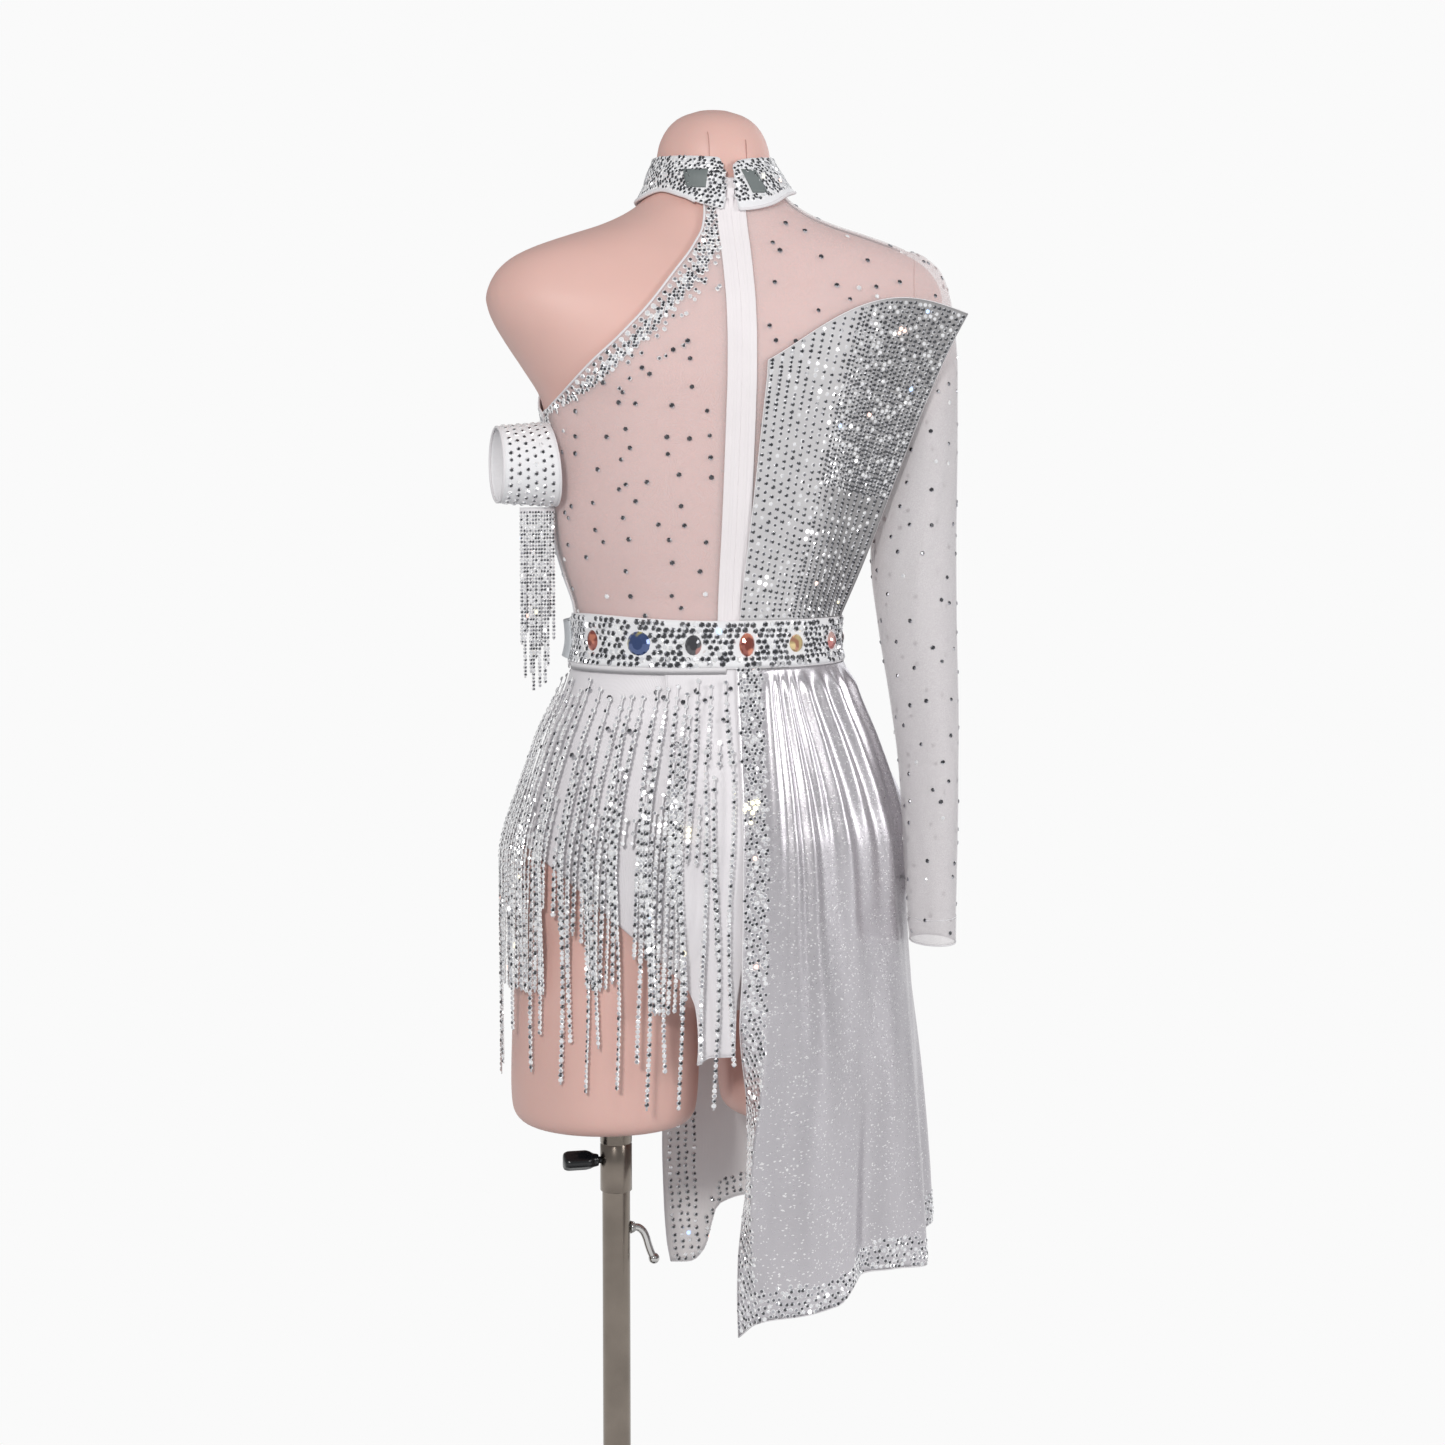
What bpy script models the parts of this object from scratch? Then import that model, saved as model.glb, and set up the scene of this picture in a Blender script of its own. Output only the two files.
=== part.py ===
"""A latin dance dress worn by a headless dress form on a pole stand.

Metres, +Z up. The foot of the pole is the origin, the wearer's front faces -Y and the wearer's left is +X.
Everything on the form is worked out in the form's own frame, whose YZ plane is the form's plane of
symmetry, and is then moved by FORM_SHIFT, because the pole stands in the left thigh.
Cloth is laid out as grids on the form's surface, moved out by a clearance, and given its wall by Solidify.
"""

import math

import bmesh
import bpy
from mathutils import Vector

MERGE = 0.000005
GAP = 0.0003

# Where the form's plane of symmetry stands, seen from the pole's axis
FORM_SHIFT = Vector((-0.088, -0.005, 0.0))

# Wall of the cloth, and how far each layer's inner face is from the form
CLOTH = 0.0012
BRIEFS_OUT = 0.0018
BODICE_OUT = 0.0026
COLLAR_OUT = 0.0052
BELT_OUT = 0.0047
TAIL_OUT = 0.0045
SKIRT_OUT = 0.0052
FRINGE_OUT = 0.0074
WING_OUT = 0.0050
COLLAR_WALL = 0.0020
BELT_WALL = 0.0022
WING_WALL = 0.0018

# The form, as sections from the crotch to the top of the neck
TORSO_COLUMNS = ("z", "half_width", "back", "front", "square")
TORSO = (
    (0.7220, 0.1000, 0.0300, -0.0700, 2.00),
    (0.7300, 0.1300, 0.0550, -0.0900, 2.10),
    (0.7450, 0.1500, 0.0700, -0.1040, 2.20),
    (0.7800, 0.1635, 0.0820, -0.1160, 2.25),
    (0.8200, 0.1670, 0.0870, -0.1220, 2.25),
    (0.8600, 0.1645, 0.0870, -0.1230, 2.20),
    (0.9000, 0.1555, 0.0830, -0.1210, 2.20),
    (0.9500, 0.1390, 0.0730, -0.1140, 2.15),
    (1.0000, 0.1190, 0.0630, -0.1050, 2.10),
    (1.0370, 0.1105, 0.0590, -0.1000, 2.10),
    (1.0640, 0.1135, 0.0605, -0.1000, 2.10),
    (1.0950, 0.1235, 0.0650, -0.1010, 2.15),
    (1.1200, 0.1305, 0.0700, -0.1010, 2.20),
    (1.1500, 0.1345, 0.0755, -0.1002, 2.25),
    (1.2000, 0.1400, 0.0830, -0.0970, 2.30),
    (1.2380, 0.1460, 0.0882, -0.0890, 2.35),
    (1.2650, 0.1630, 0.0910, -0.0800, 2.40),
    (1.2900, 0.1810, 0.0910, -0.0710, 2.45),
    (1.3100, 0.1930, 0.0890, -0.0640, 2.50),
    (1.3250, 0.1975, 0.0860, -0.0580, 2.50),
    (1.3420, 0.1920, 0.0800, -0.0510, 2.50),
    (1.3570, 0.1780, 0.0740, -0.0460, 2.45),
    (1.3660, 0.1610, 0.0700, -0.0440, 2.40),
    (1.3770, 0.1300, 0.0640, -0.0430, 2.30),
    (1.3860, 0.1010, 0.0600, -0.0430, 2.20),
    (1.3960, 0.0780, 0.0560, -0.0440, 2.10),
    (1.4080, 0.0610, 0.0530, -0.0450, 2.00),
    (1.4220, 0.0525, 0.0505, -0.0455, 2.00),
    (1.4380, 0.0488, 0.0480, -0.0455, 2.00),
    (1.4510, 0.0472, 0.0465, -0.0440, 2.00),
    (1.4630, 0.0427, 0.0420, -0.0398, 2.00),
    (1.4730, 0.0352, 0.0346, -0.0328, 2.00),
    (1.4800, 0.0248, 0.0243, -0.0232, 2.00),
    (1.4840, 0.0105, 0.0104, -0.0100, 2.00),
)
BETWEEN_HEIGHTS = (1.0180, 1.1800, 1.2200, 1.2440, 1.2500, 1.3620)
BUST = {"x": 0.070, "z": 1.205, "spread": 0.047, "depth": 0.027}

# The left thigh; the right one mirrors it
THIGH_COLUMNS = ("z", "centre", "half_width", "back", "front")
THIGH = (
    (0.6200, 0.0930, 0.0700, 0.0570, -0.0920),
    (0.6245, 0.0930, 0.0760, 0.0630, -0.0985),
    (0.6340, 0.0930, 0.0792, 0.0665, -0.1020),
    (0.6600, 0.0925, 0.0805, 0.0680, -0.1035),
    (0.7200, 0.0905, 0.0805, 0.0705, -0.1060),
    (0.7700, 0.0860, 0.0775, 0.0720, -0.1070),
    (0.8100, 0.0800, 0.0700, 0.0640, -0.0990),
    (0.8400, 0.0740, 0.0550, 0.0450, -0.0800),
)

# Heights and edges of the bodice
BELT_BOTTOM, BELT_TOP = 1.0163, 1.0560
BODICE_BOTTOM, BODICE_TOP = 1.0370, 1.4160
ZIP_HALF_WIDTH, ZIP_TOP = 0.0125, 1.4238
SIDE_SEAM = math.radians(0.12)
EDGE_COLUMNS = ("z", "x")
OPEN_SHOULDER_EDGE = (
    (1.2215, 0.1460),
    (1.2332, 0.1441),
    (1.2504, 0.1375),
    (1.2714, 0.1227),
    (1.2924, 0.1019),
    (1.3161, 0.0788),
    (1.3449, 0.0537),
    (1.3651, 0.0363),
    (1.3828, 0.0250),
    (1.3995, 0.0216),
    (1.4200, 0.0210),
)
ARMHOLE_BOTTOM, ARMHOLE_TOP, ARMHOLE_GAP = 1.2380, 1.3660, 0.0027
ARMHOLE = (
    (1.2380, 0.1480),
    (1.2440, 0.1443),
    (1.2500, 0.1462),
    (1.2650, 0.1490),
    (1.3000, 0.1530),
    (1.3420, 0.1575),
    (1.3660, 0.1660),
)

# The collar's lower and upper edge, by the turn from the centre back towards the right side
COLLAR_COLUMNS = ("turn", "bottom", "top")
COLLAR = (
    (3.8, 1.3960, 1.4335),
    (10.0, 1.3965, 1.4377),
    (26.0, 1.3995, 1.4404),
    (62.0, 1.4080, 1.4425),
    (95.0, 1.4080, 1.4425),
    (140.0, 1.4010, 1.4425),
    (180.0, 1.3960, 1.4425),
    (225.0, 1.4005, 1.4425),
    (265.0, 1.4065, 1.4425),
    (298.0, 1.4130, 1.4425),
    (324.0, 1.4069, 1.4418),
    (337.0, 1.4015, 1.4412),
    (350.8, 1.3975, 1.4402),
    (355.4, 1.3965, 1.4262),
)
COLLAR_CORNERS, COLLAR_STEPS = (3.8, 10.0, 26.0, 334.0, 350.8, 355.4), 24
COLLAR_SNUG, COLLAR_FLARE = 0.0040, 0.0050

# The stoned panel over the right shoulder blade
WING_COLUMNS = ("up", "inner_x", "inner_z", "outer_x", "outer_y", "outer_z")
WING = (
    (0.00, -0.0062, 1.0565, -0.1075, 0.0200, 1.0565),
    (0.25, -0.0106, 1.1180, -0.1241, 0.0350, 1.1046),
    (0.45, -0.0148, 1.1760, -0.1396, 0.0500, 1.1561),
    (0.70, -0.0190, 1.2340, -0.1611, 0.0680, 1.2240),
    (0.90, -0.0212, 1.2620, -0.1840, 0.0790, 1.2828),
    (1.00, -0.0218, 1.2733, -0.1990, 0.0840, 1.3129),
)
WING_CROWN = 0.028

# The sleeve: the lowest and the highest point of each ring, in the XZ plane, then its depth
SLEEVE_COLUMNS = ("along", "inner_x", "inner_z", "outer_x", "outer_z", "half_depth", "y")
SLEEVE = (
    (0.00, -0.1644, 0.7765, -0.1985, 0.7775, 0.0310, 0.0550),
    (0.04, -0.1623, 0.7945, -0.1988, 0.7965, 0.0315, 0.0550),
    (0.12, -0.1601, 0.8400, -0.2004, 0.8420, 0.0340, 0.0520),
    (0.20, -0.1591, 0.8850, -0.2021, 0.8860, 0.0370, 0.0480),
    (0.30, -0.1577, 0.9300, -0.2037, 0.9330, 0.0400, 0.0420),
    (0.40, -0.1531, 0.9800, -0.2055, 0.9860, 0.0435, 0.0340),
    (0.50, -0.1450, 1.0440, -0.2075, 1.0600, 0.0465, 0.0240),
    (0.60, -0.1400, 1.1000, -0.2092, 1.1300, 0.0485, 0.0170),
    (0.70, -0.1436, 1.1500, -0.2108, 1.2050, 0.0500, 0.0130),
    (0.78, -0.1492, 1.1830, -0.2102, 1.2700, 0.0510, 0.0120),
    (0.86, -0.1520, 1.2080, -0.2055, 1.3180, 0.0515, 0.0120),
    (0.93, -0.1556, 1.2240, -0.1970, 1.3480, 0.0525, 0.0120),
    (1.00, -0.1576, 1.2345, -0.1830, 1.3650, 0.0535, 0.0120),
)
SLEEVE_RINGS = 13

# The skirt hangs from the belt over the right hip, from the centre back to the centre front
SKIRT_COLUMNS = ("z", "half_width", "back", "front")
SKIRT = (
    (0.4300, 0.2030, 0.1060, -0.1420),
    (0.5190, 0.1979, 0.1040, -0.1400),
    (0.5830, 0.1937, 0.1025, -0.1385),
    (0.6650, 0.1885, 0.1010, -0.1365),
    (0.7466, 0.1815, 0.0990, -0.1345),
    (0.8000, 0.1757, 0.0975, -0.1325),
    (0.8600, 0.1660, 0.0945, -0.1290),
    (0.9500, 0.1400, 0.0750, -0.1150),
)
SKIRT_TOP, SKIRT_COLUMN_COUNT = 1.0160, 44

# The stoned band down the skirt's back edge: where it folds away from the skirt, and how far it turns in
BAND_COLUMNS = ("z", "fold_x", "turn")
EDGE_BAND = (
    (0.4400, -0.0120, 55.0),
    (0.4800, -0.0103, 58.0),
    (0.5090, -0.0092, 64.0),
    (0.5450, -0.0060, 84.0),
    (0.5900, -0.0061, 96.0),
    (0.6100, -0.0077, 94.0),
    (0.6400, -0.0121, 81.0),
    (0.6570, -0.0147, 72.0),
    (0.7000, -0.0186, 38.0),
    (0.7350, -0.0202, 8.0),
    (0.7600, -0.0210, 0.0),
    (0.8600, -0.0232, 0.0),
    (1.0160, -0.0245, 0.0),
)
EDGE_BAND_WIDTH, EDGE_BAND_STEPS, FOLD_ACROSS = 0.0220, 2, 0.030

# How far across the front edge reaches
FRONT_EDGE_COLUMNS = ("z", "x")
FRONT_EDGE = (
    (0.4546, 0.0026),
    (0.4755, 0.0063),
    (0.5130, 0.0091),
    (0.5720, 0.0109),
    (0.6500, 0.0080),
    (0.7500, 0.0000),
    (0.8500, -0.0035),
    (1.0160, -0.0035),
)
HEM_COLUMNS = ("across", "z")
HEM = (
    (0.000, 0.4540),
    (0.030, 0.4740),
    (0.065, 0.4755),
    (0.122, 0.4720),
    (0.158, 0.4830),
    (0.212, 0.4876),
    (0.317, 0.4833),
    (0.377, 0.4885),
    (0.450, 0.5080),
    (0.500, 0.5170),
    (0.620, 0.5220),
    (0.750, 0.5210),
    (0.880, 0.5130),
    (0.932, 0.5035),
    (0.954, 0.4645),
    (0.977, 0.4534),
    (1.000, 0.4546),
)
PLEATS, PLEAT_DEPTH, PLEAT_FADE = 11, 0.0036, 0.850
DRAPES, DRAPE_DEPTH, DRAPE_START = 5, 0.0085, 0.860
SIDE_FOLD = {"across": 0.50, "width": 0.030, "top": 0.936, "tip": 0.885, "foot": 0.852, "depth": 0.014}

# The plain tail under the fringe, beside the centre back
TAIL_COLUMNS = ("z", "left", "right", "back")
TAIL = (
    (0.6920, 0.0325, 0.0055, 0.0925),
    (0.7340, 0.0368, 0.0040, 0.0922),
    (0.7552, 0.0445, 0.0010, 0.0920),
    (0.7850, 0.0482, -0.0040, 0.0918),
    (0.8260, 0.0503, -0.0060, 0.0915),
    (0.8700, 0.0520, -0.0060, 0.0890),
    (1.0158, 0.0560, -0.0060, 0.0500),
)

# Strands of stones: how many, and how far each falls, as a pattern that repeats round the hip
STRIP_HEIGHT, STRIP_WALL = 0.0050, 0.0018
BACK_STRANDS, FRONT_STRANDS, BAND_STRANDS = 32, 17, 9
STRAND_ENDS = (0.668, 0.742, 0.655, 0.712, 0.690, 0.648, 0.731, 0.662, 0.760)
BAND_STRAND_ENDS = (1.036, 1.012, 1.024, 1.001, 1.030, 1.003, 1.018, 1.040, 1.060)
HANG_FROM = 0.850

# The armband pinned under the left arm
BAND = {"y": 0.010, "z": 1.187, "outer_x": 0.1890, "inner_radius": 0.0335, "outer_radius": 0.0305}
BAND_WALL = 0.0018

# Stones set in the belt
GEMS, GEM_HALF_WIDTH, GEM_HALF_HEIGHT, GEM_DEPTH = 14, 0.0080, 0.0100, 0.0034
FIRST_GEM = 0.0352

# The stand
POLE_RADIUS, POLE_TOP = 0.0120, 0.7650
CLAMP_RADIUS, CLAMP_BORE, CLAMP_BOTTOM, CLAMP_TOP = 0.0137, 0.0123, 0.5620, 0.6600
CLAMP_HEAD, CLAMP_HEAD_DEPTH = 0.0225, 0.0060
HOLLOW_RADIUS, HOLLOW_TOP, BORE_SIDES = 0.0300, 0.8300, 20
SEAT_BORE, POLE_BORE, SOCKET_TUBE, FLANGE_TOP = 0.0232, 0.0190, 0.0270, 0.6300
KNOB_Z = 0.5895
BASE_RADIUS, BASE_THICKNESS = 0.1750, 0.0080
HUB_RADIUS, HUB_TOP = 0.0240, 0.0380
HOOK_Z = 0.5285


def slopes(xs, ys):
    """Slopes of a smooth curve through the points that never swings past them."""
    runs = [(ys[i + 1] - ys[i]) / (xs[i + 1] - xs[i]) for i in range(len(xs) - 1)]
    inner = [0.0 if a * b <= 0 else 2 * a * b / (a + b) for a, b in zip(runs, runs[1:])]
    return [runs[0], *inner, runs[-1]]


def curve_of(table, columns, name):
    """A function that reads one named column of a table smoothly, by its first column."""
    xs = [row[0] for row in table]
    ys = [row[columns.index(name)] for row in table]
    ms = slopes(xs, ys)

    def read(x):
        x = min(max(x, xs[0]), xs[-1])
        i = max(k for k in range(len(xs) - 1) if xs[k] <= x)
        step = xs[i + 1] - xs[i]
        t = (x - xs[i]) / step
        low = (1 + 2 * t) * (1 - t) ** 2 * ys[i] + t * (1 - t) ** 2 * ms[i] * step
        return low + t * t * (3 - 2 * t) * ys[i + 1] - t * t * (1 - t) * ms[i + 1] * step

    return read


def curves_of(table, columns):
    return {name: curve_of(table, columns, name) for name in columns[1:]}


torso = curves_of(TORSO, TORSO_COLUMNS)
thigh = curves_of(THIGH, THIGH_COLUMNS)
skirt = curves_of(SKIRT, SKIRT_COLUMNS)
sleeve = curves_of(SLEEVE, SLEEVE_COLUMNS)
wing = curves_of(WING, WING_COLUMNS)
tail = curves_of(TAIL, TAIL_COLUMNS)
hem_height = curve_of(HEM, HEM_COLUMNS, "z")
edge_band = curves_of(EDGE_BAND, BAND_COLUMNS)
front_edge_x = curve_of(FRONT_EDGE, FRONT_EDGE_COLUMNS, "x")
open_shoulder_x = curve_of(OPEN_SHOULDER_EDGE, EDGE_COLUMNS, "x")
armhole_x = curve_of(ARMHOLE, EDGE_COLUMNS, "x")
collar = curves_of(COLLAR, COLLAR_COLUMNS)


def blend(low, high, t):
    """Rises smoothly from 0 at low to 1 at high."""
    t = min(max((t - low) / (high - low), 0.0), 1.0)
    return t * t * (3 - 2 * t)


def bell(distance, spread):
    return math.exp(-((distance / spread) ** 2))


def rounded(angle, half_width, half_depth, square):
    """A point of a rounded section; square 2 is an ellipse and more is boxier."""
    c, s = math.cos(angle), math.sin(angle)
    x = math.copysign(abs(c) ** (2 / square), c) * half_width
    return x, math.copysign(abs(s) ** (2 / square), s) * half_depth


def torso_point(angle, z):
    back, front = torso["back"](z), torso["front"](z)
    x, y = rounded(angle, torso["half_width"](z), (back - front) / 2, torso["square"](z))
    y += (back + front) / 2
    front_share = max(0.0, -math.sin(angle))
    swell = bell(abs(x) - BUST["x"], BUST["spread"]) * bell(z - BUST["z"], BUST["spread"])
    return Vector((x, y - BUST["depth"] * swell * front_share, z))


def on_torso(angle, z, out):
    """A point at that distance off the torso, measured square to its surface."""
    step, rise = 0.02, 0.002
    here = torso_point(angle, z)
    round_it = torso_point(angle + step, z) - torso_point(angle - step, z)
    up_it = torso_point(angle, z + rise) - torso_point(angle, z - rise)
    return here + round_it.cross(up_it).normalized() * out


def angle_at(x, z):
    """The angle on the back half of the torso's section where it is that far to the side."""
    share = min(1.0, abs(x) / torso["half_width"](z)) ** (torso["square"](z) / 2)
    return math.acos(math.copysign(share, x))


def finish(obj, material, group, parent=None):
    for other in list(obj.users_collection):
        other.objects.unlink(obj)
    group.objects.link(obj)
    obj.data.materials.clear()
    obj.data.materials.append(material)
    obj.parent = parent
    return obj


def object_of(name, bm):
    mesh = bpy.data.meshes.new(name)
    bm.to_mesh(mesh)
    bm.free()
    mesh.shade_smooth()
    return bpy.data.objects.new(name, mesh)


def grid(columns, rows, place, shift=FORM_SHIFT):
    """A sheet of quads whose points place(across, up) gives; rows and columns that meet are merged."""
    bm = bmesh.new()
    bmesh.ops.create_grid(bm, x_segments=columns, y_segments=rows, size=0.5)
    for vertex in bm.verts:
        vertex.co = place(vertex.co.x + 0.5, vertex.co.y + 0.5) + shift
    bmesh.ops.remove_doubles(bm, verts=bm.verts, dist=MERGE)
    return bm


def cloth(name, columns, rows, place, wall=CLOTH):
    obj = object_of(name, grid(columns, rows, place))
    shell = obj.modifiers.new("Wall", "SOLIDIFY")
    shell.thickness = wall
    shell.offset = 1.0
    return obj


def closed_loft(name, columns, heights, place):
    """A solid through sections at the given heights, its open ends filled flat."""

    def at(across, up):
        return place(2 * math.pi * across, heights[round(up * (len(heights) - 1))])

    bm = grid(columns, len(heights) - 1, at)
    bmesh.ops.holes_fill(bm, edges=[e for e in bm.edges if e.is_boundary], sides=0)
    bmesh.ops.recalc_face_normals(bm, faces=bm.faces)
    return object_of(name, bm)


def cut_or_join(obj, other, operation, cutters):
    """A Boolean whose other shape stays in the cutters' collection."""
    finish(other, obj.data.materials[0], cutters)
    other.hide_render = True
    other.display_type = "WIRE"
    boolean = obj.modifiers.new(operation.title(), "BOOLEAN")
    boolean.operation = operation
    boolean.solver = "EXACT"
    boolean.object = other


def cylinder(name, radius, low, high, sides=32):
    bm = bmesh.new()
    bmesh.ops.create_cone(
        bm, cap_ends=True, segments=sides, radius1=radius, radius2=radius, depth=high - low
    )
    bmesh.ops.translate(bm, vec=(0, 0, (high + low) / 2), verts=bm.verts)
    return object_of(name, bm)


def torso_heights(low, high):
    """The heights of the form's sections between two others, with those two at the ends."""
    found = sorted([row[0] for row in TORSO] + list(BETWEEN_HEIGHTS))
    return [low, *(z for z in found if low + 0.002 < z < high - 0.002), high]


def torso_solid(name, out, top=TORSO[-1][0]):
    heights = torso_heights(TORSO[0][0], top)

    def at(angle, z):
        point = on_torso(angle, z, out)
        point.z = z - (out if z == heights[0] else 0.0)
        return point

    return closed_loft(name, 28, heights, at)


def thigh_solid(name, side, out):
    heights = [row[0] for row in THIGH]

    def at(angle, z):
        back, front = thigh["back"](z), thigh["front"](z)
        x, y = rounded(angle, thigh["half_width"](z) + out, (back - front) / 2 + out, 2.1)
        foot = out if z == heights[0] else 0.0
        return Vector((side * thigh["centre"](z) + x, y + (back + front) / 2, z - foot))

    return closed_loft(name, 18, heights, at)


def build_form(skin, figure, parts, cutters):
    form = finish(torso_solid("dress_form", 0.0), skin, parts, figure)
    for side, word in ((1, "left"), (-1, "right")):
        cut_or_join(form, thigh_solid(f"form_thigh_{word}", side, 0.0), "UNION", cutters)
    hollow = cylinder("form_hollow", HOLLOW_RADIUS, CLAMP_BOTTOM, HOLLOW_TOP, BORE_SIDES)
    cut_or_join(form, hollow, "DIFFERENCE", cutters)


def build_socket(black, figure, parts):
    """The flanged tube that closes the thigh's hollow and rests on the head of the clamp."""
    foot, shoulder = THIGH[0][0], CLAMP_TOP + GAP
    flange = HOLLOW_RADIUS - GAP
    socket = turned("form_socket", (
        (POLE_BORE, shoulder + 0.008),
        (SOCKET_TUBE, shoulder + 0.008),
        (SOCKET_TUBE, FLANGE_TOP),
        (flange, FLANGE_TOP),
        (flange, foot),
        (SEAT_BORE, foot),
        (SEAT_BORE, shoulder),
        (POLE_BORE, shoulder),
        (POLE_BORE, shoulder + 0.008),
    ), BORE_SIDES)
    finish(socket, black, parts, figure)


def leg_opening(name, side):
    """A block whose upper face is the slanted leg line of the briefs."""
    crotch, hip = Vector((0.012, 0.0, 0.722)), Vector((0.167, 0.0, 0.866))
    slope = math.atan2(hip.z - crotch.z, hip.x - crotch.x)
    size = 0.6
    bm = bmesh.new()
    bmesh.ops.create_cube(bm, size=size)
    bmesh.ops.translate(bm, vec=(0.0, 0.0, -size / 2), verts=bm.verts)
    for vertex in bm.verts:
        x, y, z = vertex.co
        turned = Vector((x * math.cos(slope) - z * math.sin(slope), y,
                         x * math.sin(slope) + z * math.cos(slope)))
        turned += (crotch + hip) / 2
        vertex.co = Vector((side * turned.x, turned.y, turned.z)) + FORM_SHIFT
    bmesh.ops.recalc_face_normals(bm, faces=bm.faces)
    return object_of(name, bm)


def build_briefs(lycra, figure, parts, cutters):
    outer = BRIEFS_OUT + CLOTH
    briefs = torso_solid("briefs", outer, BODICE_BOTTOM - GAP)
    finish(briefs, lycra, parts, figure)
    for side, word in ((1, "left"), (-1, "right")):
        cut_or_join(briefs, thigh_solid(f"briefs_leg_{word}", side, outer), "UNION", cutters)
    hollow = torso_solid("briefs_hollow", BRIEFS_OUT, BELT_TOP)
    cut_or_join(briefs, hollow, "DIFFERENCE", cutters)
    for side, word in ((1, "left"), (-1, "right")):
        inside = thigh_solid(f"briefs_leg_hollow_{word}", side, BRIEFS_OUT)
        cut_or_join(briefs, inside, "DIFFERENCE", cutters)
        cut_or_join(briefs, leg_opening(f"briefs_leg_line_{word}", side), "DIFFERENCE", cutters)


BODICE_HEIGHTS = torso_heights(BODICE_BOTTOM, BODICE_TOP)


def bodice_height(up):
    return BODICE_HEIGHTS[round(up * (len(BODICE_HEIGHTS) - 1))]


def left_edge(z):
    """Where the bodice ends towards the bare left shoulder, as an angle on the back half."""
    if z < OPEN_SHOULDER_EDGE[0][0]:
        return SIDE_SEAM
    return max(SIDE_SEAM, angle_at(open_shoulder_x(z), z))


def right_edge(z):
    """Where the back meets the side seam, the armhole or the shoulder seam."""
    if not ARMHOLE_BOTTOM <= z <= ARMHOLE_TOP:
        return math.pi - SIDE_SEAM
    return min(math.pi - SIDE_SEAM, angle_at(-armhole_x(z), z))


def build_bodice(mesh, lycra, figure, parts):
    zip_side = ZIP_HALF_WIDTH + GAP

    def back_left(across, up):
        z = bodice_height(up)
        low, high = left_edge(z), angle_at(zip_side, z)
        return on_torso(low + (high - low) * across, z, BODICE_OUT)

    def back_right(across, up):
        z = bodice_height(up)
        low, high = angle_at(-zip_side, z), right_edge(z)
        return on_torso(low + (high - low) * across, z, BODICE_OUT)

    def front(across, up):
        z = bodice_height(up)
        low, high = 2 * math.pi - right_edge(z), 2 * math.pi - left_edge(z)
        return on_torso(low + (high - low) * across, z, BODICE_OUT)

    def zip_tape(across, up):
        z = zip_heights[round(up * (len(zip_heights) - 1))]
        return on_torso(angle_at(ZIP_HALF_WIDTH * (1 - 2 * across), z), z, BODICE_OUT)

    rows = len(BODICE_HEIGHTS) - 1
    zip_heights = torso_heights(BODICE_BOTTOM, ZIP_TOP)
    finish(cloth("back_left", 9, rows, back_left), mesh, parts, figure)
    finish(cloth("back_right", 10, rows, back_right), mesh, parts, figure)
    finish(cloth("front", 14, rows, front), lycra, parts, figure)
    finish(cloth("zip", 1, len(zip_heights) - 1, zip_tape), lycra, parts, figure)


def build_sleeve(mesh, figure, parts):
    """Rings from the cuff up to the armhole, whose ring has the heights of the bodice's own edge."""
    middle, half = (ARMHOLE_TOP + ARMHOLE_BOTTOM) / 2, (ARMHOLE_TOP - ARMHOLE_BOTTOM) / 2
    rise = [z for z in BODICE_HEIGHTS if ARMHOLE_BOTTOM <= z <= ARMHOLE_TOP]
    seam_heights = rise + rise[-2:0:-1]
    sides = len(seam_heights)

    def ring(turn, along):
        inner = Vector((sleeve["inner_x"](along), sleeve["y"](along), sleeve["inner_z"](along)))
        outer = Vector((sleeve["outer_x"](along), sleeve["y"](along), sleeve["outer_z"](along)))
        depth = Vector((0.0, sleeve["half_depth"](along) * math.sin(turn), 0.0))
        return (inner + outer) / 2 + (inner - outer) / 2 * math.cos(turn) + depth

    def seam(order):
        z = seam_heights[order]
        if z in (rise[0], rise[-1]):
            z += ARMHOLE_GAP if z == rise[0] else -ARMHOLE_GAP
            return on_torso(math.pi, z, BODICE_OUT)
        angle = angle_at(-(armhole_x(z) + ARMHOLE_GAP), z)
        return on_torso(angle if order < len(rise) else 2 * math.pi - angle, z, BODICE_OUT)

    def place(across, up):
        order, step = round(across * sides) % sides, round(up * SLEEVE_RINGS)
        if step == SLEEVE_RINGS:
            return seam(order)
        turn = math.acos(min(1.0, max(-1.0, (middle - seam_heights[order]) / half)))
        even = 2 * math.pi * order / sides
        turn = turn if order < len(rise) else 2 * math.pi - turn
        share = blend(0.5, 1.0, step / SLEEVE_RINGS)
        return ring(even + (turn - even) * share, step / (SLEEVE_RINGS - 1))

    finish(cloth("sleeve", sides, SLEEVE_RINGS, place), mesh, parts, figure)


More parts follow.
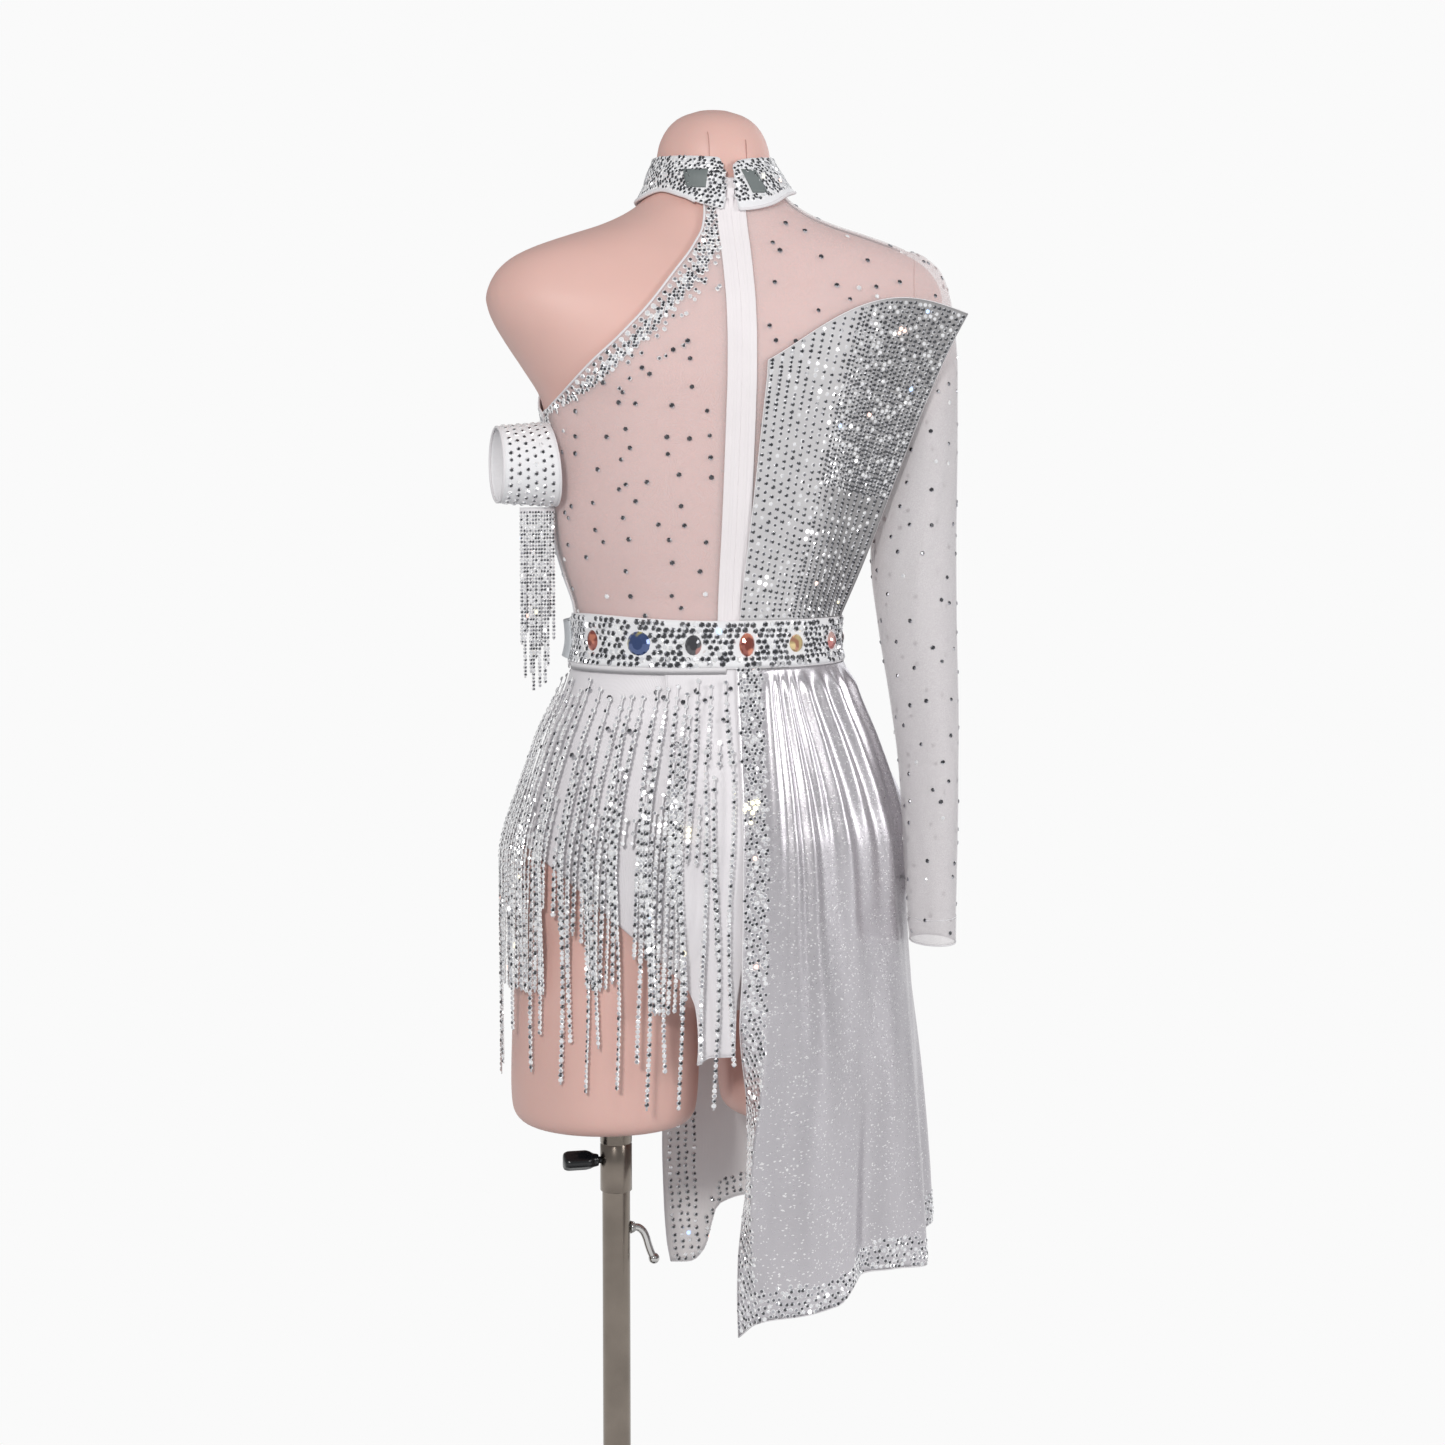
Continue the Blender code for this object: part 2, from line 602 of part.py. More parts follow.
def build_collar(stoned, figure, parts):
    """A band round the neck, open over the zip, snug at its top and flared over the right shoulder."""
    head, tail_end = COLLAR_CORNERS[:3], COLLAR_CORNERS[3:]
    between = COLLAR_STEPS - len(head) - len(tail_end) + 2
    run = (tail_end[0] - head[-1]) / between
    turns = [*head, *(head[-1] + run * (i + 1) for i in range(between - 1)), *tail_end]

    def place(across, up):
        turn = turns[round(across * COLLAR_STEPS)]
        bottom, top = collar["bottom"](turn), collar["top"](turn)
        z = bottom + (top - bottom) * up
        out = COLLAR_OUT - COLLAR_SNUG * blend(1.4245, 1.4425, z)
        out += COLLAR_FLARE * bell(turn - 90.0, 45.0) * (1 - up) ** 1.5
        return on_torso(math.pi / 2 + math.radians(turn), z, out)

    finish(cloth("collar", COLLAR_STEPS, 3, place, COLLAR_WALL), stoned, parts, figure)


def arc_angles(z, out, count):
    """Angles that divide a section of the torso into equal lengths, from the left side round."""
    fine = 720
    points = [on_torso(2 * math.pi * i / fine, z, out) for i in range(fine + 1)]
    lengths = [0.0]
    for a, b in zip(points, points[1:]):
        lengths.append(lengths[-1] + (b - a).length)
    angles, k = [], 0
    for i in range(count):
        while lengths[k + 1] < lengths[-1] * i / count:
            k += 1
        angles.append(2 * math.pi * k / fine)
    return angles, lengths[-1]


def build_belt(stoned, figure, parts):
    """A band whose section runs up the inside and down the outside, raised at each large stone."""
    middle, outer = (BELT_BOTTOM + BELT_TOP) / 2, BELT_OUT + BELT_WALL
    steps = 5 * GEMS
    angles, length = arc_angles(middle, BELT_OUT, steps * 8)
    section = (
        (BELT_BOTTOM, BELT_OUT),
        (middle, BELT_OUT),
        (BELT_TOP, BELT_OUT),
        (BELT_TOP, outer),
        (middle + GEM_HALF_HEIGHT, outer),
        (middle + GEM_HALF_HEIGHT / 2, outer),
        (middle - GEM_HALF_HEIGHT / 2, outer),
        (middle - GEM_HALF_HEIGHT, outer),
        (BELT_BOTTOM, outer),
    )
    beside = (-1.0, -0.5, 0.5, 1.0)

    def place(across, up):
        """Five columns to a stone: four close together under it and one half way to the next."""
        gem, order = divmod(round(across * steps) % steps, 5)
        along = FIRST_GEM + gem * length / GEMS
        along += beside[order] * GEM_HALF_WIDTH if order < 4 else length / GEMS / 2
        angle = angles[round(along / length * len(angles)) % len(angles)]
        level = round(up * len(section)) % len(section)
        z, out = section[level]
        under_tab = gem == GEMS - 1
        raised = GEM_DEPTH if order in (1, 2) and level in (5, 6) and not under_tab else 0.0
        return on_torso(angle, z, out + raised)

    bm = grid(steps, len(section), place)
    bmesh.ops.recalc_face_normals(bm, faces=bm.faces)
    finish(object_of("belt", bm), stoned, parts, figure)


def build_belt_tab(lycra, figure, parts):
    """The free end of the belt, which stands off the left hip."""

    def place(across, up):
        angle = math.radians(-34 + 30 * across)
        out = BELT_OUT + BELT_WALL + GAP + 0.0105 * (1 - across) ** 0.7
        return on_torso(angle, BELT_BOTTOM + 0.002 + (BELT_TOP - BELT_BOTTOM - 0.004) * up, out)

    finish(cloth("belt_tab", 6, 2, place), lycra, parts, figure)


def torso_back(x, z):
    """How far back the torso reaches beside that point of its section."""
    return torso_point(angle_at(x, z), z).y


def build_wing(stoned, figure, parts):
    """Follows the back over the waist and stands free of the shoulder at its outer corner."""

    def place(across, up):
        inner = Vector((wing["inner_x"](up), 0.0, wing["inner_z"](up)))
        outer = Vector((wing["outer_x"](up), wing["outer_y"](up), wing["outer_z"](up)))
        inner.y = torso_back(inner.x, inner.z) + WING_OUT
        point = inner.lerp(outer, across)
        point.z += WING_CROWN * up**3 * math.sin(math.pi * across**1.15)
        half_width = torso["half_width"](point.z)
        if abs(point.x) < half_width:
            out = on_torso(angle_at(point.x, point.z), point.z, WING_OUT) - torso_point(
                angle_at(point.x, point.z), point.z
            )
            slack = min(WING_OUT / max(out.normalized().y, 0.30), 0.016)
            point.y = max(point.y, torso_back(point.x, point.z) + slack)
        return point

    finish(cloth("wing_panel", 11, 12, place, WING_WALL), stoned, parts, figure)


def skirt_point(across, z):
    """The skirt's inner face: snug over the hip, then hanging in pleats and broad folds."""
    angle = math.pi / 2 + math.pi * across
    edge = bell(across, 0.07) + bell(1 - across, 0.07)
    out = SKIRT_OUT + 0.0018 * bell(across, 0.08)
    half_width, back, front = (torso[name](z) for name in ("half_width", "back", "front"))
    half_width, back, front = half_width + out, back + out, front - out
    if z < 0.95:
        half_width = max(half_width, skirt["half_width"](z))
        back = max(back, skirt["back"](z))
        front = min(front, skirt["front"](z))
    square = torso["square"](max(z, 0.86))
    x, y = rounded(angle, half_width, (back - front) / 2, square)
    point = Vector((x, y + (back + front) / 2, z))
    pleats = PLEAT_DEPTH * blend(PLEAT_FADE, 0.975, z) * blend(SKIRT_TOP, SKIRT_TOP - 0.02, z)
    pleats *= 1 + math.cos(2 * math.pi * PLEATS * across)
    fall = blend(DRAPE_START, 0.48, z)
    drapes = DRAPE_DEPTH * fall * (1 - math.cos(2 * math.pi * DRAPES * across)) * (1 - 0.6 * edge)
    top, tip, foot = SIDE_FOLD["top"], SIDE_FOLD["tip"], SIDE_FOLD["foot"]
    fold = SIDE_FOLD["depth"] * bell(across - SIDE_FOLD["across"], SIDE_FOLD["width"])
    fold *= max(0.0, min((top - z) / (top - tip), (z - foot) / (tip - foot)))
    outward = Vector((x / half_width, y / ((back - front) / 2), 0.0)).normalized()
    return point + outward * (pleats * (1 - edge) + drapes + fold)


def skirt_place(across, z):
    """The skirt's inner face once its back fold and its front edge are drawn to where they hang."""
    point = skirt_point(across, z)
    point.x += (edge_band["fold_x"](z) - skirt_point(FOLD_ACROSS, z).x) * bell(across - FOLD_ACROSS, 0.08)
    point.x += (front_edge_x(z) - skirt_point(1.0, z).x) * bell(1 - across, 0.08)
    return point


def build_skirt(satin, figure, parts):
    """Columns run from the band's free edge to its fold, then round the hip to the centre front."""
    levels = (0.0, 0.08, 0.20, 0.34, 0.48, 0.60, 0.68, 0.74, 0.79, 0.84, 0.90, 0.95, 1.0)
    wide = SKIRT_COLUMN_COUNT - EDGE_BAND_STEPS

    def place(across, up):
        column = round(across * SKIRT_COLUMN_COUNT)
        banded = min(1.0, column / EDGE_BAND_STEPS)
        hip = FOLD_ACROSS + (1 - FOLD_ACROSS) * max(0, column - EDGE_BAND_STEPS) / wide
        low = hem_height(hip if banded == 1.0 else FOLD_ACROSS * banded)
        z = low + (SKIRT_TOP - low) * levels[round(up * 12)]
        turn = math.radians(edge_band["turn"](z))
        inward = Vector((math.cos(turn), -math.sin(turn), 0.0))
        return skirt_place(hip, z) + inward * EDGE_BAND_WIDTH * (1 - banded)

    finish(cloth("skirt", SKIRT_COLUMN_COUNT, 12, place), satin, parts, figure)


def build_tail(lycra, figure, parts):
    def place(across, up):
        z = TAIL[0][0] + (TAIL[-1][0] - TAIL[0][0]) * up
        x = tail["left"](z) + (tail["right"](z) - tail["left"](z)) * across
        on_hip = on_torso(angle_at(x, z), z, TAIL_OUT)
        return Vector((x, max(tail["back"](z) - 0.6 * x * x / 0.1, on_hip.y), z))

    finish(cloth("tail_panel", 5, 9, place), lycra, parts, figure)


def strands(bm, roots, fall):
    """Draws a strand out of every second face in roots, along the centres that fall(order) gives."""
    for order, face in enumerate(roots[1::2]):
        for centre in fall(order, face.calc_center_median()):
            move = centre - face.calc_center_median()
            face = bmesh.ops.extrude_discrete_faces(bm, faces=[face])["faces"][0]
            bmesh.ops.translate(bm, vec=move, verts=face.verts)


def fringe_strip(cells, place, wall):
    """A narrow backing with one cell to each strand and each space; returns its lower faces in order."""
    bm = grid(cells, 1, place)
    lower = min(v.co.z for v in bm.verts)
    bmesh.ops.solidify(bm, geom=bm.faces[:], thickness=-wall)
    bmesh.ops.recalc_face_normals(bm, faces=bm.faces)
    bm.normal_update()
    roots = [f for f in bm.faces if f.normal.z < -0.8 and f.calc_center_median().z < lower + 0.001]
    return bm, roots


def hip_fringe(name, count, start, end, stoned, figure, parts):
    """Strands that lie over the hip from start to end and hang straight below its widest part."""
    cells = 2 * count + 1

    def place(across, up):
        angle = math.radians(start + (end - start) * across)
        return on_torso(angle, SKIRT_TOP - STRIP_HEIGHT * (1 - up), FRINGE_OUT)

    bm, roots = fringe_strip(cells, place, STRIP_WALL)
    roots.sort(key=lambda f: round_the_hip(f.calc_center_median(), start))

    def fall(order, _root):
        angle = math.radians(start + (end - start) * (2 * order + 1.5) / cells)
        lowest = STRAND_ENDS[(order * 4 + order // 5) % len(STRAND_ENDS)]
        middle = FRINGE_OUT + STRIP_WALL / 2
        for z in (0.970, 0.910, HANG_FROM):
            yield on_torso(angle, z, middle + 0.003 * (1 - blend(0.95, 1.0, z))) + FORM_SHIFT
        hung = on_torso(angle, HANG_FROM, middle + 0.003) + FORM_SHIFT
        yield Vector((hung.x, hung.y, lowest))

    strands(bm, roots, fall)
    bmesh.ops.recalc_face_normals(bm, faces=bm.faces)
    finish(object_of(name, bm), stoned, parts, figure)


def round_the_hip(point, start):
    """The angle of a point round the form, counted on from a starting angle in degrees."""
    middle = (torso["back"](SKIRT_TOP) + torso["front"](SKIRT_TOP)) / 2
    angle = math.degrees(math.atan2(point.y - FORM_SHIFT.y - middle, point.x - FORM_SHIFT.x))
    return (angle - start + 20.0) % 360.0


def beside_bodice(z):
    """How far to the left something must be at that height to just clear the bodice."""
    return torso["half_width"](z) + BODICE_OUT + CLOTH + 2 * GAP


def band_point(turn, out, share):
    """A point of the armband; share runs from the bodice to its free end."""
    radius = BAND["inner_radius"] + (BAND["outer_radius"] - BAND["inner_radius"]) * share + out
    y = BAND["y"] + radius * math.cos(turn)
    z = BAND["z"] + radius * math.sin(turn)
    start = beside_bodice(z)
    return Vector((start + (BAND["outer_x"] - start) * share, y, z))


def build_armband(stoned, figure, parts):
    def place(across, up):
        return band_point(2 * math.pi * across, 0.0, up)

    finish(cloth("armband", 24, 2, place, BAND_WALL), stoned, parts, figure)

    low = BAND["z"] - BAND["inner_radius"] - BAND_WALL - 2 * GAP
    first_x, last_x = beside_bodice(low) + 0.0015, 0.1700
    cells = 2 * BAND_STRANDS + 1

    def strip(across, up):
        x = last_x + (first_x - last_x) * across
        return Vector((x, BAND["y"] + STRIP_WALL / 2, low - STRIP_HEIGHT * (1 - up)))

    bm, roots = fringe_strip(cells, strip, STRIP_WALL)
    roots.sort(key=lambda f: -f.calc_center_median().x)

    def fall(order, root):
        for share in (0.5, 1.0):
            sway = Vector((0.0, 0.002 * math.sin(2.4 * order) * share, 0.0))
            z = root.z + (BAND_STRAND_ENDS[order] - root.z) * share
            yield Vector((root.x, root.y, z)) + sway

    strands(bm, roots, fall)
    bmesh.ops.recalc_face_normals(bm, faces=bm.faces)
    finish(object_of("armband_fringe", bm), stoned, parts, figure)


def turned(name, profile, sides):
    """A solid turned about the Z axis from (radius, height) pairs, top to bottom."""
    mesh = bpy.data.meshes.new(name)
    points = [(radius, 0.0, z) for radius, z in profile]
    mesh.from_pydata(points, [(i, i + 1) for i in range(len(points) - 1)], [])
    obj = bpy.data.objects.new(name, mesh)
    screw = obj.modifiers.new("Turn", "SCREW")
    screw.steps = screw.render_steps = sides
    screw.use_merge_vertices = True
    screw.merge_threshold = 0.0001
    return obj


def build_stand(steel, black, stand, clamp, knob, parts, cutters):
    rim = 0.0015
    plate = turned("base_plate", (
        (0.0, BASE_THICKNESS),
        (BASE_RADIUS - rim, BASE_THICKNESS),
        (BASE_RADIUS, BASE_THICKNESS - rim),
        (BASE_RADIUS, rim / 2),
        (BASE_RADIUS - rim / 2, 0.0),
        (0.0, 0.0),
    ), 36)
    finish(plate, black, parts, stand)
    hub_foot, hub_bore = BASE_THICKNESS + GAP, POLE_RADIUS + GAP
    hub = turned("base_hub", (
        (hub_bore, HUB_TOP),
        (HUB_RADIUS - 0.008, HUB_TOP),
        (HUB_RADIUS - 0.005, HUB_TOP - 0.003),
        (HUB_RADIUS - 0.004, hub_foot + 0.006),
        (HUB_RADIUS + 0.006, hub_foot + 0.002),
        (HUB_RADIUS + 0.006, hub_foot),
        (hub_bore, hub_foot),
        (hub_bore, HUB_TOP),
    ), 24)
    finish(hub, steel, parts, stand)
    finish(cylinder("pole", POLE_RADIUS, hub_foot, POLE_TOP, 28), steel, parts, stand)

    sleeve_tube = turned("clamp_sleeve", (
        (CLAMP_BORE, CLAMP_TOP),
        (CLAMP_HEAD, CLAMP_TOP),
        (CLAMP_HEAD, CLAMP_TOP - CLAMP_HEAD_DEPTH),
        (CLAMP_RADIUS, CLAMP_TOP - CLAMP_HEAD_DEPTH),
        (CLAMP_RADIUS, CLAMP_BOTTOM),
        (CLAMP_BORE, CLAMP_BOTTOM),
        (CLAMP_BORE, CLAMP_TOP),
    ), 28)
    finish(sleeve_tube, steel, parts, clamp)
    screw_hole = cylinder("clamp_screw_hole", 0.0034, 0.0, 0.03, 16)
    screw_hole.rotation_euler = (0.0, math.pi / 2, 0.0)
    screw_hole.location = (0.0, 0.0, KNOB_Z)
    cut_or_join(sleeve_tube, screw_hole, "DIFFERENCE", cutters)

    build_knob(black, knob, parts)
    build_hook(steel, stand, parts, cutters)


def build_knob(black, knob, parts):
    """A screw with a three-lobed grip, along +X from the clamp."""
    reach = (
        (0.0126, 0.0030), (0.0155, 0.0030), (0.0160, 0.0050), (0.0200, 0.0060),
        (0.0235, 0.0076), (0.0275, 0.0081), (0.0410, 0.0081), (0.0448, 0.0071), (0.0466, 0.0044),
    )
    lobes, sides = 3, 15

    def place(across, up):
        x, radius = reach[round(up * (len(reach) - 1))]
        turn = 2 * math.pi * across
        lobe = 0.14 * blend(0.019, 0.027, x) * math.cos(lobes * turn)
        return Vector((x, radius * (1 + lobe) * math.cos(turn), radius * (1 + lobe) * math.sin(turn)))

    bm = grid(sides, len(reach) - 1, place, Vector((0.0, 0.0, 0.0)))
    bmesh.ops.holes_fill(bm, edges=[e for e in bm.edges if e.is_boundary], sides=0)
    bmesh.ops.recalc_face_normals(bm, faces=bm.faces)
    finish(object_of("clamp_knob", bm), black, parts, knob)


def build_hook(steel, stand, parts, cutters):
    """A bent rod from the pole's right side, with a boss at its root and a ball at its tip."""
    start = POLE_RADIUS + GAP
    route = ((start, 0.0), (0.0185, -0.0004), (0.0235, -0.0040), (0.0265, -0.0100),
             (0.0285, -0.0170), (0.0310, -0.0240), (0.0335, -0.0290))
    curve = bpy.data.curves.new("hook_rod", "CURVE")
    curve.dimensions = "3D"
    curve.bevel_depth = 0.0033
    curve.bevel_resolution = 3
    curve.use_fill_caps = True
    line = curve.splines.new("POLY")
    line.points.add(len(route) - 1)
    for point, (reach, drop) in zip(line.points, route):
        point.co = (-reach, 0.0, drop, 1.0)
    rod = bpy.data.objects.new("hook_rod", curve)
    parts.objects.link(rod)
    mesh = bpy.data.meshes.new_from_object(rod.evaluated_get(bpy.context.evaluated_depsgraph_get()))
    bpy.data.objects.remove(rod)
    bm = bmesh.new()
    bm.from_mesh(mesh)
    bmesh.ops.remove_doubles(bm, verts=bm.verts, dist=MERGE)
    hook = object_of("pole_hook", bm)
    hook.location.z = HOOK_Z
    finish(hook, steel, parts, stand)
    ends = ((start + 0.0020, 0.0, 0.0058, 0.0040), (route[-1][0], route[-1][1], 0.0048, 0.0))
    for order, (reach, drop, radius, length) in enumerate(ends):
        bm = bmesh.new()
        if length:
            bmesh.ops.create_cone(bm, cap_ends=True, segments=16, radius1=radius,
                                  radius2=radius * 0.75, depth=length)
            for vertex in bm.verts:
                vertex.co = Vector((-vertex.co.z, vertex.co.y, vertex.co.x))
        else:
            bmesh.ops.create_uvsphere(bm, u_segments=12, v_segments=8, radius=radius)
        bmesh.ops.translate(bm, vec=(-reach, 0.0, drop + HOOK_Z), verts=bm.verts)
        bmesh.ops.recalc_face_normals(bm, faces=bm.faces)
        cut_or_join(hook, object_of(f"hook_end_{order}", bm), "UNION", cutters)


def material(name, colour, roughness, metallic=0.0):
    made = bpy.data.materials.new(name)
    made.use_nodes = True
    shader = made.node_tree.nodes["Principled BSDF"]
    shader.inputs["Base Color"].default_value = (*colour, 1.0)
    shader.inputs["Roughness"].default_value = roughness
    shader.inputs["Metallic"].default_value = metallic
    return made


def empty(name, location, parent, parts):
    made = bpy.data.objects.new(name, None)
    made.location = location
    made.parent = parent
    parts.objects.link(made)
    return made


def main():
    for obj in list(bpy.data.objects):
        bpy.data.objects.remove(obj)
    parts = bpy.data.collections.new("Latin dance dress")
    cutters = bpy.data.collections.new("Cutters")
    for group in (parts, cutters):
        bpy.context.scene.collection.children.link(group)

    skin = material("form_gloss_pink", (0.80, 0.45, 0.38), 0.45)
    sheer = material("sheer_mesh", (0.86, 0.80, 0.80), 0.60)
    lycra = material("white_lycra", (0.86, 0.84, 0.86), 0.55)
    satin = material("pearl_satin", (0.80, 0.79, 0.82), 0.30)
    stoned = material("crystal_stones", (0.62, 0.62, 0.64), 0.25, 0.6)
    steel = material("brushed_steel", (0.42, 0.40, 0.38), 0.30, 1.0)
    black = material("black_plastic", (0.02, 0.02, 0.022), 0.35)

    stand = empty("stand_foot", (0.0, 0.0, 0.0), None, parts)
    clamp = empty("height_slide", (0.0, 0.0, 0.0), None, parts)
    figure = empty("form_turn", (0.0, 0.0, 0.0), None, parts)
    knob = empty("knob_turn", (0.0, 0.0, KNOB_Z), None, parts)

    build_form(skin, figure, parts, cutters)
    build_socket(black, figure, parts)
    build_briefs(lycra, figure, parts, cutters)
    build_bodice(sheer, lycra, figure, parts)
    build_sleeve(sheer, figure, parts)
    build_collar(stoned, figure, parts)
    build_belt(stoned, figure, parts)
    build_belt_tab(lycra, figure, parts)
    build_wing(stoned, figure, parts)
    build_skirt(satin, figure, parts)
    build_tail(lycra, figure, parts)
    hip_fringe("fringe_back", BACK_STRANDS, 1.0, 87.5, stoned, figure, parts)
    hip_fringe("fringe_front", FRONT_STRANDS, -87.5, -1.0, stoned, figure, parts)
    build_armband(stoned, figure, parts)
    build_stand(steel, black, stand, clamp, knob, parts, cutters)


main()
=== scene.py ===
"""Looks for a white latin dance dress on a limbless dress form with a pole stand.

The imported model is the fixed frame. Each sub-assembly is a class that builds its meshes in that frame, in
metres, dresses them, and hands them to the body that carries them. +Z is up, the wearer faces -Y and the
wearer's left is +X. Sizes on the form are measured from the form's plane of symmetry, and FORM_SHIFT brings
them to the pole's axis.
"""

import logging
import math
import random
from bisect import bisect_right
from collections.abc import Callable, Iterable, Sequence
from dataclasses import dataclass, field
from enum import Enum
from itertools import accumulate
from math import cos, pi, radians, sin

import bmesh
import bpy
from bpy.types import Material, Node, NodeSocket, NodeTree, Object
from mathutils import Matrix, Vector


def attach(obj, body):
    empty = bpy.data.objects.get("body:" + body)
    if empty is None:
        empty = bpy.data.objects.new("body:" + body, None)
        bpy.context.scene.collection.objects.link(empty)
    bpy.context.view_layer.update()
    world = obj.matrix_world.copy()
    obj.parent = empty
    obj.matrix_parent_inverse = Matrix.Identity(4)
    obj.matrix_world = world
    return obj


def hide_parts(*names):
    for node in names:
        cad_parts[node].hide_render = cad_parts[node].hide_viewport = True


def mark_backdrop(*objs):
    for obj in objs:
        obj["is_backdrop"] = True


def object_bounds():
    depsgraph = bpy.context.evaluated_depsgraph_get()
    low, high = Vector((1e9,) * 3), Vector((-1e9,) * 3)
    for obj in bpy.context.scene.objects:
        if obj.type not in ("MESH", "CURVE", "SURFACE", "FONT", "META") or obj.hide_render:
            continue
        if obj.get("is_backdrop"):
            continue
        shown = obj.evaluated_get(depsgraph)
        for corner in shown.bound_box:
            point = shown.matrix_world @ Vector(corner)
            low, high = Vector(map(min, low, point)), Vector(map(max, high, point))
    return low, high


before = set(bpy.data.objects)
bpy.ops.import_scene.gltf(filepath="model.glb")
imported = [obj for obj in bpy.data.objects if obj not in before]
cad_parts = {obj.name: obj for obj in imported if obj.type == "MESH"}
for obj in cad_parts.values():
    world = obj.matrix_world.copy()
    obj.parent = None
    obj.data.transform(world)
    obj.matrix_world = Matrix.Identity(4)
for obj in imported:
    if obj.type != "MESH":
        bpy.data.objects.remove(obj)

LOG = logging.getLogger("dance_dress")

# Points closer than MERGE become one. FORM_SHIFT brings the form's plane of symmetry to the pole's axis.
MERGE = 0.000005
FORM_SHIFT = Vector((-0.088, -0.005, 0.0))

# How far each piece's inner face lies off the form's skin, and how thick the cloths and tapes are.
BRIEFS_OUT = 0.002
BODICE_OUT = 0.0026
COLLAR_OUT = 0.0052
BELT_OUT = 0.0047
TAIL_OUT = 0.0045
SKIRT_OUT = 0.0052
FRINGE_OUT = 0.0074
WING_OUT = 0.005
BELT_WALL = 0.0022
CLOTH = 0.0009
TAPE_WALL = 0.0005
STRIP_WALL = 0.0008

# Heights above the floor, half widths and radii that several pieces share, and the play between parts.
BELT_BOTTOM, BELT_TOP = 1.0163, 1.056
BODICE_BOTTOM, BODICE_TOP = 1.037, 1.416
ZIP_HALF_WIDTH, ZIP_TOP = 0.0125, 1.4238
SKIRT_TOP = 1.016
HANG_FROM = 0.85
POLE_RADIUS, POLE_TOP = 0.012, 0.765
CLAMP_RADIUS, CLAMP_BOTTOM, CLAMP_TOP = 0.0137, 0.562, 0.66
HOLLOW_RADIUS, HOLLOW_TOP = 0.03, 0.83
PLAY = 0.0003

# How far a stone's back lies above its cloth, the share of stones painted light as a painted reflection, and
# the share that glow a colour as a painted glint.
SEATED = -0.0002
PAINTED_REFLECTION_STONES, PAINTED_GLINT_STONES = 0.12, 0.006

Colour = tuple[float, float, float]
Pair = tuple[float, float]
Triple = tuple[float, float, float]
Stops = Iterable[tuple[float, Colour]]
Place = Callable[[float, float], Vector]
Keep = Callable[[float, float, float, float], bool]


class Body(Enum):
    """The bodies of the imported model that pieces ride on."""

    STAND = "stand"
    CLAMP = "clamp"
    KNOB = "thumb_knob"
    FIGURE = "figure"


class Slot(Enum):
    """The record's material slots."""

    SKIN = "form_gloss_pink"
    SHEER = "sheer_mesh"
    LYCRA = "white_lycra"
    SATIN = "pearl_satin"
    STONES = "crystal_stones"
    STEEL = "brushed_steel"
    PLASTIC = "black_plastic"


class Held(Enum):
    """How a piece of cloth is held."""

    HUNG = "hung"
    GATHERED = "gathered"
    STRETCHED = "stretched"


class Tone(Enum):
    """How light a stone looks, partly its own tone and partly painted reflection: the range that its tone
    value is drawn from, below 0 for dark facets too.
    """

    MIXED = (0.0, 1.0)
    LIGHT = (0.7, 1.0)
    DARK = (-0.6, 0.15)
    RING = (-0.15, 0.5)
    DULL = (-0.8, 0.6)
    SHADE = (-1.5, 0.1)
    LONE = (-2.2, -1.1)


class Edge(Enum):
    """An edge of a patch: the first and the last place on it, as shares across and up."""

    START = ((0.0, 0.0), (0.0, 1.0))
    END = ((1.0, 0.0), (1.0, 1.0))
    FOOT = ((0.0, 0.0), (1.0, 0.0))
    HEAD = ((0.0, 1.0), (1.0, 1.0))


def blend(low: float, high: float, at: float) -> float:
    """Rises smoothly from 0 at low to 1 at high."""
    share = min(max((at - low) / (high - low), 0.0), 1.0)
    return share * share * (3 - 2 * share)


def between(low: float, high: float, share: float) -> float:
    """The value at a share of the way from low to high."""
    return low + (high - low) * share


def bell(distance: float, spread: float) -> float:
    """Falls smoothly from 1 as the distance grows past the spread."""
    return math.exp(-((distance / spread) ** 2))


class SmoothTable:
    """Columns of numbers, read smoothly by the first column and never past their own values."""

    def __init__(self, columns: Sequence[str], rows: Sequence[Sequence[float]]) -> None:
        """Keeps the columns and works out their slopes.

        Args:
            columns: The columns' names. The first is read by.
            rows: The rows, in rising order of their first number.
        """
        self.starts = [row[0] for row in rows]
        self.values = {name: [row[i] for row in rows] for i, name in enumerate(columns) if i}
        self.slopes = {name: self._slopes(values) for name, values in self.values.items()}
        self.known: dict[tuple[str, float], float] = {}

    def _slopes(self, values: Sequence[float]) -> list[float]:
        """Slopes of a smooth curve that never swings past its points.

        Args:
            values: One column.

        Returns:
            One slope for each row.
        """
        steps = zip(self.starts, self.starts[1:], values, values[1:])
        runs = [(b - a) / (end - start) for start, end, a, b in steps]
        inner = [0.0 if a * b <= 0 else 2 * a * b / (a + b) for a, b in zip(runs, runs[1:])]
        return [runs[0], *inner, runs[-1]]

    def read(self, name: str, at: float) -> float:
        """Reads one column.

        Args:
            name: The column.
            at: The place in the first column.

        Returns:
            Its value there.
        """
        key = (name, at)
        if key not in self.known:
            at = min(max(at, self.starts[0]), self.starts[-1])
            i = min(bisect_right(self.starts, at), len(self.starts) - 1) - 1
            step = self.starts[i + 1] - self.starts[i]
            t = (at - self.starts[i]) / step
            ys, ms = self.values[name], self.slopes[name]
            low = (1 + 2 * t) * (1 - t) ** 2 * ys[i] + t * (1 - t) ** 2 * ms[i] * step
            high = t * t * (3 - 2 * t) * ys[i + 1] - t * t * (1 - t) * ms[i + 1] * step
            self.known[key] = low + high
        return self.known[key]


def rounded(angle: float, half_width: float, half_depth: float, square: float) -> Pair:
    """X and Y on a rounded section, whose square is 2 for an ellipse and more for a boxier one."""
    x, y = (math.copysign(abs(side) ** (2 / square), side) for side in (cos(angle), sin(angle)))
    return x * half_width, y * half_depth


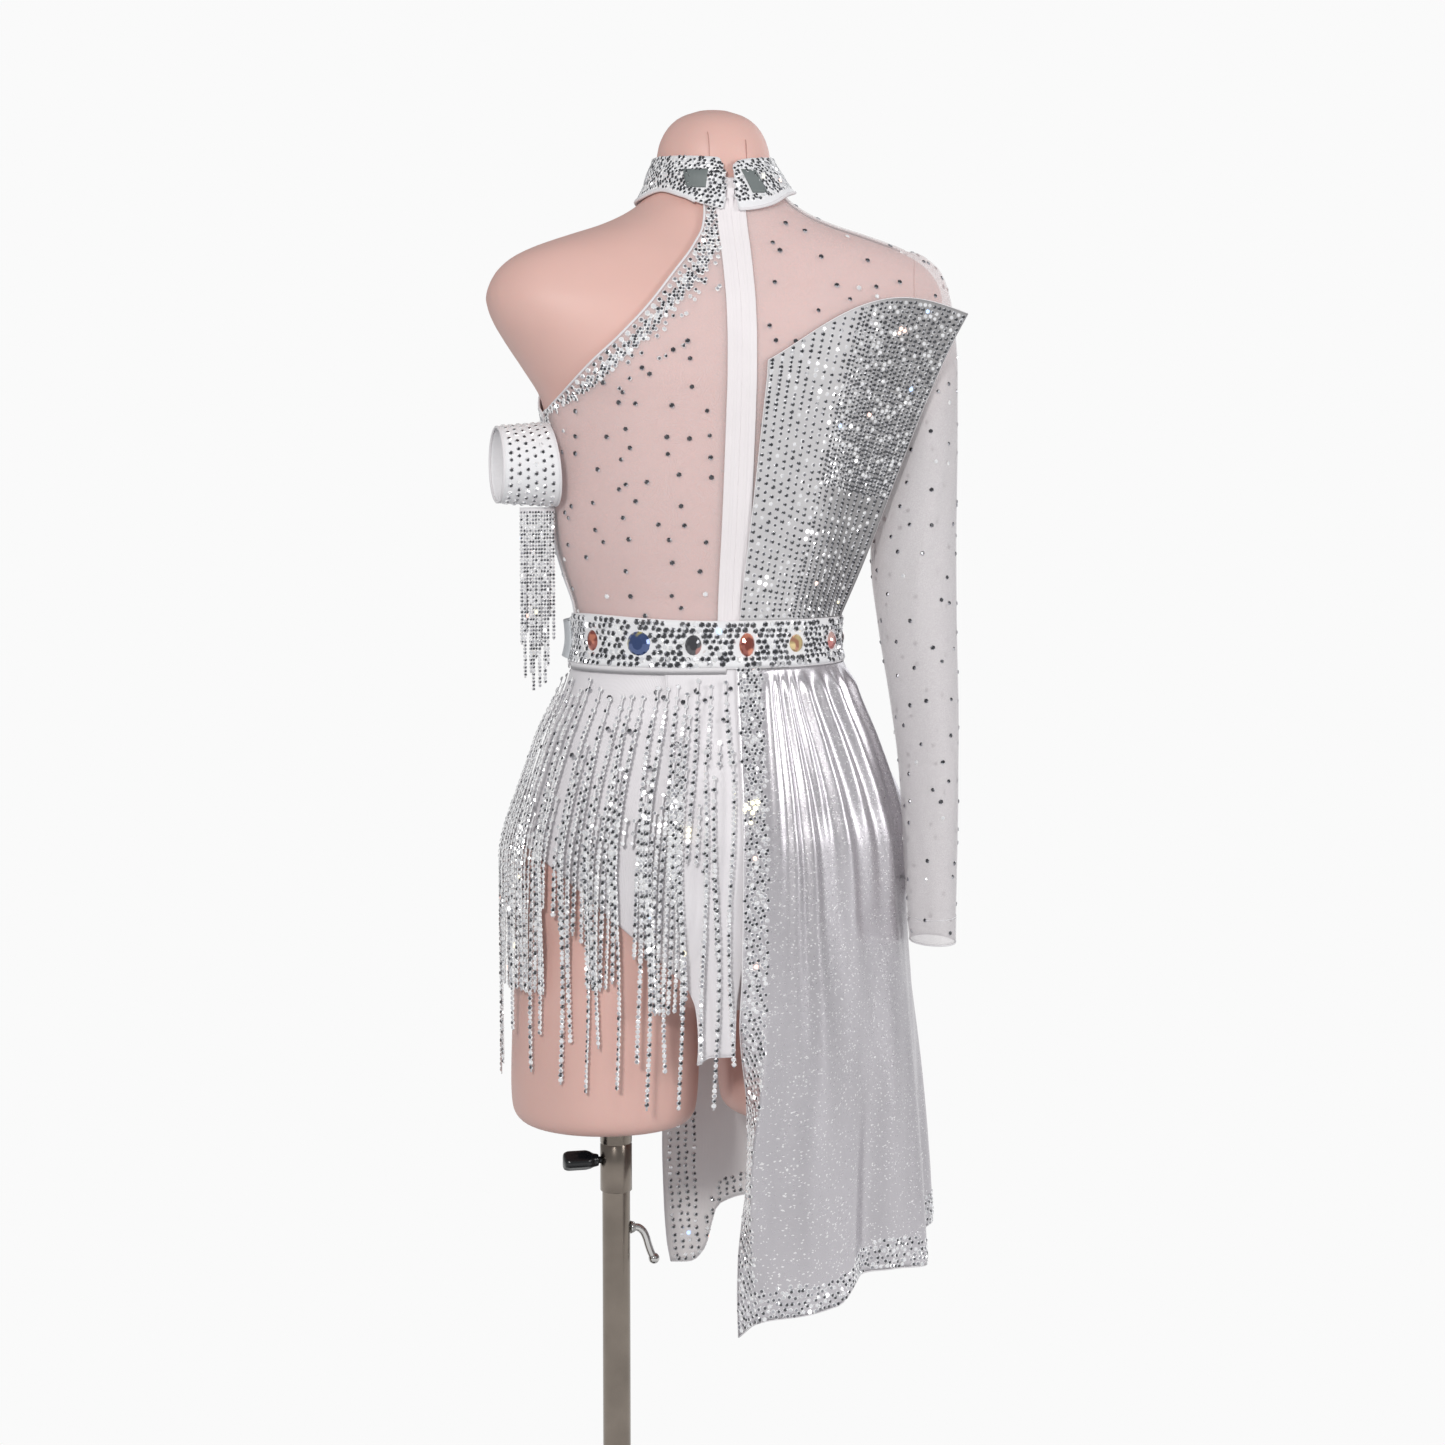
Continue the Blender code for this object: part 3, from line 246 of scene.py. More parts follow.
def lengths(points: Sequence[Vector]) -> list[float]:
    """The running length along points, from 0."""
    return [0.0, *accumulate((b - a).length for a, b in zip(points, points[1:]))]


class FormSurface:
    """The skin of the limbless form, as rounded sections from the crotch to the neck cap."""

    sections = SmoothTable(("z", "half_width", "back", "front", "square"), (
        (0.722, 0.1, 0.03, -0.07, 2.0), (0.73, 0.13, 0.055, -0.09, 2.1), (0.745, 0.15, 0.07, -0.104, 2.2),
        (0.78, 0.1635, 0.082, -0.116, 2.25), (0.82, 0.167, 0.087, -0.122, 2.25),
        (0.86, 0.1645, 0.087, -0.123, 2.2), (0.9, 0.1555, 0.083, -0.121, 2.2),
        (0.95, 0.139, 0.073, -0.114, 2.15), (1.0, 0.119, 0.063, -0.105, 2.1),
        (1.037, 0.1105, 0.059, -0.1, 2.1), (1.064, 0.1135, 0.0605, -0.1, 2.1),
        (1.095, 0.1235, 0.065, -0.101, 2.15), (1.12, 0.1305, 0.07, -0.101, 2.2),
        (1.15, 0.1345, 0.0755, -0.1002, 2.25), (1.2, 0.14, 0.083, -0.097, 2.3),
        (1.238, 0.146, 0.0882, -0.089, 2.35), (1.265, 0.163, 0.091, -0.08, 2.4),
        (1.29, 0.181, 0.091, -0.071, 2.45), (1.31, 0.193, 0.089, -0.064, 2.5),
        (1.325, 0.1975, 0.086, -0.058, 2.5), (1.342, 0.192, 0.08, -0.051, 2.5),
        (1.357, 0.178, 0.074, -0.046, 2.45), (1.366, 0.161, 0.07, -0.044, 2.4),
        (1.377, 0.13, 0.064, -0.043, 2.3), (1.386, 0.101, 0.06, -0.043, 2.2),
        (1.396, 0.078, 0.056, -0.044, 2.1), (1.408, 0.061, 0.053, -0.045, 2.0),
        (1.422, 0.0525, 0.0505, -0.0455, 2.0), (1.438, 0.0488, 0.048, -0.0455, 2.0),
        (1.451, 0.0472, 0.0465, -0.044, 2.0), (1.463, 0.0427, 0.042, -0.0398, 2.0),
        (1.473, 0.0352, 0.0346, -0.0328, 2.0), (1.48, 0.0248, 0.0243, -0.0232, 2.0),
        (1.484, 0.0105, 0.0104, -0.01, 2.0),
    ))
    bust_x, bust_z, bust_spread, bust_depth = 0.07, 1.205, 0.047, 0.027

    def at(self, name: str, z: float) -> float:
        """One size of the section at that height."""
        return self.sections.read(name, z)

    def point(self, angle: float, z: float) -> Vector:
        """A point of the skin.

        Args:
            angle: Where on the section, from the wearer's left towards the back.
            z: Its height.

        Returns:
            The point, from the form's plane of symmetry.
        """
        back, front = self.at("back", z), self.at("front", z)
        x, y = rounded(angle, self.at("half_width", z), (back - front) / 2, self.at("square", z))
        swell = bell(abs(x) - self.bust_x, self.bust_spread) * bell(z - self.bust_z, self.bust_spread)
        y += (back + front) / 2 - self.bust_depth * swell * max(0.0, -sin(angle))
        return Vector((x, y, z))

    def normal(self, angle: float, z: float) -> Vector:
        """The direction straight out of the skin at a point of it.

        Args:
            angle: Where on the section.
            z: The height.

        Returns:
            The direction.
        """
        step, rise = 0.02, 0.002
        round_it = self.point(angle + step, z) - self.point(angle - step, z)
        up_it = self.point(angle, z + rise) - self.point(angle, z - rise)
        return round_it.cross(up_it).normalized()

    def off(self, angle: float, z: float, out: float) -> Vector:
        """A point at that distance off the skin, measured square to it."""
        return self.point(angle, z) + self.normal(angle, z) * out

    def angle_at(self, x: float, z: float) -> float:
        """The angle on the back half of the section where it is that far to the side."""
        share = min(1.0, abs(x) / self.at("half_width", z)) ** (self.at("square", z) / 2)
        return math.acos(math.copysign(share, x))

    def back_at(self, x: float, z: float) -> float:
        """How far back the skin reaches beside that point of its section."""
        return self.point(self.angle_at(x, z), z).y


FORM = FormSurface()


def object_of(name: str, bm: bmesh.types.BMesh, smooth: bool = True) -> Object:
    """Makes an object in the scene from a bmesh, and frees the bmesh.

    Args:
        name: The piece's name.
        bm: Its shape, in the row frame.
        smooth: Whether it is shaded smooth.

    Returns:
        The object.
    """
    mesh = bpy.data.meshes.new(name)
    bm.to_mesh(mesh)
    bm.free()
    if smooth:
        mesh.shade_smooth()
    obj = bpy.data.objects.new(name, mesh)
    bpy.context.scene.collection.objects.link(obj)
    return obj


def applied(obj: Object) -> Object:
    """Puts the result of an object's modifiers into its own mesh.

    Args:
        obj: The object.

    Returns:
        The same object.
    """
    bpy.context.view_layer.update()
    graph = bpy.context.evaluated_depsgraph_get()
    mesh = bpy.data.meshes.new_from_object(obj.evaluated_get(graph))
    obj.modifiers.clear()
    old, obj.data = obj.data, mesh
    bpy.data.meshes.remove(old)
    return obj


def removed(obj: Object) -> None:
    """Takes a helper object out of the scene."""
    bpy.data.objects.remove(obj)


def hand_over(piece: Object, material: Material, slot: Slot, nodes: Sequence[str] = (),
              body: Body = Body.FIGURE) -> Object:
    """Dresses a finished piece and hands it to the body that carries it.

    Args:
        piece: The piece, in its place.
        material: Its finish.
        slot: The record's slot for that finish; not used.
        nodes: The solids that it stands for.
        body: The body that it moves with.

    Returns:
        The piece.
    """
    piece.data.materials.clear()
    piece.data.materials.append(material)
    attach(piece, body.value)
    if nodes:
        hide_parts(*nodes)
    LOG.info("%s: %d faces", piece.name, len(piece.data.polygons))
    return piece


@dataclass(frozen=True)
class Cut:
    """The flat shape that a piece of cloth was cut to."""

    width: float
    length: float
    held: Held
    area: float

    def declare(self, piece: Object, on: Sequence[str], pieces: Sequence[Object]) -> None:
        """Takes a piece of this cut, what it rests on or hangs from, and what it carries, and does nothing
        with them.
        """


@dataclass(frozen=True)
class Crease:
    """A soft ridge on a patch, or a trough where its height is negative."""

    across: float
    up: float
    lean: float
    width: float
    reach: float
    height: float

    def lift(self, across: float, up: float) -> float:
        """How far it lifts the cloth there.

        Args:
            across: The share across.
            up: The share up.

        Returns:
            The lift, in metres.
        """
        along = up - self.up
        aside = across - self.across - self.lean * along
        return self.height * bell(aside, self.width) * bell(along, self.reach)


@dataclass
class Patch:
    """Cloth as a surface: place gives its inner face, from 0 to 1 across and from 0 to 1 up."""

    place: Place
    columns: int
    rows: int
    wall: float = CLOTH

    def inner(self, across: float, up: float) -> Vector:
        """A point of the inner face, in the row frame."""
        return self.place(across, up) + FORM_SHIFT

    def spot(self, across: float, up: float, lift: float = 0.0) -> tuple[Vector, Vector]:
        """A point on the outer face.

        Args:
            across: Its share across.
            up: Its share up.
            lift: How far above the face.

        Returns:
            The point and the direction straight out of the cloth.
        """
        step = 0.004
        a, u = min(max(across, step), 1 - step), min(max(up, step), 1 - step)
        round_it = self.place(a + step, u) - self.place(a - step, u)
        up_it = self.place(a, u + step) - self.place(a, u - step)
        facing = round_it.cross(up_it).normalized()
        return self.inner(across, up) + facing * (self.wall + lift), facing

    def line(self, start: Pair, end: Pair, count: int, lift: float = 0.0) -> list[Vector]:
        """Points on the outer face from one place to another, in that many steps."""
        shares = [i / count for i in range(count + 1)]
        return [self.spot(*(between(a, b, s) for a, b in zip(start, end)), lift)[0] for s in shares]

    def size(self) -> Pair:
        """The cloth's mean width and length, along its middle lines."""
        middles = (0.0, 0.5), (1.0, 0.5), (0.5, 0.0), (0.5, 1.0)
        return tuple(lengths(self.line(*ends, 40))[-1] for ends in (middles[:2], middles[2:]))

    def object(self, name: str) -> Object:
        """Makes the cloth as a thin shell, with a UV map in metres.

        Args:
            name: The piece's name.

        Returns:
            The piece.
        """
        bm = bmesh.new()
        uv = bm.loops.layers.uv.new("Cloth")
        bmesh.ops.create_grid(bm, x_segments=self.columns, y_segments=self.rows, size=0.5, calc_uvs=True)
        width, length = self.size()
        for loop in (loop for face in bm.faces for loop in face.loops):
            loop[uv].uv = (loop[uv].uv[0] * width, loop[uv].uv[1] * length)
        for vertex in bm.verts:
            vertex.co = self.inner(vertex.co.x + 0.5, vertex.co.y + 0.5)
        bmesh.ops.remove_doubles(bm, verts=bm.verts, dist=MERGE)
        return walled(object_of(name, bm), self.wall)


def walled(cloth: Object, wall: float) -> Object:
    """Gives cloth its thickness, outwards.

    Args:
        cloth: The cloth.
        wall: Its thickness.

    Returns:
        The same cloth.
    """
    shell = cloth.modifiers.new("Wall", "SOLIDIFY")
    shell.thickness, shell.offset = wall, 1.0
    return cloth


def closed_skin(name: str, columns: int, rows: int, place: Place) -> Object:
    """A closed shape through rings, filled flat at both ends.

    Args:
        name: Its name.
        columns: How many steps round.
        rows: How many steps from end to end.
        place: Gives a point from the shares round and along.

    Returns:
        The shape.
    """
    bm = bmesh.new()
    bmesh.ops.create_grid(bm, x_segments=columns, y_segments=rows, size=0.5)
    for vertex in bm.verts:
        vertex.co = place(vertex.co.x + 0.5, vertex.co.y + 0.5)
    bmesh.ops.remove_doubles(bm, verts=bm.verts, dist=MERGE)
    bmesh.ops.holes_fill(bm, edges=[e for e in bm.edges if e.is_boundary], sides=0)
    bmesh.ops.recalc_face_normals(bm, faces=bm.faces)
    return object_of(name, bm)


def tube(name: str, points: Sequence[Vector], radius: float, closed: bool = False,
         resolution: int = 1) -> Object:
    """A thin round piping, thread or rod.

    Args:
        name: Its name.
        points: Its route, in the row frame.
        radius: Its radius.
        closed: Whether its end joins its start.
        resolution: How round its section is.

    Returns:
        The tube as a mesh.
    """
    curve = bpy.data.curves.new(name, "CURVE")
    curve.dimensions = "3D"
    curve.bevel_depth, curve.bevel_resolution = radius, resolution
    curve.use_fill_caps = not closed
    line = curve.splines.new("POLY")
    line.points.add(len(points) - 1)
    for place, point in zip(line.points, points):
        place.co = (*point, 1.0)
    line.use_cyclic_u = closed
    rod = bpy.data.objects.new(name, curve)
    bpy.context.scene.collection.objects.link(rod)
    bpy.context.view_layer.update()
    mesh = bpy.data.meshes.new_from_object(rod.evaluated_get(bpy.context.evaluated_depsgraph_get()))
    removed(rod)
    bm = bmesh.new()
    bm.from_mesh(mesh)
    bmesh.ops.remove_doubles(bm, verts=bm.verts, dist=MERGE)
    bmesh.ops.recalc_face_normals(bm, faces=bm.faces)
    bpy.data.meshes.remove(mesh)
    return object_of(name, bm)


def joined(name: str, pieces: Sequence[Object]) -> Object:
    """Puts several meshes into one object.

    Args:
        name: The new piece's name.
        pieces: The objects, which are removed.

    Returns:
        The one object.
    """
    bm = bmesh.new()
    for piece in pieces:
        bm.from_mesh(piece.data)
        removed(piece)
    return object_of(name, bm)


def turned(name: str, profile: Sequence[Pair], sides: int = 64) -> Object:
    """A shape turned about the pole's axis.

    Args:
        name: Its name.
        profile: Pairs of radius and height, in order.
        sides: How many steps make the full turn.

    Returns:
        The shape, sharp where its profile is.
    """
    bm = bmesh.new()
    verts = [bm.verts.new((radius, 0.0, z)) for radius, z in profile]
    edges = [bm.edges.new(pair) for pair in zip(verts, verts[1:])]
    bmesh.ops.spin(bm, geom=verts + edges, cent=(0, 0, 0), axis=(0, 0, 1), angle=2 * pi,
                   steps=sides, use_merge=True, use_duplicate=False)
    bmesh.ops.remove_doubles(bm, verts=bm.verts, dist=MERGE)
    bmesh.ops.recalc_face_normals(bm, faces=bm.faces)
    obj = object_of(name, bm)
    obj.data.set_sharp_from_angle(angle=radians(40))
    return obj


def softened(bm: bmesh.types.BMesh) -> None:
    """Rounds every edge of a shape a little."""
    bmesh.ops.bevel(bm, geom=bm.edges[:], offset=0.0005, segments=2, profile=0.5, affect="EDGES", material=-1)


def flashing(*spots: Triple) -> tuple[Triple, ...]:
    """The places beside and above where stones glow a colour as a painted glint, brought to the row frame."""
    return tuple((x + FORM_SHIFT.x, z, colour) for x, z, colour in spots)


def scaled(colour: Colour, share: float) -> Colour:
    """A colour made lighter or darker."""
    return tuple(min(1.0, value * share) for value in colour)


class Shades:
    """A new material, its Principled shader, and short ways to add the nodes that feed it."""

    def __init__(self, name: str, **sockets: object) -> None:
        """Makes the material.

        Args:
            name: Its name.
            **sockets: Values for the shader's own sockets, with underscores for spaces.
        """
        self.material = bpy.data.materials.new(name)
        self.material.use_nodes = True
        self.tree = self.material.node_tree
        self.shader = self.tree.nodes["Principled BSDF"]
        for socket, value in sockets.items():
            value = (*value, 1.0) if isinstance(value, tuple) else value
            self.shader.inputs[socket.replace("_", " ")].default_value = value

    def node(self, kind: str, links: dict[str, object] | None = None, **settings: object) -> Node:
        """Adds a node.

        Args:
            kind: Its type.
            links: For each input, the socket that feeds it or its value.
            **settings: Its own settings.

        Returns:
            The node.
        """
        made = self.tree.nodes.new(kind)
        for key, value in settings.items():
            setattr(made, key, value)
        for key, value in (links or {}).items():
            socket = made.inputs[int(key)] if key.isdigit() else made.inputs[key]
            if isinstance(value, NodeSocket):
                self.tree.links.new(value, socket)
            else:
                socket.default_value = value
        return made

    def place(self, on_cloth: bool, scale: Triple = (1.0, 1.0, 1.0)) -> NodeSocket:
        """Coordinates in metres, on the cloth's own UV map or in the row frame, stretched by scale."""
        source = self.node("ShaderNodeTexCoord").outputs["UV" if on_cloth else "Object"]
        return self.node("ShaderNodeMapping", {"Vector": source, "Scale": scale}).outputs[0]

    def noise(self, place: NodeSocket, scale: float, detail: float = 3.0) -> NodeSocket:
        """Soft noise of that many patches to a metre."""
        links = {"Vector": place, "Scale": scale, "Detail": detail}
        return self.node("ShaderNodeTexNoise", links).outputs["Fac"]

    def maths(self, operation: str, a: object, b: object = 0.0, c: object = 0.0) -> NodeSocket:
        """The result of one sum on two or three sockets or numbers."""
        return self.node("ShaderNodeMath", {"0": a, "1": b, "2": c}, operation=operation).outputs[0]

    def along(self, axis: str, low: float, high: float) -> NodeSocket:
        """Rises smoothly from 0 to 1 between two places along the cloth's own X or Y, in metres.

        Args:
            axis: X or Y.
            low: Where it starts to rise.
            high: Where it is 1.

        Returns:
            The share.
        """
        parts = self.node("ShaderNodeSeparateXYZ", {"Vector": self.place(True)})
        reach = {"Value": parts.outputs[axis], "From Min": low, "From Max": high}
        return self.node("ShaderNodeMapRange", reach, interpolation_type="SMOOTHSTEP").outputs["Result"]

    def attribute(self, name: str) -> NodeSocket:
        """A number that the mesh carries under that name."""
        return self.node("ShaderNodeAttribute", attribute_name=name).outputs["Fac"]

    def ramp(self, source: NodeSocket, stops: Stops, steps: bool = False) -> NodeSocket:
        """Turns a number into a colour.

        Args:
            source: The number, from 0 to 1.
            stops: Pairs of place and colour.
            steps: Whether the colours change in steps.

        Returns:
            The colour.
        """
        made = self.node("ShaderNodeValToRGB", {"Fac": source})
        made.color_ramp.interpolation = "CONSTANT" if steps else "LINEAR"
        ramp = made.color_ramp.elements
        for order, (at, colour) in enumerate(stops):
            stop = ramp[order] if order < 2 else ramp.new(at)
            stop.position, stop.color = at, (*colour, 1.0)
        return made.outputs["Color"]

    def mottle(self, by: NodeSocket, colour: Colour, dark: float, light: float,
               end: float = 0.7) -> NodeSocket:
        """A colour that runs from a darker to a lighter share of itself, by a pattern."""
        return self.ramp(by, ((0.3, scaled(colour, dark)), (end, scaled(colour, light))))

    def mix(self, share: NodeSocket, first: object, second: object) -> NodeSocket:
        """A colour between two, by a share."""
        links = {"Factor": share, "6": first, "7": second}
        return self.node("ShaderNodeMix", links, data_type="RGBA").outputs[2]

    def feed(self, socket: str, source: NodeSocket) -> None:
        """Links a source to one of the shader's sockets."""
        self.tree.links.new(source, self.shader.inputs[socket])

    def glow(self, strength: float) -> NodeSocket:
        """A shader that is plain white and unshaded."""
        links = {"Color": (1.0, 1.0, 1.0, 1.0), "Strength": strength}
        return self.node("ShaderNodeEmission", links).outputs[0]

    def finish(self, surface: NodeSocket) -> None:
        """Makes another shader the material's surface."""
        self.tree.links.new(surface, self.tree.nodes["Material Output"].inputs["Surface"])

    def bump(self, height: NodeSocket, strength: float, distance: float) -> None:
        """Gives the surface relief from a height."""
        links = {"Height": height, "Strength": strength, "Distance": distance}
        self.feed("Normal", self.node("ShaderNodeBump", links).outputs[0])


@dataclass(frozen=True)
class FormSkin:
    """Satin pink plastic, with a faint mottle and the slight peel of a moulded skin."""

    colour: Colour = (0.77, 0.486, 0.43)
    roughness: float = 0.5

    def make(self) -> Material:
        """Makes the material.

        Returns:
            The material.
        """
        look = Shades("form_skin", Roughness=self.roughness, Subsurface_Weight=0.06, Subsurface_Scale=0.006)
        place = look.place(False)
        look.feed("Base Color", look.mottle(look.noise(place, 9.0, 4.0), self.colour, 0.955, 1.03))
        look.bump(look.noise(place, 900.0, 2.0), 0.1, 0.0004)
        return look.material


@dataclass(frozen=True)
class FormSkinShade:
    """The form's plastic in the shade of a slit."""

    colour: Colour = (0.52, 0.28, 0.24)

    def make(self) -> Material:
        """Makes the material.

        Returns:
            The material.
        """
        look = Shades("form_skin_slit_shade", Roughness=0.7)
        worn = look.noise(look.place(False), 200.0)
        look.feed("Base Color", look.mottle(worn, self.colour, 0.9, 1.0))
        return look.material


@dataclass(frozen=True)
class SheerMesh:
    """Sheer white stretch net, whose fine cells let the skin show."""

    name: str = "sheer_mesh"
    colour: Colour = (0.93, 0.855, 0.862)
    cover: float = 0.25
    cell: float = 0.0011
    thin_from: float = 9.0
    thin_cover: float = 0.27
    thin_colour: Colour = (0.93, 0.855, 0.862)

    def make(self) -> Material:
        """Makes the material.

        Returns:
            The material.
        """
        look = Shades(self.name, Roughness=0.75, Sheen_Weight=0.25, Sheen_Roughness=0.4,
                      Specular_IOR_Level=0.25)
        place = look.place(True)
        thin = look.along("Y", self.thin_from, self.thin_from + 0.09)
        look.feed("Base Color", look.ramp(thin, ((0.0, self.colour), (1.0, self.thin_colour))))
        links = {"Vector": place, "Scale": 1 / self.cell}
        net = look.node("ShaderNodeTexVoronoi", links, feature="DISTANCE_TO_EDGE").outputs["Distance"]
        thread = look.maths("LESS_THAN", net, 0.13)
        cover = look.maths("MULTIPLY_ADD", thin, (self.thin_cover - self.cover) * 0.75, self.cover * 0.75)
        loose = look.maths("MULTIPLY_ADD", look.noise(place, 60.0), 0.05, cover)
        look.feed("Alpha", look.maths("MULTIPLY_ADD", thread, 0.08, loose))
        look.bump(net, 0.12, 0.0002)
        return look.material


@dataclass(frozen=True)
class StretchCloth:
    """Matt white stretch cloth with a fine knit and soft colour changes."""

    name: str
    colour: Colour
    roughness: float = 0.6
    sheen: float = 0.35
    rib: float = 0.0011
    painted_shade_share: float = 1.0

    def make(self) -> Material:
        """Makes the material. Where the shade share is below 1, the cloth darkens to that share across its
        width: painted shade.

        Returns:
            The material.
        """
        look = Shades(self.name, Roughness=self.roughness, Sheen_Weight=self.sheen, Sheen_Roughness=0.4,
                      Specular_IOR_Level=0.35)
        place = look.place(True)
        cloth = look.mottle(look.noise(place, 22.0, 4.0), self.colour, 0.96, 1.0)
        # Painted shade: the cloth darkens across its width.
        if self.painted_shade_share < 1.0:
            dark = (*scaled(self.colour, self.painted_shade_share), 1.0)
            cloth = look.mix(look.along("X", 0.055, 0.095), cloth, dark)
        look.feed("Base Color", cloth)
        links = {"Vector": place, "Scale": 0.314 / self.rib, "Distortion": 1.5, "Detail": 1.0}
        ribs = look.node("ShaderNodeTexWave", links, wave_type="BANDS").outputs["Fac"]
        look.bump(look.maths("ADD", ribs, look.noise(place, 1400.0, 1.0)), 0.22, 0.0003)
        return look.material


@dataclass(frozen=True)
class PearlSatin:
    """Pearl satin with a sharp sheen along its folds and a dusting of fine glitter."""

    colour: Colour = (0.56, 0.54, 0.57)
    glitter: float = 0.0009

    def make(self) -> Material:
        """Makes the material.

        Returns:
            The material.
        """
        look = Shades("pearl_satin", Metallic=0.8, Sheen_Weight=0.1, Coat_Weight=0.15, Coat_Roughness=0.22)
        place = look.place(True)
        links = {"Vector": place, "Scale": 1 / self.glitter, "Randomness": 1.0}
        cells = look.node("ShaderNodeTexVoronoi", links).outputs["Color"]
        spark = look.node("ShaderNodeSeparateColor", {"Color": cells}).outputs[0]
        bright = look.maths("GREATER_THAN", spark, 0.955)
        # Lengthwise lighter and darker streaks in the base colour: painted sheen bands.
        wide = look.noise(look.place(True, (1.0, 0.25, 1.0)), 20.0, 5.0)
        base = look.mottle(wide, self.colour, 0.91, 1.11)
        look.feed("Base Color", look.mix(bright, base, (0.86, 0.85, 0.86, 1.0)))
        look.feed("Roughness", look.maths("MULTIPLY_ADD", spark, 0.12, 0.27))
        weave = look.maths("ADD", look.noise(place, 700.0, 2.0), look.maths("MULTIPLY", spark, 0.35))
        look.bump(weave, 0.3, 0.0003)
        return look.material


@dataclass(frozen=True)
class CrystalFacets:
    """Foiled clear crystal whose base colour paints what it reflects: its faces are painted bright or dark,
    and a few stones glow a colour as a painted glint.
    """

    roughness: float = 0.16

    def make(self) -> Material:
        """Makes the material.

        Returns:
            The material.
        """
        look = Shades("crystal_facets_painted_reflection", Roughness=self.roughness, Metallic=0.3, Coat_Weight=0.5,
                      Coat_Roughness=0.05, Specular_IOR_Level=0.8)
        facet_reflection, tone_and_reflection, glint = (look.attribute(name) for name in ("facet_reflection", "tone_and_reflection", "glint"))
        # Painted reflection: each face's set brightness, swung by the stone's tone, picks a dark or bright
        # silver for the base colour.
        swing = look.maths("MULTIPLY", look.maths("SUBTRACT", 1.25, facet_reflection), look.maths("SUBTRACT", tone_and_reflection, 0.5))
        shade = look.maths("MULTIPLY_ADD", swing, 0.95, facet_reflection)
        white = (1.0, 1.0, 1.0)
        silver = look.ramp(shade, ((0.0, (0.03, 0.032, 0.038)), (0.28, (0.1, 0.1, 0.115)),
                                   (0.5, (0.36, 0.36, 0.4)), (0.72, (0.86, 0.87, 0.9)), (1.0, white)))
        flash = look.ramp(glint, ((0.0, white), (0.25, (1.0, 0.66, 0.56)), (0.45, (1.0, 0.93, 0.62)),
                                  (0.65, (0.45, 0.62, 1.0)), (0.85, white)), steps=True)
        # Painted glint: a stone with a glint takes a flash colour and glows it.
        lit = look.maths("GREATER_THAN", glint, 0.05)
        look.feed("Base Color", look.mix(lit, silver, flash))
        look.feed("Emission Color", flash)
        look.feed("Emission Strength", look.maths("MULTIPLY", lit, 1.1))
        return look.material


@dataclass(frozen=True)
class LargeCrystal:
    """A large oval crystal whose colour turns across its face: the second colour, in patches, is painted
    reflection and glint.
    """

    name: str
    main: Colour
    second: Colour
    turn: float = 0.5

    def make(self) -> Material:
        """Makes the material.

        Returns:
            The material.
        """
        look = Shades(self.name, Roughness=0.06, Metallic=0.55, Coat_Weight=1.0, Coat_Roughness=0.02,
                      Specular_IOR_Level=0.9)
        place = look.place(False)
        # The second colour, in noise patches, is painted reflection and glint.
        stops = ((self.turn - 0.04, self.main), (self.turn + 0.04, self.second))
        look.feed("Base Color", look.ramp(look.noise(place, 95.0, 1.0), stops))
        return look.material


@dataclass(frozen=True)
class Metal:
    """Polished or drawn metal, with fine marks along the tube."""

    name: str
    colour: Colour
    roughness: float
    drawn: float = 0.25

    def make(self) -> Material:
        """Makes the material.

        Returns:
            The material.
        """
        look = Shades(self.name, Metallic=1.0)
        marks = look.noise(look.place(False, (1.0, 1.0, 0.03)), 1500.0, 3.0)
        stain = look.noise(look.place(False), 30.0, 4.0)
        look.feed("Base Color", look.mottle(stain, self.colour, 0.82, 1.1, 0.75))
        look.feed("Roughness", look.maths("MULTIPLY_ADD", stain, 0.12, self.roughness - 0.05))
        look.bump(marks, self.drawn * 0.4, 0.0002)
        return look.material


@dataclass(frozen=True)
class BlackPlastic:
    """Black plastic or powder coat, with a fine grain and slightly worn gloss."""

    name: str
    colour: Colour
    roughness: float
    grain: float

    def make(self) -> Material:
        """Makes the material.

        Returns:
            The material.
        """
        look = Shades(self.name, Base_Color=self.colour)
        place = look.place(False)
        worn = look.noise(place, 40.0, 4.0)
        look.feed("Roughness", look.maths("MULTIPLY_ADD", worn, 0.16, self.roughness - 0.08))
        look.bump(look.noise(place, 1600.0, 2.0), self.grain, 0.0004)
        return look.material


@dataclass(frozen=True)
class PaleFloor:
    """A plain pale floor that runs into the backdrop's own white away from the stand."""

    colour: Colour = (0.8, 0.8, 0.8)
    white: float = 0.956
    near: float = 0.45
    far: float = 0.95

    def make(self) -> Material:
        """Makes the material.

        Returns:
            The material.
        """
        look = Shades("pale_floor", Base_Color=self.colour, Roughness=0.8)
        place = look.node("ShaderNodeTexCoord").outputs["Object"]
        away = look.node("ShaderNodeVectorMath", {"0": place}, operation="LENGTH").outputs["Value"]
        reach = {"Value": away, "From Min": self.near, "From Max": self.far}
        share = look.node("ShaderNodeMapRange", reach, interpolation_type="SMOOTHSTEP").outputs["Result"]
        links = {"Fac": share, "1": look.shader.outputs[0], "2": look.glow(self.white)}
        look.finish(look.node("ShaderNodeMixShader", links).outputs[0])
        return look.material


@dataclass(frozen=True)
class WhiteBackdrop:
    """A far backdrop that is plain white from any side and lights nothing."""

    white: float = 0.956

    def make(self) -> Material:
        """Makes the material.

        Returns:
            The material.
        """
        look = Shades("white_backdrop")
        look.finish(look.glow(self.white))
        return look.material


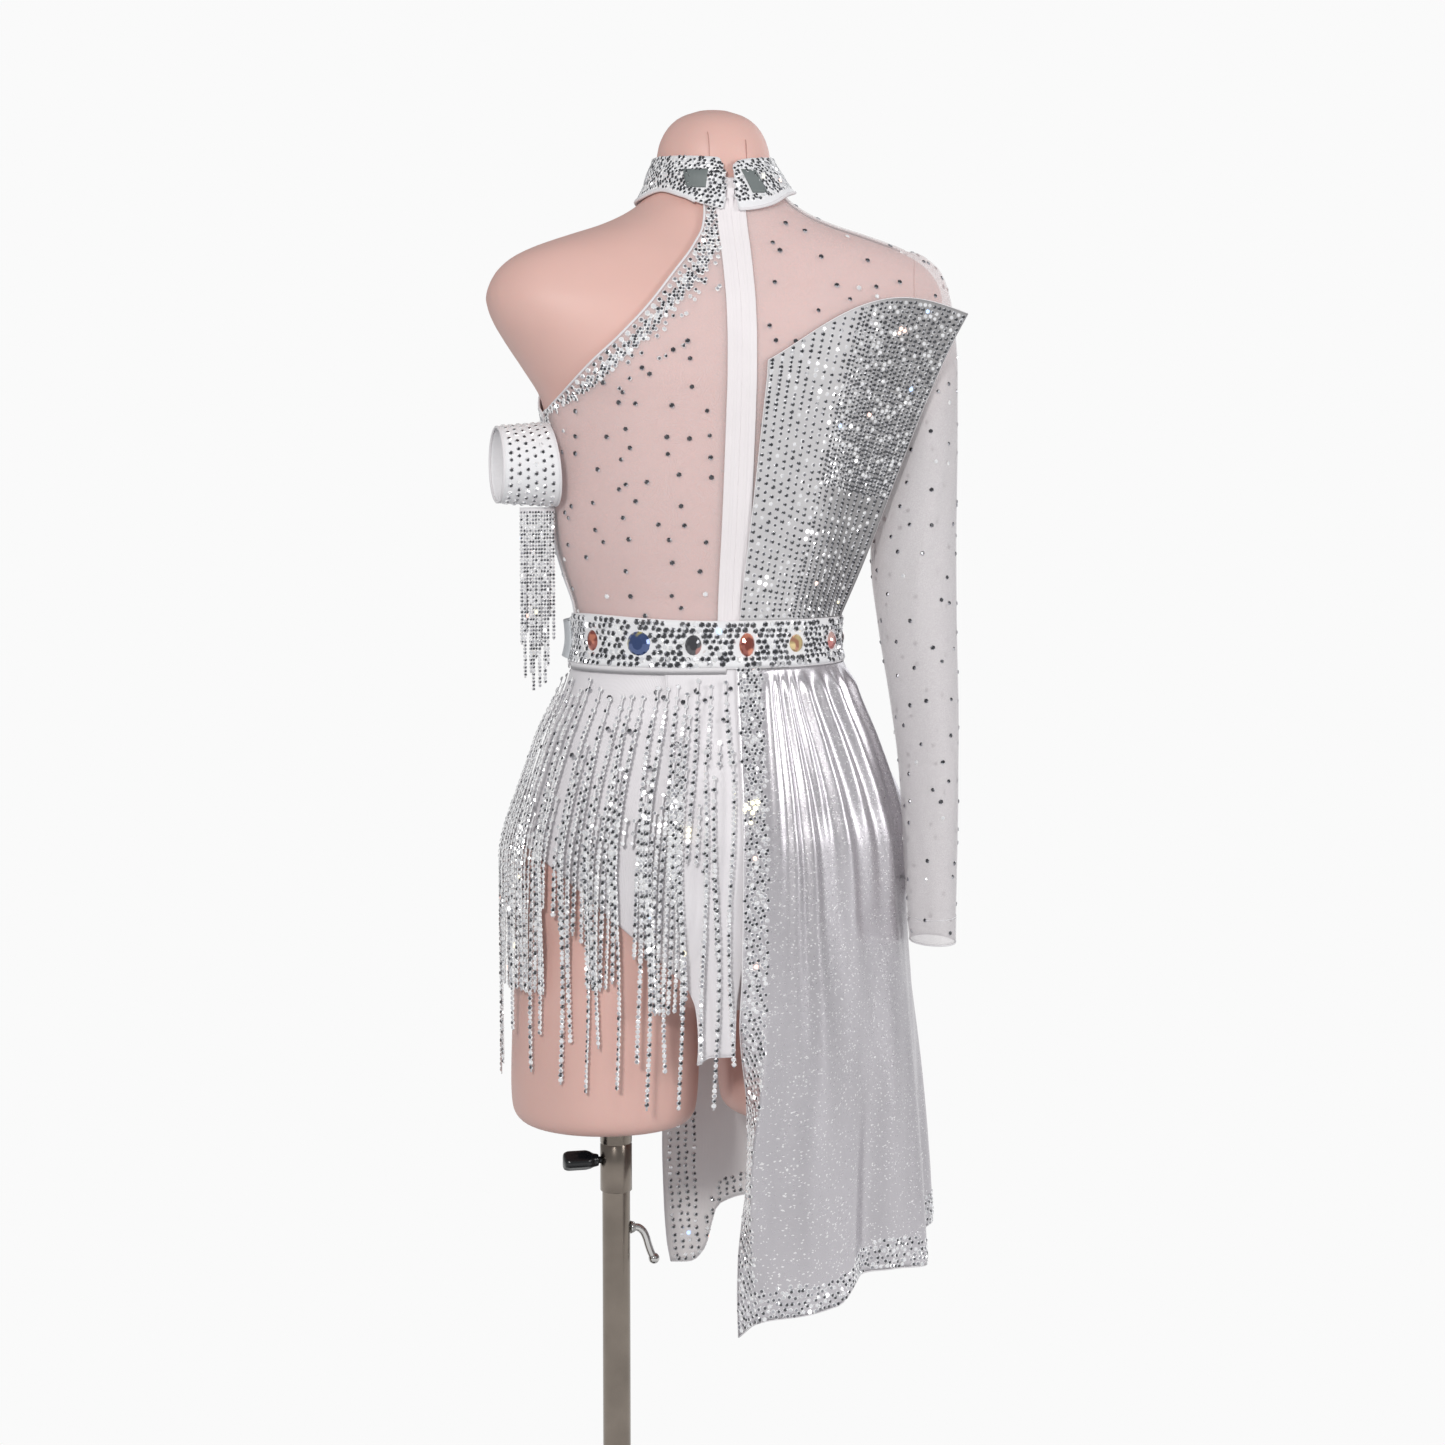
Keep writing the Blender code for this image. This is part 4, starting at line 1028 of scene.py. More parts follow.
class Finishes:
    """The finishes that several sub-assemblies share, each made once."""

    def __init__(self) -> None:
        """Makes every finish."""
        self.skin = FormSkin().make()
        self.sheer = SheerMesh().make()
        self.sleeve = SheerMesh("sleeve_mesh", (0.8, 0.765, 0.78), 0.47, thin_from=0.43).make()
        self.lycra = StretchCloth("white_lycra", (0.86, 0.835, 0.86)).make()
        self.band = StretchCloth("white_band", (0.88, 0.88, 0.9)).make()
        # The wing's ground darkens to half across its width: painted shade on its outer side.
        self.silver = StretchCloth("silver_ground_painted_shade", (0.61, 0.6, 0.61), 0.4, 0.1, painted_shade_share=0.5).make()
        self.piping = StretchCloth("white_piping", (0.86, 0.84, 0.86), rib=0.0016).make()
        self.tape = StretchCloth("zip_tape_cloth", (0.9, 0.855, 0.87), rib=0.0014).make()
        self.tab = StretchCloth("pale_blue_cloth", (0.74, 0.77, 0.8)).make()
        self.satin = PearlSatin().make()
        self.lining = StretchCloth("satin_back", (0.9, 0.87, 0.875), rib=0.0009).make()
        self.crystal = CrystalFacets().make()
        self.gunmetal = Metal("gunmetal_tube", (0.24, 0.205, 0.175), 0.24).make()
        self.chrome = Metal("chrome", (0.62, 0.61, 0.6), 0.14, drawn=0.1).make()
        self.gloss_black = BlackPlastic("gloss_black", (0.006, 0.007, 0.009), 0.24, 0.05).make()
        self.powder_black = BlackPlastic("powder_black", (0.02, 0.02, 0.022), 0.48, 0.35).make()


@dataclass(frozen=True)
class StoneCut:
    """The cut of a small flat-backed stone, one unit in radius, with its back left open."""

    sides: int = 6
    table: float = 0.6
    depth: float = 0.42

    def template(self) -> Object:
        """Makes the one stone that a bed repeats, each face with its own brightness, as painted reflection.

        Returns:
            The stone.
        """
        bm = bmesh.new()
        bmesh.ops.create_cone(bm, cap_ends=True, segments=self.sides, radius1=1.0, radius2=self.table,
                              depth=self.depth)
        bmesh.ops.translate(bm, vec=(0.0, 0.0, self.depth / 2), verts=bm.verts)
        bm.normal_update()
        backs = [face for face in bm.faces if face.normal.z < -0.5]
        bmesh.ops.delete(bm, geom=backs, context="FACES_ONLY")
        bright = bm.faces.layers.float.new("facet_reflection")
        # Painted reflection: the table is set dark and the ring of side faces bright or mid-grey.
        ring = (1.0, 0.78, 0.95, 0.66, 1.0, 0.84)
        for order, face in enumerate(bm.faces):
            face[bright] = 0.3 if face.normal.z > 0.9 else ring[order % len(ring)]
        return object_of("stone_template", bm, smooth=False)


@dataclass
class StoneBed:
    """The stones on one piece, kept as points until all are set."""

    name: str
    seed: int
    radius: float = 0.0019
    flashes: tuple[Triple, ...] = ()
    spots: list[tuple[Vector, Vector, float, float, float]] = field(default_factory=list)

    def __post_init__(self) -> None:
        """Starts the bed's own seeded dice."""
        self.dice = random.Random(self.seed)

    def put(self, point: Vector, facing: Vector, size: float = 1.0, tone: Tone = Tone.MIXED) -> None:
        """Sets one stone.

        Args:
            point: Where its back lies.
            facing: The direction that its table faces.
            size: Its radius, as a share of the bed's.
            tone: How light it looks, partly its own tone and partly painted reflection. One stone in eight is
                painted light all the same, as a painted reflection.
        """
        radius = self.radius * size * self.dice.uniform(0.9, 1.08)
        tone_and_reflection, glint = self.dice.uniform(*tone.value), 0.0
        # Painted reflection: some stones are set light whatever their tone.
        if self.dice.random() < PAINTED_REFLECTION_STONES:
            tone_and_reflection = 0.95
        # Painted glint: a few stones, and most stones near a flash place, glow a colour.
        if tone is not Tone.LONE and self.dice.random() < PAINTED_GLINT_STONES:
            glint = self.dice.choice((0.9, 0.9, 0.9, 0.3, 0.5, 0.7))
        for x, z, colour in self.flashes:
            near = bell(math.hypot(point.x - x, point.z - z), 0.0048)
            glint = colour if self.dice.random() < near else glint
        tilt = Vector([self.dice.gauss(0.0, 0.1) for _ in range(3)])
        facing = (facing + tilt).normalized()
        self.spots.append((point, facing, radius, tone_and_reflection, glint))

    def fill(self, patch: Patch, pitch: float, keep: Keep, loose: float = 0.2, size: float = 1.0,
             tone: Tone = Tone.MIXED) -> None:
        """Sets stones in staggered rows over a patch.

        Args:
            patch: The cloth.
            pitch: From one stone to the next.
            keep: Says from the shares across and up, and from the distances in metres to the start and the
                end of the row, whether a stone is set there.
            loose: How far a stone may stray, as a share of the pitch.
            size: The stones' radius, as a share of the bed's.
            tone: How light they look.
        """
        rows = max(1, round(patch.size()[1] / (pitch * 0.87)))
        steps = 48
        for row in range(rows):
            up = (row + 0.5) / rows
            run = lengths([patch.place(i / steps, up) for i in range(steps + 1)])
            count = int(run[-1] / pitch)
            for order in range(count):
                stray = self.dice.uniform(-loose, loose), self.dice.uniform(-loose, loose)
                along = (order + 0.25 + 0.5 * (row % 2) + stray[0]) * run[-1] / max(count, 1)
                k = min(max(bisect_right(run, along) - 1, 0), steps - 1)
                across = (k + (along - run[k]) / max(run[k + 1] - run[k], 1e-9)) / steps
                across = min(max(across, 0.0), 1.0)
                level = min(max(up + stray[1] / rows, 0.0), 1.0)
                if keep(across, level, along, run[-1] - along):
                    self.put(*patch.spot(across, level, SEATED), size, tone)

    def row(self, patch: Patch, start: Pair, end: Pair, pitch: float,
            size: float = 1.0, tone: Tone = Tone.MIXED) -> None:
        """Sets stones in one row on a patch.

        Args:
            patch: The cloth.
            start: The row's first place, as shares across and up.
            end: Its last place.
            pitch: From one stone to the next.
            size: The stones' radius, as a share of the bed's.
            tone: How light they look.
        """
        count = max(1, round(lengths(patch.line(start, end, 40))[-1] / pitch))
        for order in range(count):
            share = (order + 0.5 + self.dice.uniform(-0.12, 0.12)) / count
            across = between(start[0], end[0], share)
            up = between(start[1], end[1], share)
            self.put(*patch.spot(across, up, SEATED), size, tone)

    def beside(self, patch: Patch, across: Callable[[float], float], low: float, high: float, pitch: float,
               size: float) -> None:
        """Sets stones in one row that follows an edge.

        Args:
            patch: The cloth.
            across: Gives the row's share across from the share up.
            low: The share up where it starts.
            high: The share up where it ends.
            pitch: From one stone to the next.
            size: The stones' radius, as a share of the bed's.
        """
        steps, last = 300, None
        for up in (low + (high - low) * i / steps for i in range(steps + 1)):
            point, facing = patch.spot(across(up), up, SEATED)
            if last is None or (point - last).length >= pitch:
                self.put(point, facing, size)
                last = point

    def object(self) -> Object:
        """Makes every stone of the bed as one mesh, from one template repeated on the points.

        Returns:
            The stones.
        """
        bm = bmesh.new()
        facing_layer = bm.verts.layers.float_vector.new("facing")
        layers = [bm.verts.layers.float.new(name) for name in ("size", "tone_and_reflection", "glint")]
        for point, facing, *numbers in self.spots:
            vertex = bm.verts.new(point)
            vertex[facing_layer] = facing
            for layer, number in zip(layers, numbers):
                vertex[layer] = number
        bed = object_of(self.name, bm, smooth=False)
        template = StoneCut().template()
        setter = bed.modifiers.new("Stones", "NODES")
        setter.node_group = self._setter(template)
        applied(bed)
        removed(template)
        return bed

    def _setter(self, template: Object) -> NodeTree:
        """Node group that sets the template on every point.

        Args:
            template: The one stone.

        Returns:
            The node group.
        """
        tree = bpy.data.node_groups.new("set_stones", "GeometryNodeTree")
        for way in ("INPUT", "OUTPUT"):
            tree.interface.new_socket("Geometry", in_out=way, socket_type="NodeSocketGeometry")
        source, end, stone, facing, size, aim, instance, real = (tree.nodes.new(kind) for kind in (
            "NodeGroupInput", "NodeGroupOutput", "GeometryNodeObjectInfo", "GeometryNodeInputNamedAttribute",
            "GeometryNodeInputNamedAttribute", "FunctionNodeAlignRotationToVector",
            "GeometryNodeInstanceOnPoints", "GeometryNodeRealizeInstances"))
        stone.inputs["Object"].default_value = template
        facing.data_type, size.data_type, aim.axis = "FLOAT_VECTOR", "FLOAT", "Z"
        facing.inputs["Name"].default_value, size.inputs["Name"].default_value = "facing", "size"
        for output, socket in (
            (facing.outputs["Attribute"], aim.inputs["Vector"]),
            (source.outputs[0], instance.inputs["Points"]),
            (stone.outputs["Geometry"], instance.inputs["Instance"]),
            (aim.outputs["Rotation"], instance.inputs["Rotation"]),
            (size.outputs["Attribute"], instance.inputs["Scale"]),
            (instance.outputs[0], real.inputs[0]),
            (real.outputs[0], end.inputs[0]),
        ):
            tree.links.new(output, socket)
        return tree

    def finished(self, finishes: Finishes) -> Object:
        """Makes the stones and hands them over to the figure."""
        return hand_over(self.object(), finishes.crystal, Slot.STONES)


def piping(name: str, patch: Patch, edge: Edge, radius: float, finishes: Finishes, steps: int = 90,
           lift: float = 0.0, closed: bool = False, share: float = 1.0) -> Object:
    """A thin white binding along an edge of a piece of cloth.

    Args:
        name: The binding's name.
        patch: The cloth.
        edge: Which edge.
        radius: The binding's radius.
        finishes: The shared finishes.
        steps: How many steps along it.
        lift: How far above the cloth's face its middle lies.
        closed: Whether it meets itself.
        share: How much of the edge it binds, from the edge's start.

    Returns:
        The binding.
    """
    start, end = edge.value
    end = tuple(between(a, b, share) for a, b in zip(start, end))
    points = patch.line(start, end, steps, lift - patch.wall / 2)
    if closed:
        points.pop()
    return hand_over(tube(name, points, radius, closed), finishes.piping, Slot.LYCRA)


@dataclass
class DressForm:
    """The limbless form: a torso with a neck cap and two thigh stumps, as one smooth skin."""

    columns: int = 150
    rise: float = 0.0055
    voxel: float = 0.0036
    smoothing: int = 12
    thighs: SmoothTable = SmoothTable(("z", "centre", "half_width", "back", "front"), (
        (0.62, 0.093, 0.07, 0.057, -0.092), (0.6245, 0.093, 0.076, 0.063, -0.0985),
        (0.634, 0.093, 0.0792, 0.0665, -0.102), (0.66, 0.0925, 0.0805, 0.068, -0.1035),
        (0.72, 0.0905, 0.0805, 0.0705, -0.106), (0.77, 0.086, 0.0775, 0.072, -0.107),
        (0.81, 0.08, 0.07, 0.064, -0.099), (0.84, 0.074, 0.055, 0.045, -0.08),
    ))
    slit_places: tuple[Triple, ...] = ((0.015, 1.442, 1.4625), (-0.0172, 1.441, 1.4565))

    def loft(self, low: float, high: float, place: Place) -> Object:
        """A closed shape through rounded sections.

        Args:
            low: The lowest section's height.
            high: The highest section's height.
            place: Gives a point from its angle and height.

        Returns:
            The shape, filled flat at both ends.
        """
        rows = max(8, round((high - low) / self.rise))
        return closed_skin("form_loft", self.columns, rows, lambda turn, up: (
            place(2 * pi * turn, between(low, high, up)) + FORM_SHIFT))

    def thigh(self, side: int) -> Object:
        """One thigh stump.

        Args:
            side: 1 for the left stump and -1 for the right.

        Returns:
            The stump.
        """

        def place(angle: float, z: float) -> Vector:
            """A point of the stump."""
            back, front = self.thighs.read("back", z), self.thighs.read("front", z)
            x, y = rounded(angle, self.thighs.read("half_width", z), (back - front) / 2, 2.1)
            return Vector((side * self.thighs.read("centre", z) + x, y + (back + front) / 2, z))

        return self.loft(self.thighs.starts[0], self.thighs.starts[-1], place)

    def skin(self) -> Object:
        """The torso and both stumps, grown into one smooth skin.

        Returns:
            The skin, without the hollow for the pole.
        """
        heights = FORM.sections.starts
        torso = self.loft(heights[0], heights[-1], FORM.point)
        whole = joined("dress_form_skin", [torso, self.thigh(1), self.thigh(-1)])
        grown = whole.modifiers.new("Grow", "REMESH")
        grown.mode, grown.voxel_size, grown.use_smooth_shade = "VOXEL", self.voxel, True
        smooth = whole.modifiers.new("Smooth", "SMOOTH")
        smooth.factor, smooth.iterations = 0.5, self.smoothing
        return applied(whole)

    def hollow(self, skin: Object) -> Object:
        """Cuts the hollow round the pole into a copy of the skin.

        Args:
            skin: The whole skin.

        Returns:
            The skin with the hollow.
        """
        bm = bmesh.new()
        bmesh.ops.create_cone(bm, cap_ends=True, segments=64, radius1=HOLLOW_RADIUS, radius2=HOLLOW_RADIUS,
                              depth=HOLLOW_TOP - CLAMP_BOTTOM)
        bmesh.ops.translate(bm, vec=(0, 0, (HOLLOW_TOP + CLAMP_BOTTOM) / 2), verts=bm.verts)
        cutter = object_of("form_hollow_cutter", bm)
        cut = skin.modifiers.new("Hollow", "BOOLEAN")
        cut.operation, cut.solver, cut.object = "DIFFERENCE", "EXACT", cutter
        applied(skin)
        removed(cutter)
        skin.data.set_sharp_from_angle(angle=radians(50))
        return skin

    def slits(self) -> Object:
        """The two faint upright slits in the back of the neck cap, drawn as thin raised tubes in painted
        shade.

        Returns:
            Both, as one mesh.
        """
        lines = []
        for x, low, high in self.slit_places:
            rise = (high - low) / 10
            points = [FORM.off(FORM.angle_at(x, low + rise * i), low + rise * i, 0.0001) + FORM_SHIFT
                      for i in range(11)]
            lines.append(tube("neck_slit", points, 0.00028))
        return joined("neck_slits", lines)

    def build(self, finishes: Finishes, skin: Object) -> None:
        """Builds and dresses the form.

        Args:
            finishes: The shared finishes.
            skin: The form's whole skin, which is used up.
        """
        form = self.hollow(skin)
        form.name = "form_skin"
        hand_over(form, finishes.skin, Slot.SKIN, ["dress_form"])
        # The slits' dark colour is painted shade.
        dark = FormSkinShade().make()
        hand_over(self.slits(), dark, Slot.SKIN)
        foot, shoulder, flange = self.thighs.starts[0], CLAMP_TOP + PLAY, HOLLOW_RADIUS - PLAY
        bore, seat, wide, head = 0.019, 0.0232, 0.027, shoulder + 0.008
        profile = ((bore, head), (wide, head), (wide, 0.63), (flange, 0.63), (flange, foot + 0.0008),
                   (flange - 0.0008, foot), (seat + 0.0008, foot), (seat, foot + 0.0008), (seat, shoulder),
                   (bore, shoulder), (bore, head))
        socket = turned("form_socket_ring", profile)
        hand_over(socket, finishes.powder_black, Slot.PLASTIC, ["form_socket"])


@dataclass
class Briefs:
    """White stretch briefs with a slanted leg line, cut from the form's own skin."""

    crotch: Vector = field(default_factory=lambda: Vector((0.012, 0.0, 0.722)))
    hip: Vector = field(default_factory=lambda: Vector((0.167, 0.0, 0.866)))
    top: float = 1.0367
    hem: float = 0.0085
    hem_lift: float = 0.0007
    cut: Cut = Cut(0.42, 0.74, Held.STRETCHED, 0.165)

    def leg_line(self, side: int) -> tuple[Vector, Vector]:
        """A point of one leg line's plane and the direction up from it.

        Args:
            side: 1 for the left leg and -1 for the right.

        Returns:
            The point and the direction.
        """
        run = self.hip - self.crotch
        up = Vector((-run.z * side, 0.0, run.x)).normalized()
        return Vector((self.crotch.x * side, 0.0, self.crotch.z)) + FORM_SHIFT, up

    def build(self, finishes: Finishes, skin: Object, on_it: Sequence[Object]) -> None:
        """Builds and dresses the briefs.

        Args:
            finishes: The shared finishes.
            skin: The form's whole skin.
            on_it: The pieces that are sewn to the briefs.
        """
        bm = bmesh.new()
        bm.from_mesh(skin.data)
        bm.normal_update()
        planes = [self.leg_line(side) for side in (1, -1)]
        moves = []
        for vertex in bm.verts:
            low = min((vertex.co - point).dot(up) for point, up in planes)
            hem = self.hem_lift * (1 - blend(self.hem - 0.002, self.hem, low))
            moves.append(vertex.normal * (BRIEFS_OUT + hem))
        for vertex, move in zip(bm.verts, moves):
            vertex.co += move
        for point, up in [*planes, (Vector((0.0, 0.0, self.top)), Vector((0.0, 0.0, -1.0)))]:
            bmesh.ops.bisect_plane(bm, geom=bm.verts[:] + bm.edges[:] + bm.faces[:], dist=1e-6,
                                   plane_co=point, plane_no=up, clear_inner=True)
        uv = bm.loops.layers.uv.new("Cloth")
        for loop in (loop for face in bm.faces for loop in face.loops):
            loop[uv].uv = (loop.vert.co.x + loop.vert.co.y, loop.vert.co.z)
        obj = walled(object_of("hip_briefs", bm), CLOTH)
        hand_over(obj, finishes.lycra, Slot.LYCRA, ["briefs"])
        self.cut.declare(obj, ["form_skin"], on_it)


@dataclass
class Bodice:
    """The close bodice: two sheer backs, a zip between them and a front, with one open shoulder."""

    side_seam: float = radians(0.12)
    armhole_bottom: float = 1.238
    armhole_top: float = 1.366
    border: float = 0.0165
    border_from: float = 1.2155
    border_pitch: float = 0.0037
    fray: float = 0.013
    edge_row: tuple[float, float, float, float] = (0.0046, 0.0072, 1.2175, 1.364)
    scatter_pitch: float = 0.024
    open_edge: SmoothTable = SmoothTable(("z", "x"), (
        (1.2215, 0.146), (1.2332, 0.1441), (1.2504, 0.1375), (1.2714, 0.1227), (1.2924, 0.1019),
        (1.3161, 0.0788), (1.3449, 0.0537), (1.3651, 0.0363), (1.3828, 0.025), (1.3995, 0.0216),
        (1.42, 0.021),
    ))
    armhole: SmoothTable = SmoothTable(("z", "x"), (
        (1.238, 0.148), (1.244, 0.1443), (1.25, 0.1462), (1.265, 0.149), (1.3, 0.153), (1.342, 0.1575),
        (1.366, 0.166),
    ))

    def left_edge(self, z: float) -> float:
        """Where the bodice ends towards the bare left shoulder, as an angle on the back half.

        Args:
            z: The height.

        Returns:
            The angle.
        """
        if z < self.open_edge.starts[0]:
            return self.side_seam
        return max(self.side_seam, FORM.angle_at(self.open_edge.read("x", z), z))

    def right_edge(self, z: float) -> float:
        """Where the back meets the side seam, the armhole or the shoulder seam.

        Args:
            z: The height.

        Returns:
            The angle on the back half.
        """
        if not self.armhole_bottom <= z <= self.armhole_top:
            return pi - self.side_seam
        return min(pi - self.side_seam, FORM.angle_at(-self.armhole.read("x", z), z))

    def panel(self, low: Callable[[float], float], high: Callable[[float], float], columns: int) -> Patch:
        """A panel of the bodice between two edges.

        Args:
            low: Gives the angle of its first edge from the height.
            high: Gives the angle of its last edge.
            columns: How many columns it has.

        Returns:
            The panel.
        """

        def place(across: float, up: float) -> Vector:
            """A point of the panel's inner face."""
            z = self.height(up)
            start, end = low(z), high(z)
            return FORM.off(between(start, end, across), z, BODICE_OUT)

        return Patch(place, columns, 128, 0.0008)

    def panels(self) -> dict[str, Patch]:
        """The three panels by name.

        Returns:
            The panels.
        """
        beside_zip = ZIP_HALF_WIDTH + PLAY
        turn = 2 * pi
        return {
            "back_left": self.panel(self.left_edge, lambda z: FORM.angle_at(beside_zip, z), 52),
            "back_right": self.panel(lambda z: FORM.angle_at(-beside_zip, z), self.right_edge, 56),
            "front": self.panel(lambda z: turn - self.right_edge(z), lambda z: turn - self.left_edge(z), 84),
        }

    def height(self, up: float) -> float:
        """The height above the floor of a share up a panel."""
        return BODICE_BOTTOM + (BODICE_TOP - BODICE_BOTTOM) * up

    def slant(self, z: float) -> float:
        """The distance square to the open edge, as a share of the distance along a level row."""
        return 1.0 - 0.3 * blend(1.225, 1.255, z) * (1 - blend(1.355, 1.385, z))

    def border_stones(self, bed: StoneBed, patch: Patch, at_start: bool) -> None:
        """Sets the stoned border along the open shoulder, fraying inwards.

        Args:
            bed: The stones.
            patch: The panel.
            at_start: Whether the open edge is the panel's first one.
        """
        inset, pitch, lowest, highest = self.edge_row

        def keep(across: float, up: float, start: float, end: float) -> bool:
            """Keeps a stone by its distance from the open edge."""
            z = self.height(up)
            if z < self.border_from:
                return False
            away = (start if at_start else end) * self.slant(z)
            if away < (0.0022 if z > 1.36 else 0.0072):
                return False
            if away < self.border:
                return True
            fray = math.exp(-(away - self.border) / self.fray) * (0.45 + 0.55 * blend(1.26, 1.34, z))
            return bed.dice.random() < 0.28 * fray

        def near_edge(up: float) -> float:
            """The share across of the outermost row."""
            width = (patch.place(1.0, up) - patch.place(0.0, up)).length
            share = inset / self.slant(self.height(up)) / width
            return share if at_start else 1 - share

        bed.fill(patch, self.border_pitch * 0.92, keep, 0.2, 1.14)
        low, high = ((z - BODICE_BOTTOM) / (BODICE_TOP - BODICE_BOTTOM) for z in (lowest, highest))
        bed.beside(patch, near_edge, low, high, pitch, 1.3)

    def scatter(self, bed: StoneBed, patch: Patch, share: float = 0.94) -> None:
        """Sets single stones, loosely spread over a panel, inside its edges.

        Args:
            bed: The stones.
            patch: The panel.
            share: How many places get a stone.
        """

        def keep(across: float, up: float, start: float, end: float) -> bool:
            """Keeps a stone that is clear of the edges."""
            return min(start, end) > 0.006 and 0.06 < up < 0.97 and bed.dice.random() < share

        bed.fill(patch, self.scatter_pitch, keep, 0.42, 1.22, Tone.LONE)

    def on_tape(self, across: float, up: float) -> Vector:
        """A point of the tape's inner face.

        Args:
            across: The share across.
            up: The share up.

        Returns:
            The point.
        """
        z = between(BODICE_BOTTOM, ZIP_TOP, up)
        away = abs(2 * across - 1)
        welt = 0.0007 * bell(away - 0.45, 0.1) - 0.0004 * bell(away, 0.06)
        welt += 0.0003 * bell(away - 0.75, 0.05)
        return FORM.off(FORM.angle_at(ZIP_HALF_WIDTH * (1 - 2 * across), z), z, BODICE_OUT + welt)

    def zip_patch(self) -> Patch:
        """The zip tape, folded back on both sides of the coil."""
        return Patch(self.on_tape, 48, 120, 0.0009)

    def slider(self, finishes: Finishes, tape: Patch) -> Object:
        """The zip's slider and its pull, at the top of the tape.

        Args:
            finishes: The shared finishes.
            tape: The zip tape.

        Returns:
            The slider with its pull.
        """
        seat, facing = tape.spot(0.5, 0.965)
        bm = bmesh.new()
        body, pull = ((0.0062, 0.003, 0.009), 0.0, 0.0012), ((0.004, 0.0011, 0.015), -0.0105, 0.0026)
        for size, drop, out in (body, pull):
            made = bmesh.ops.create_cube(bm, size=1.0)["verts"]
            bmesh.ops.scale(bm, vec=size, verts=made)
            bmesh.ops.translate(bm, vec=seat + facing * out + Vector((0.0, 0.0, drop)), verts=made)
        softened(bm)
        return hand_over(object_of("zip_slider", bm), finishes.tape, Slot.LYCRA)

    def build(self, finishes: Finishes) -> None:
        """Builds and dresses the bodice, its zip, its bindings and its stones.

        Args:
            finishes: The shared finishes.
        """
        cuts = {
            "back_left": Cut(0.172, 0.385, Held.STRETCHED, 0.043),
            "back_right": Cut(0.185, 0.385, Held.STRETCHED, 0.055),
            "front": Cut(0.4, 0.385, Held.STRETCHED, 0.11),
        }
        for seed, (name, patch) in enumerate(self.panels().items()):
            cloth = finishes.lycra if name == "front" else finishes.sheer
            slot = Slot.LYCRA if name == "front" else Slot.SHEER
            panel = hand_over(patch.object(f"bodice_{name}"), cloth, slot, [name])
            bed = StoneBed(f"bodice_{name}_stones", 11 + seed)
            self.scatter(bed, patch, 0.72 if name == "back_right" else 0.94)
            trims = []
            if name != "back_right":
                self.border_stones(bed, patch, name == "back_left")
                edge = Edge.START if name == "back_left" else Edge.END
                trims.append(piping(f"open_edge_binding_{name}", patch, edge, 0.001, finishes, 150))
            trims.append(bed.finished(finishes))
            cuts[name].declare(panel, ["form_skin"], trims)
        tape = self.zip_patch()
        zip_tape = hand_over(tape.object("zip_tape"), finishes.tape, Slot.LYCRA, ["zip"])
        coil = tube("zip_coil", tape.line((0.5, 0.0), (0.5, 0.96), 160, 0.0001), 0.0004)
        hand_over(coil, finishes.tape, Slot.LYCRA)
        pull = self.slider(finishes, tape)
        backs = ["bodice_back_left", "bodice_back_right"]
        Cut(0.025, 0.39, Held.STRETCHED, 0.00975).declare(zip_tape, backs, [coil, pull])


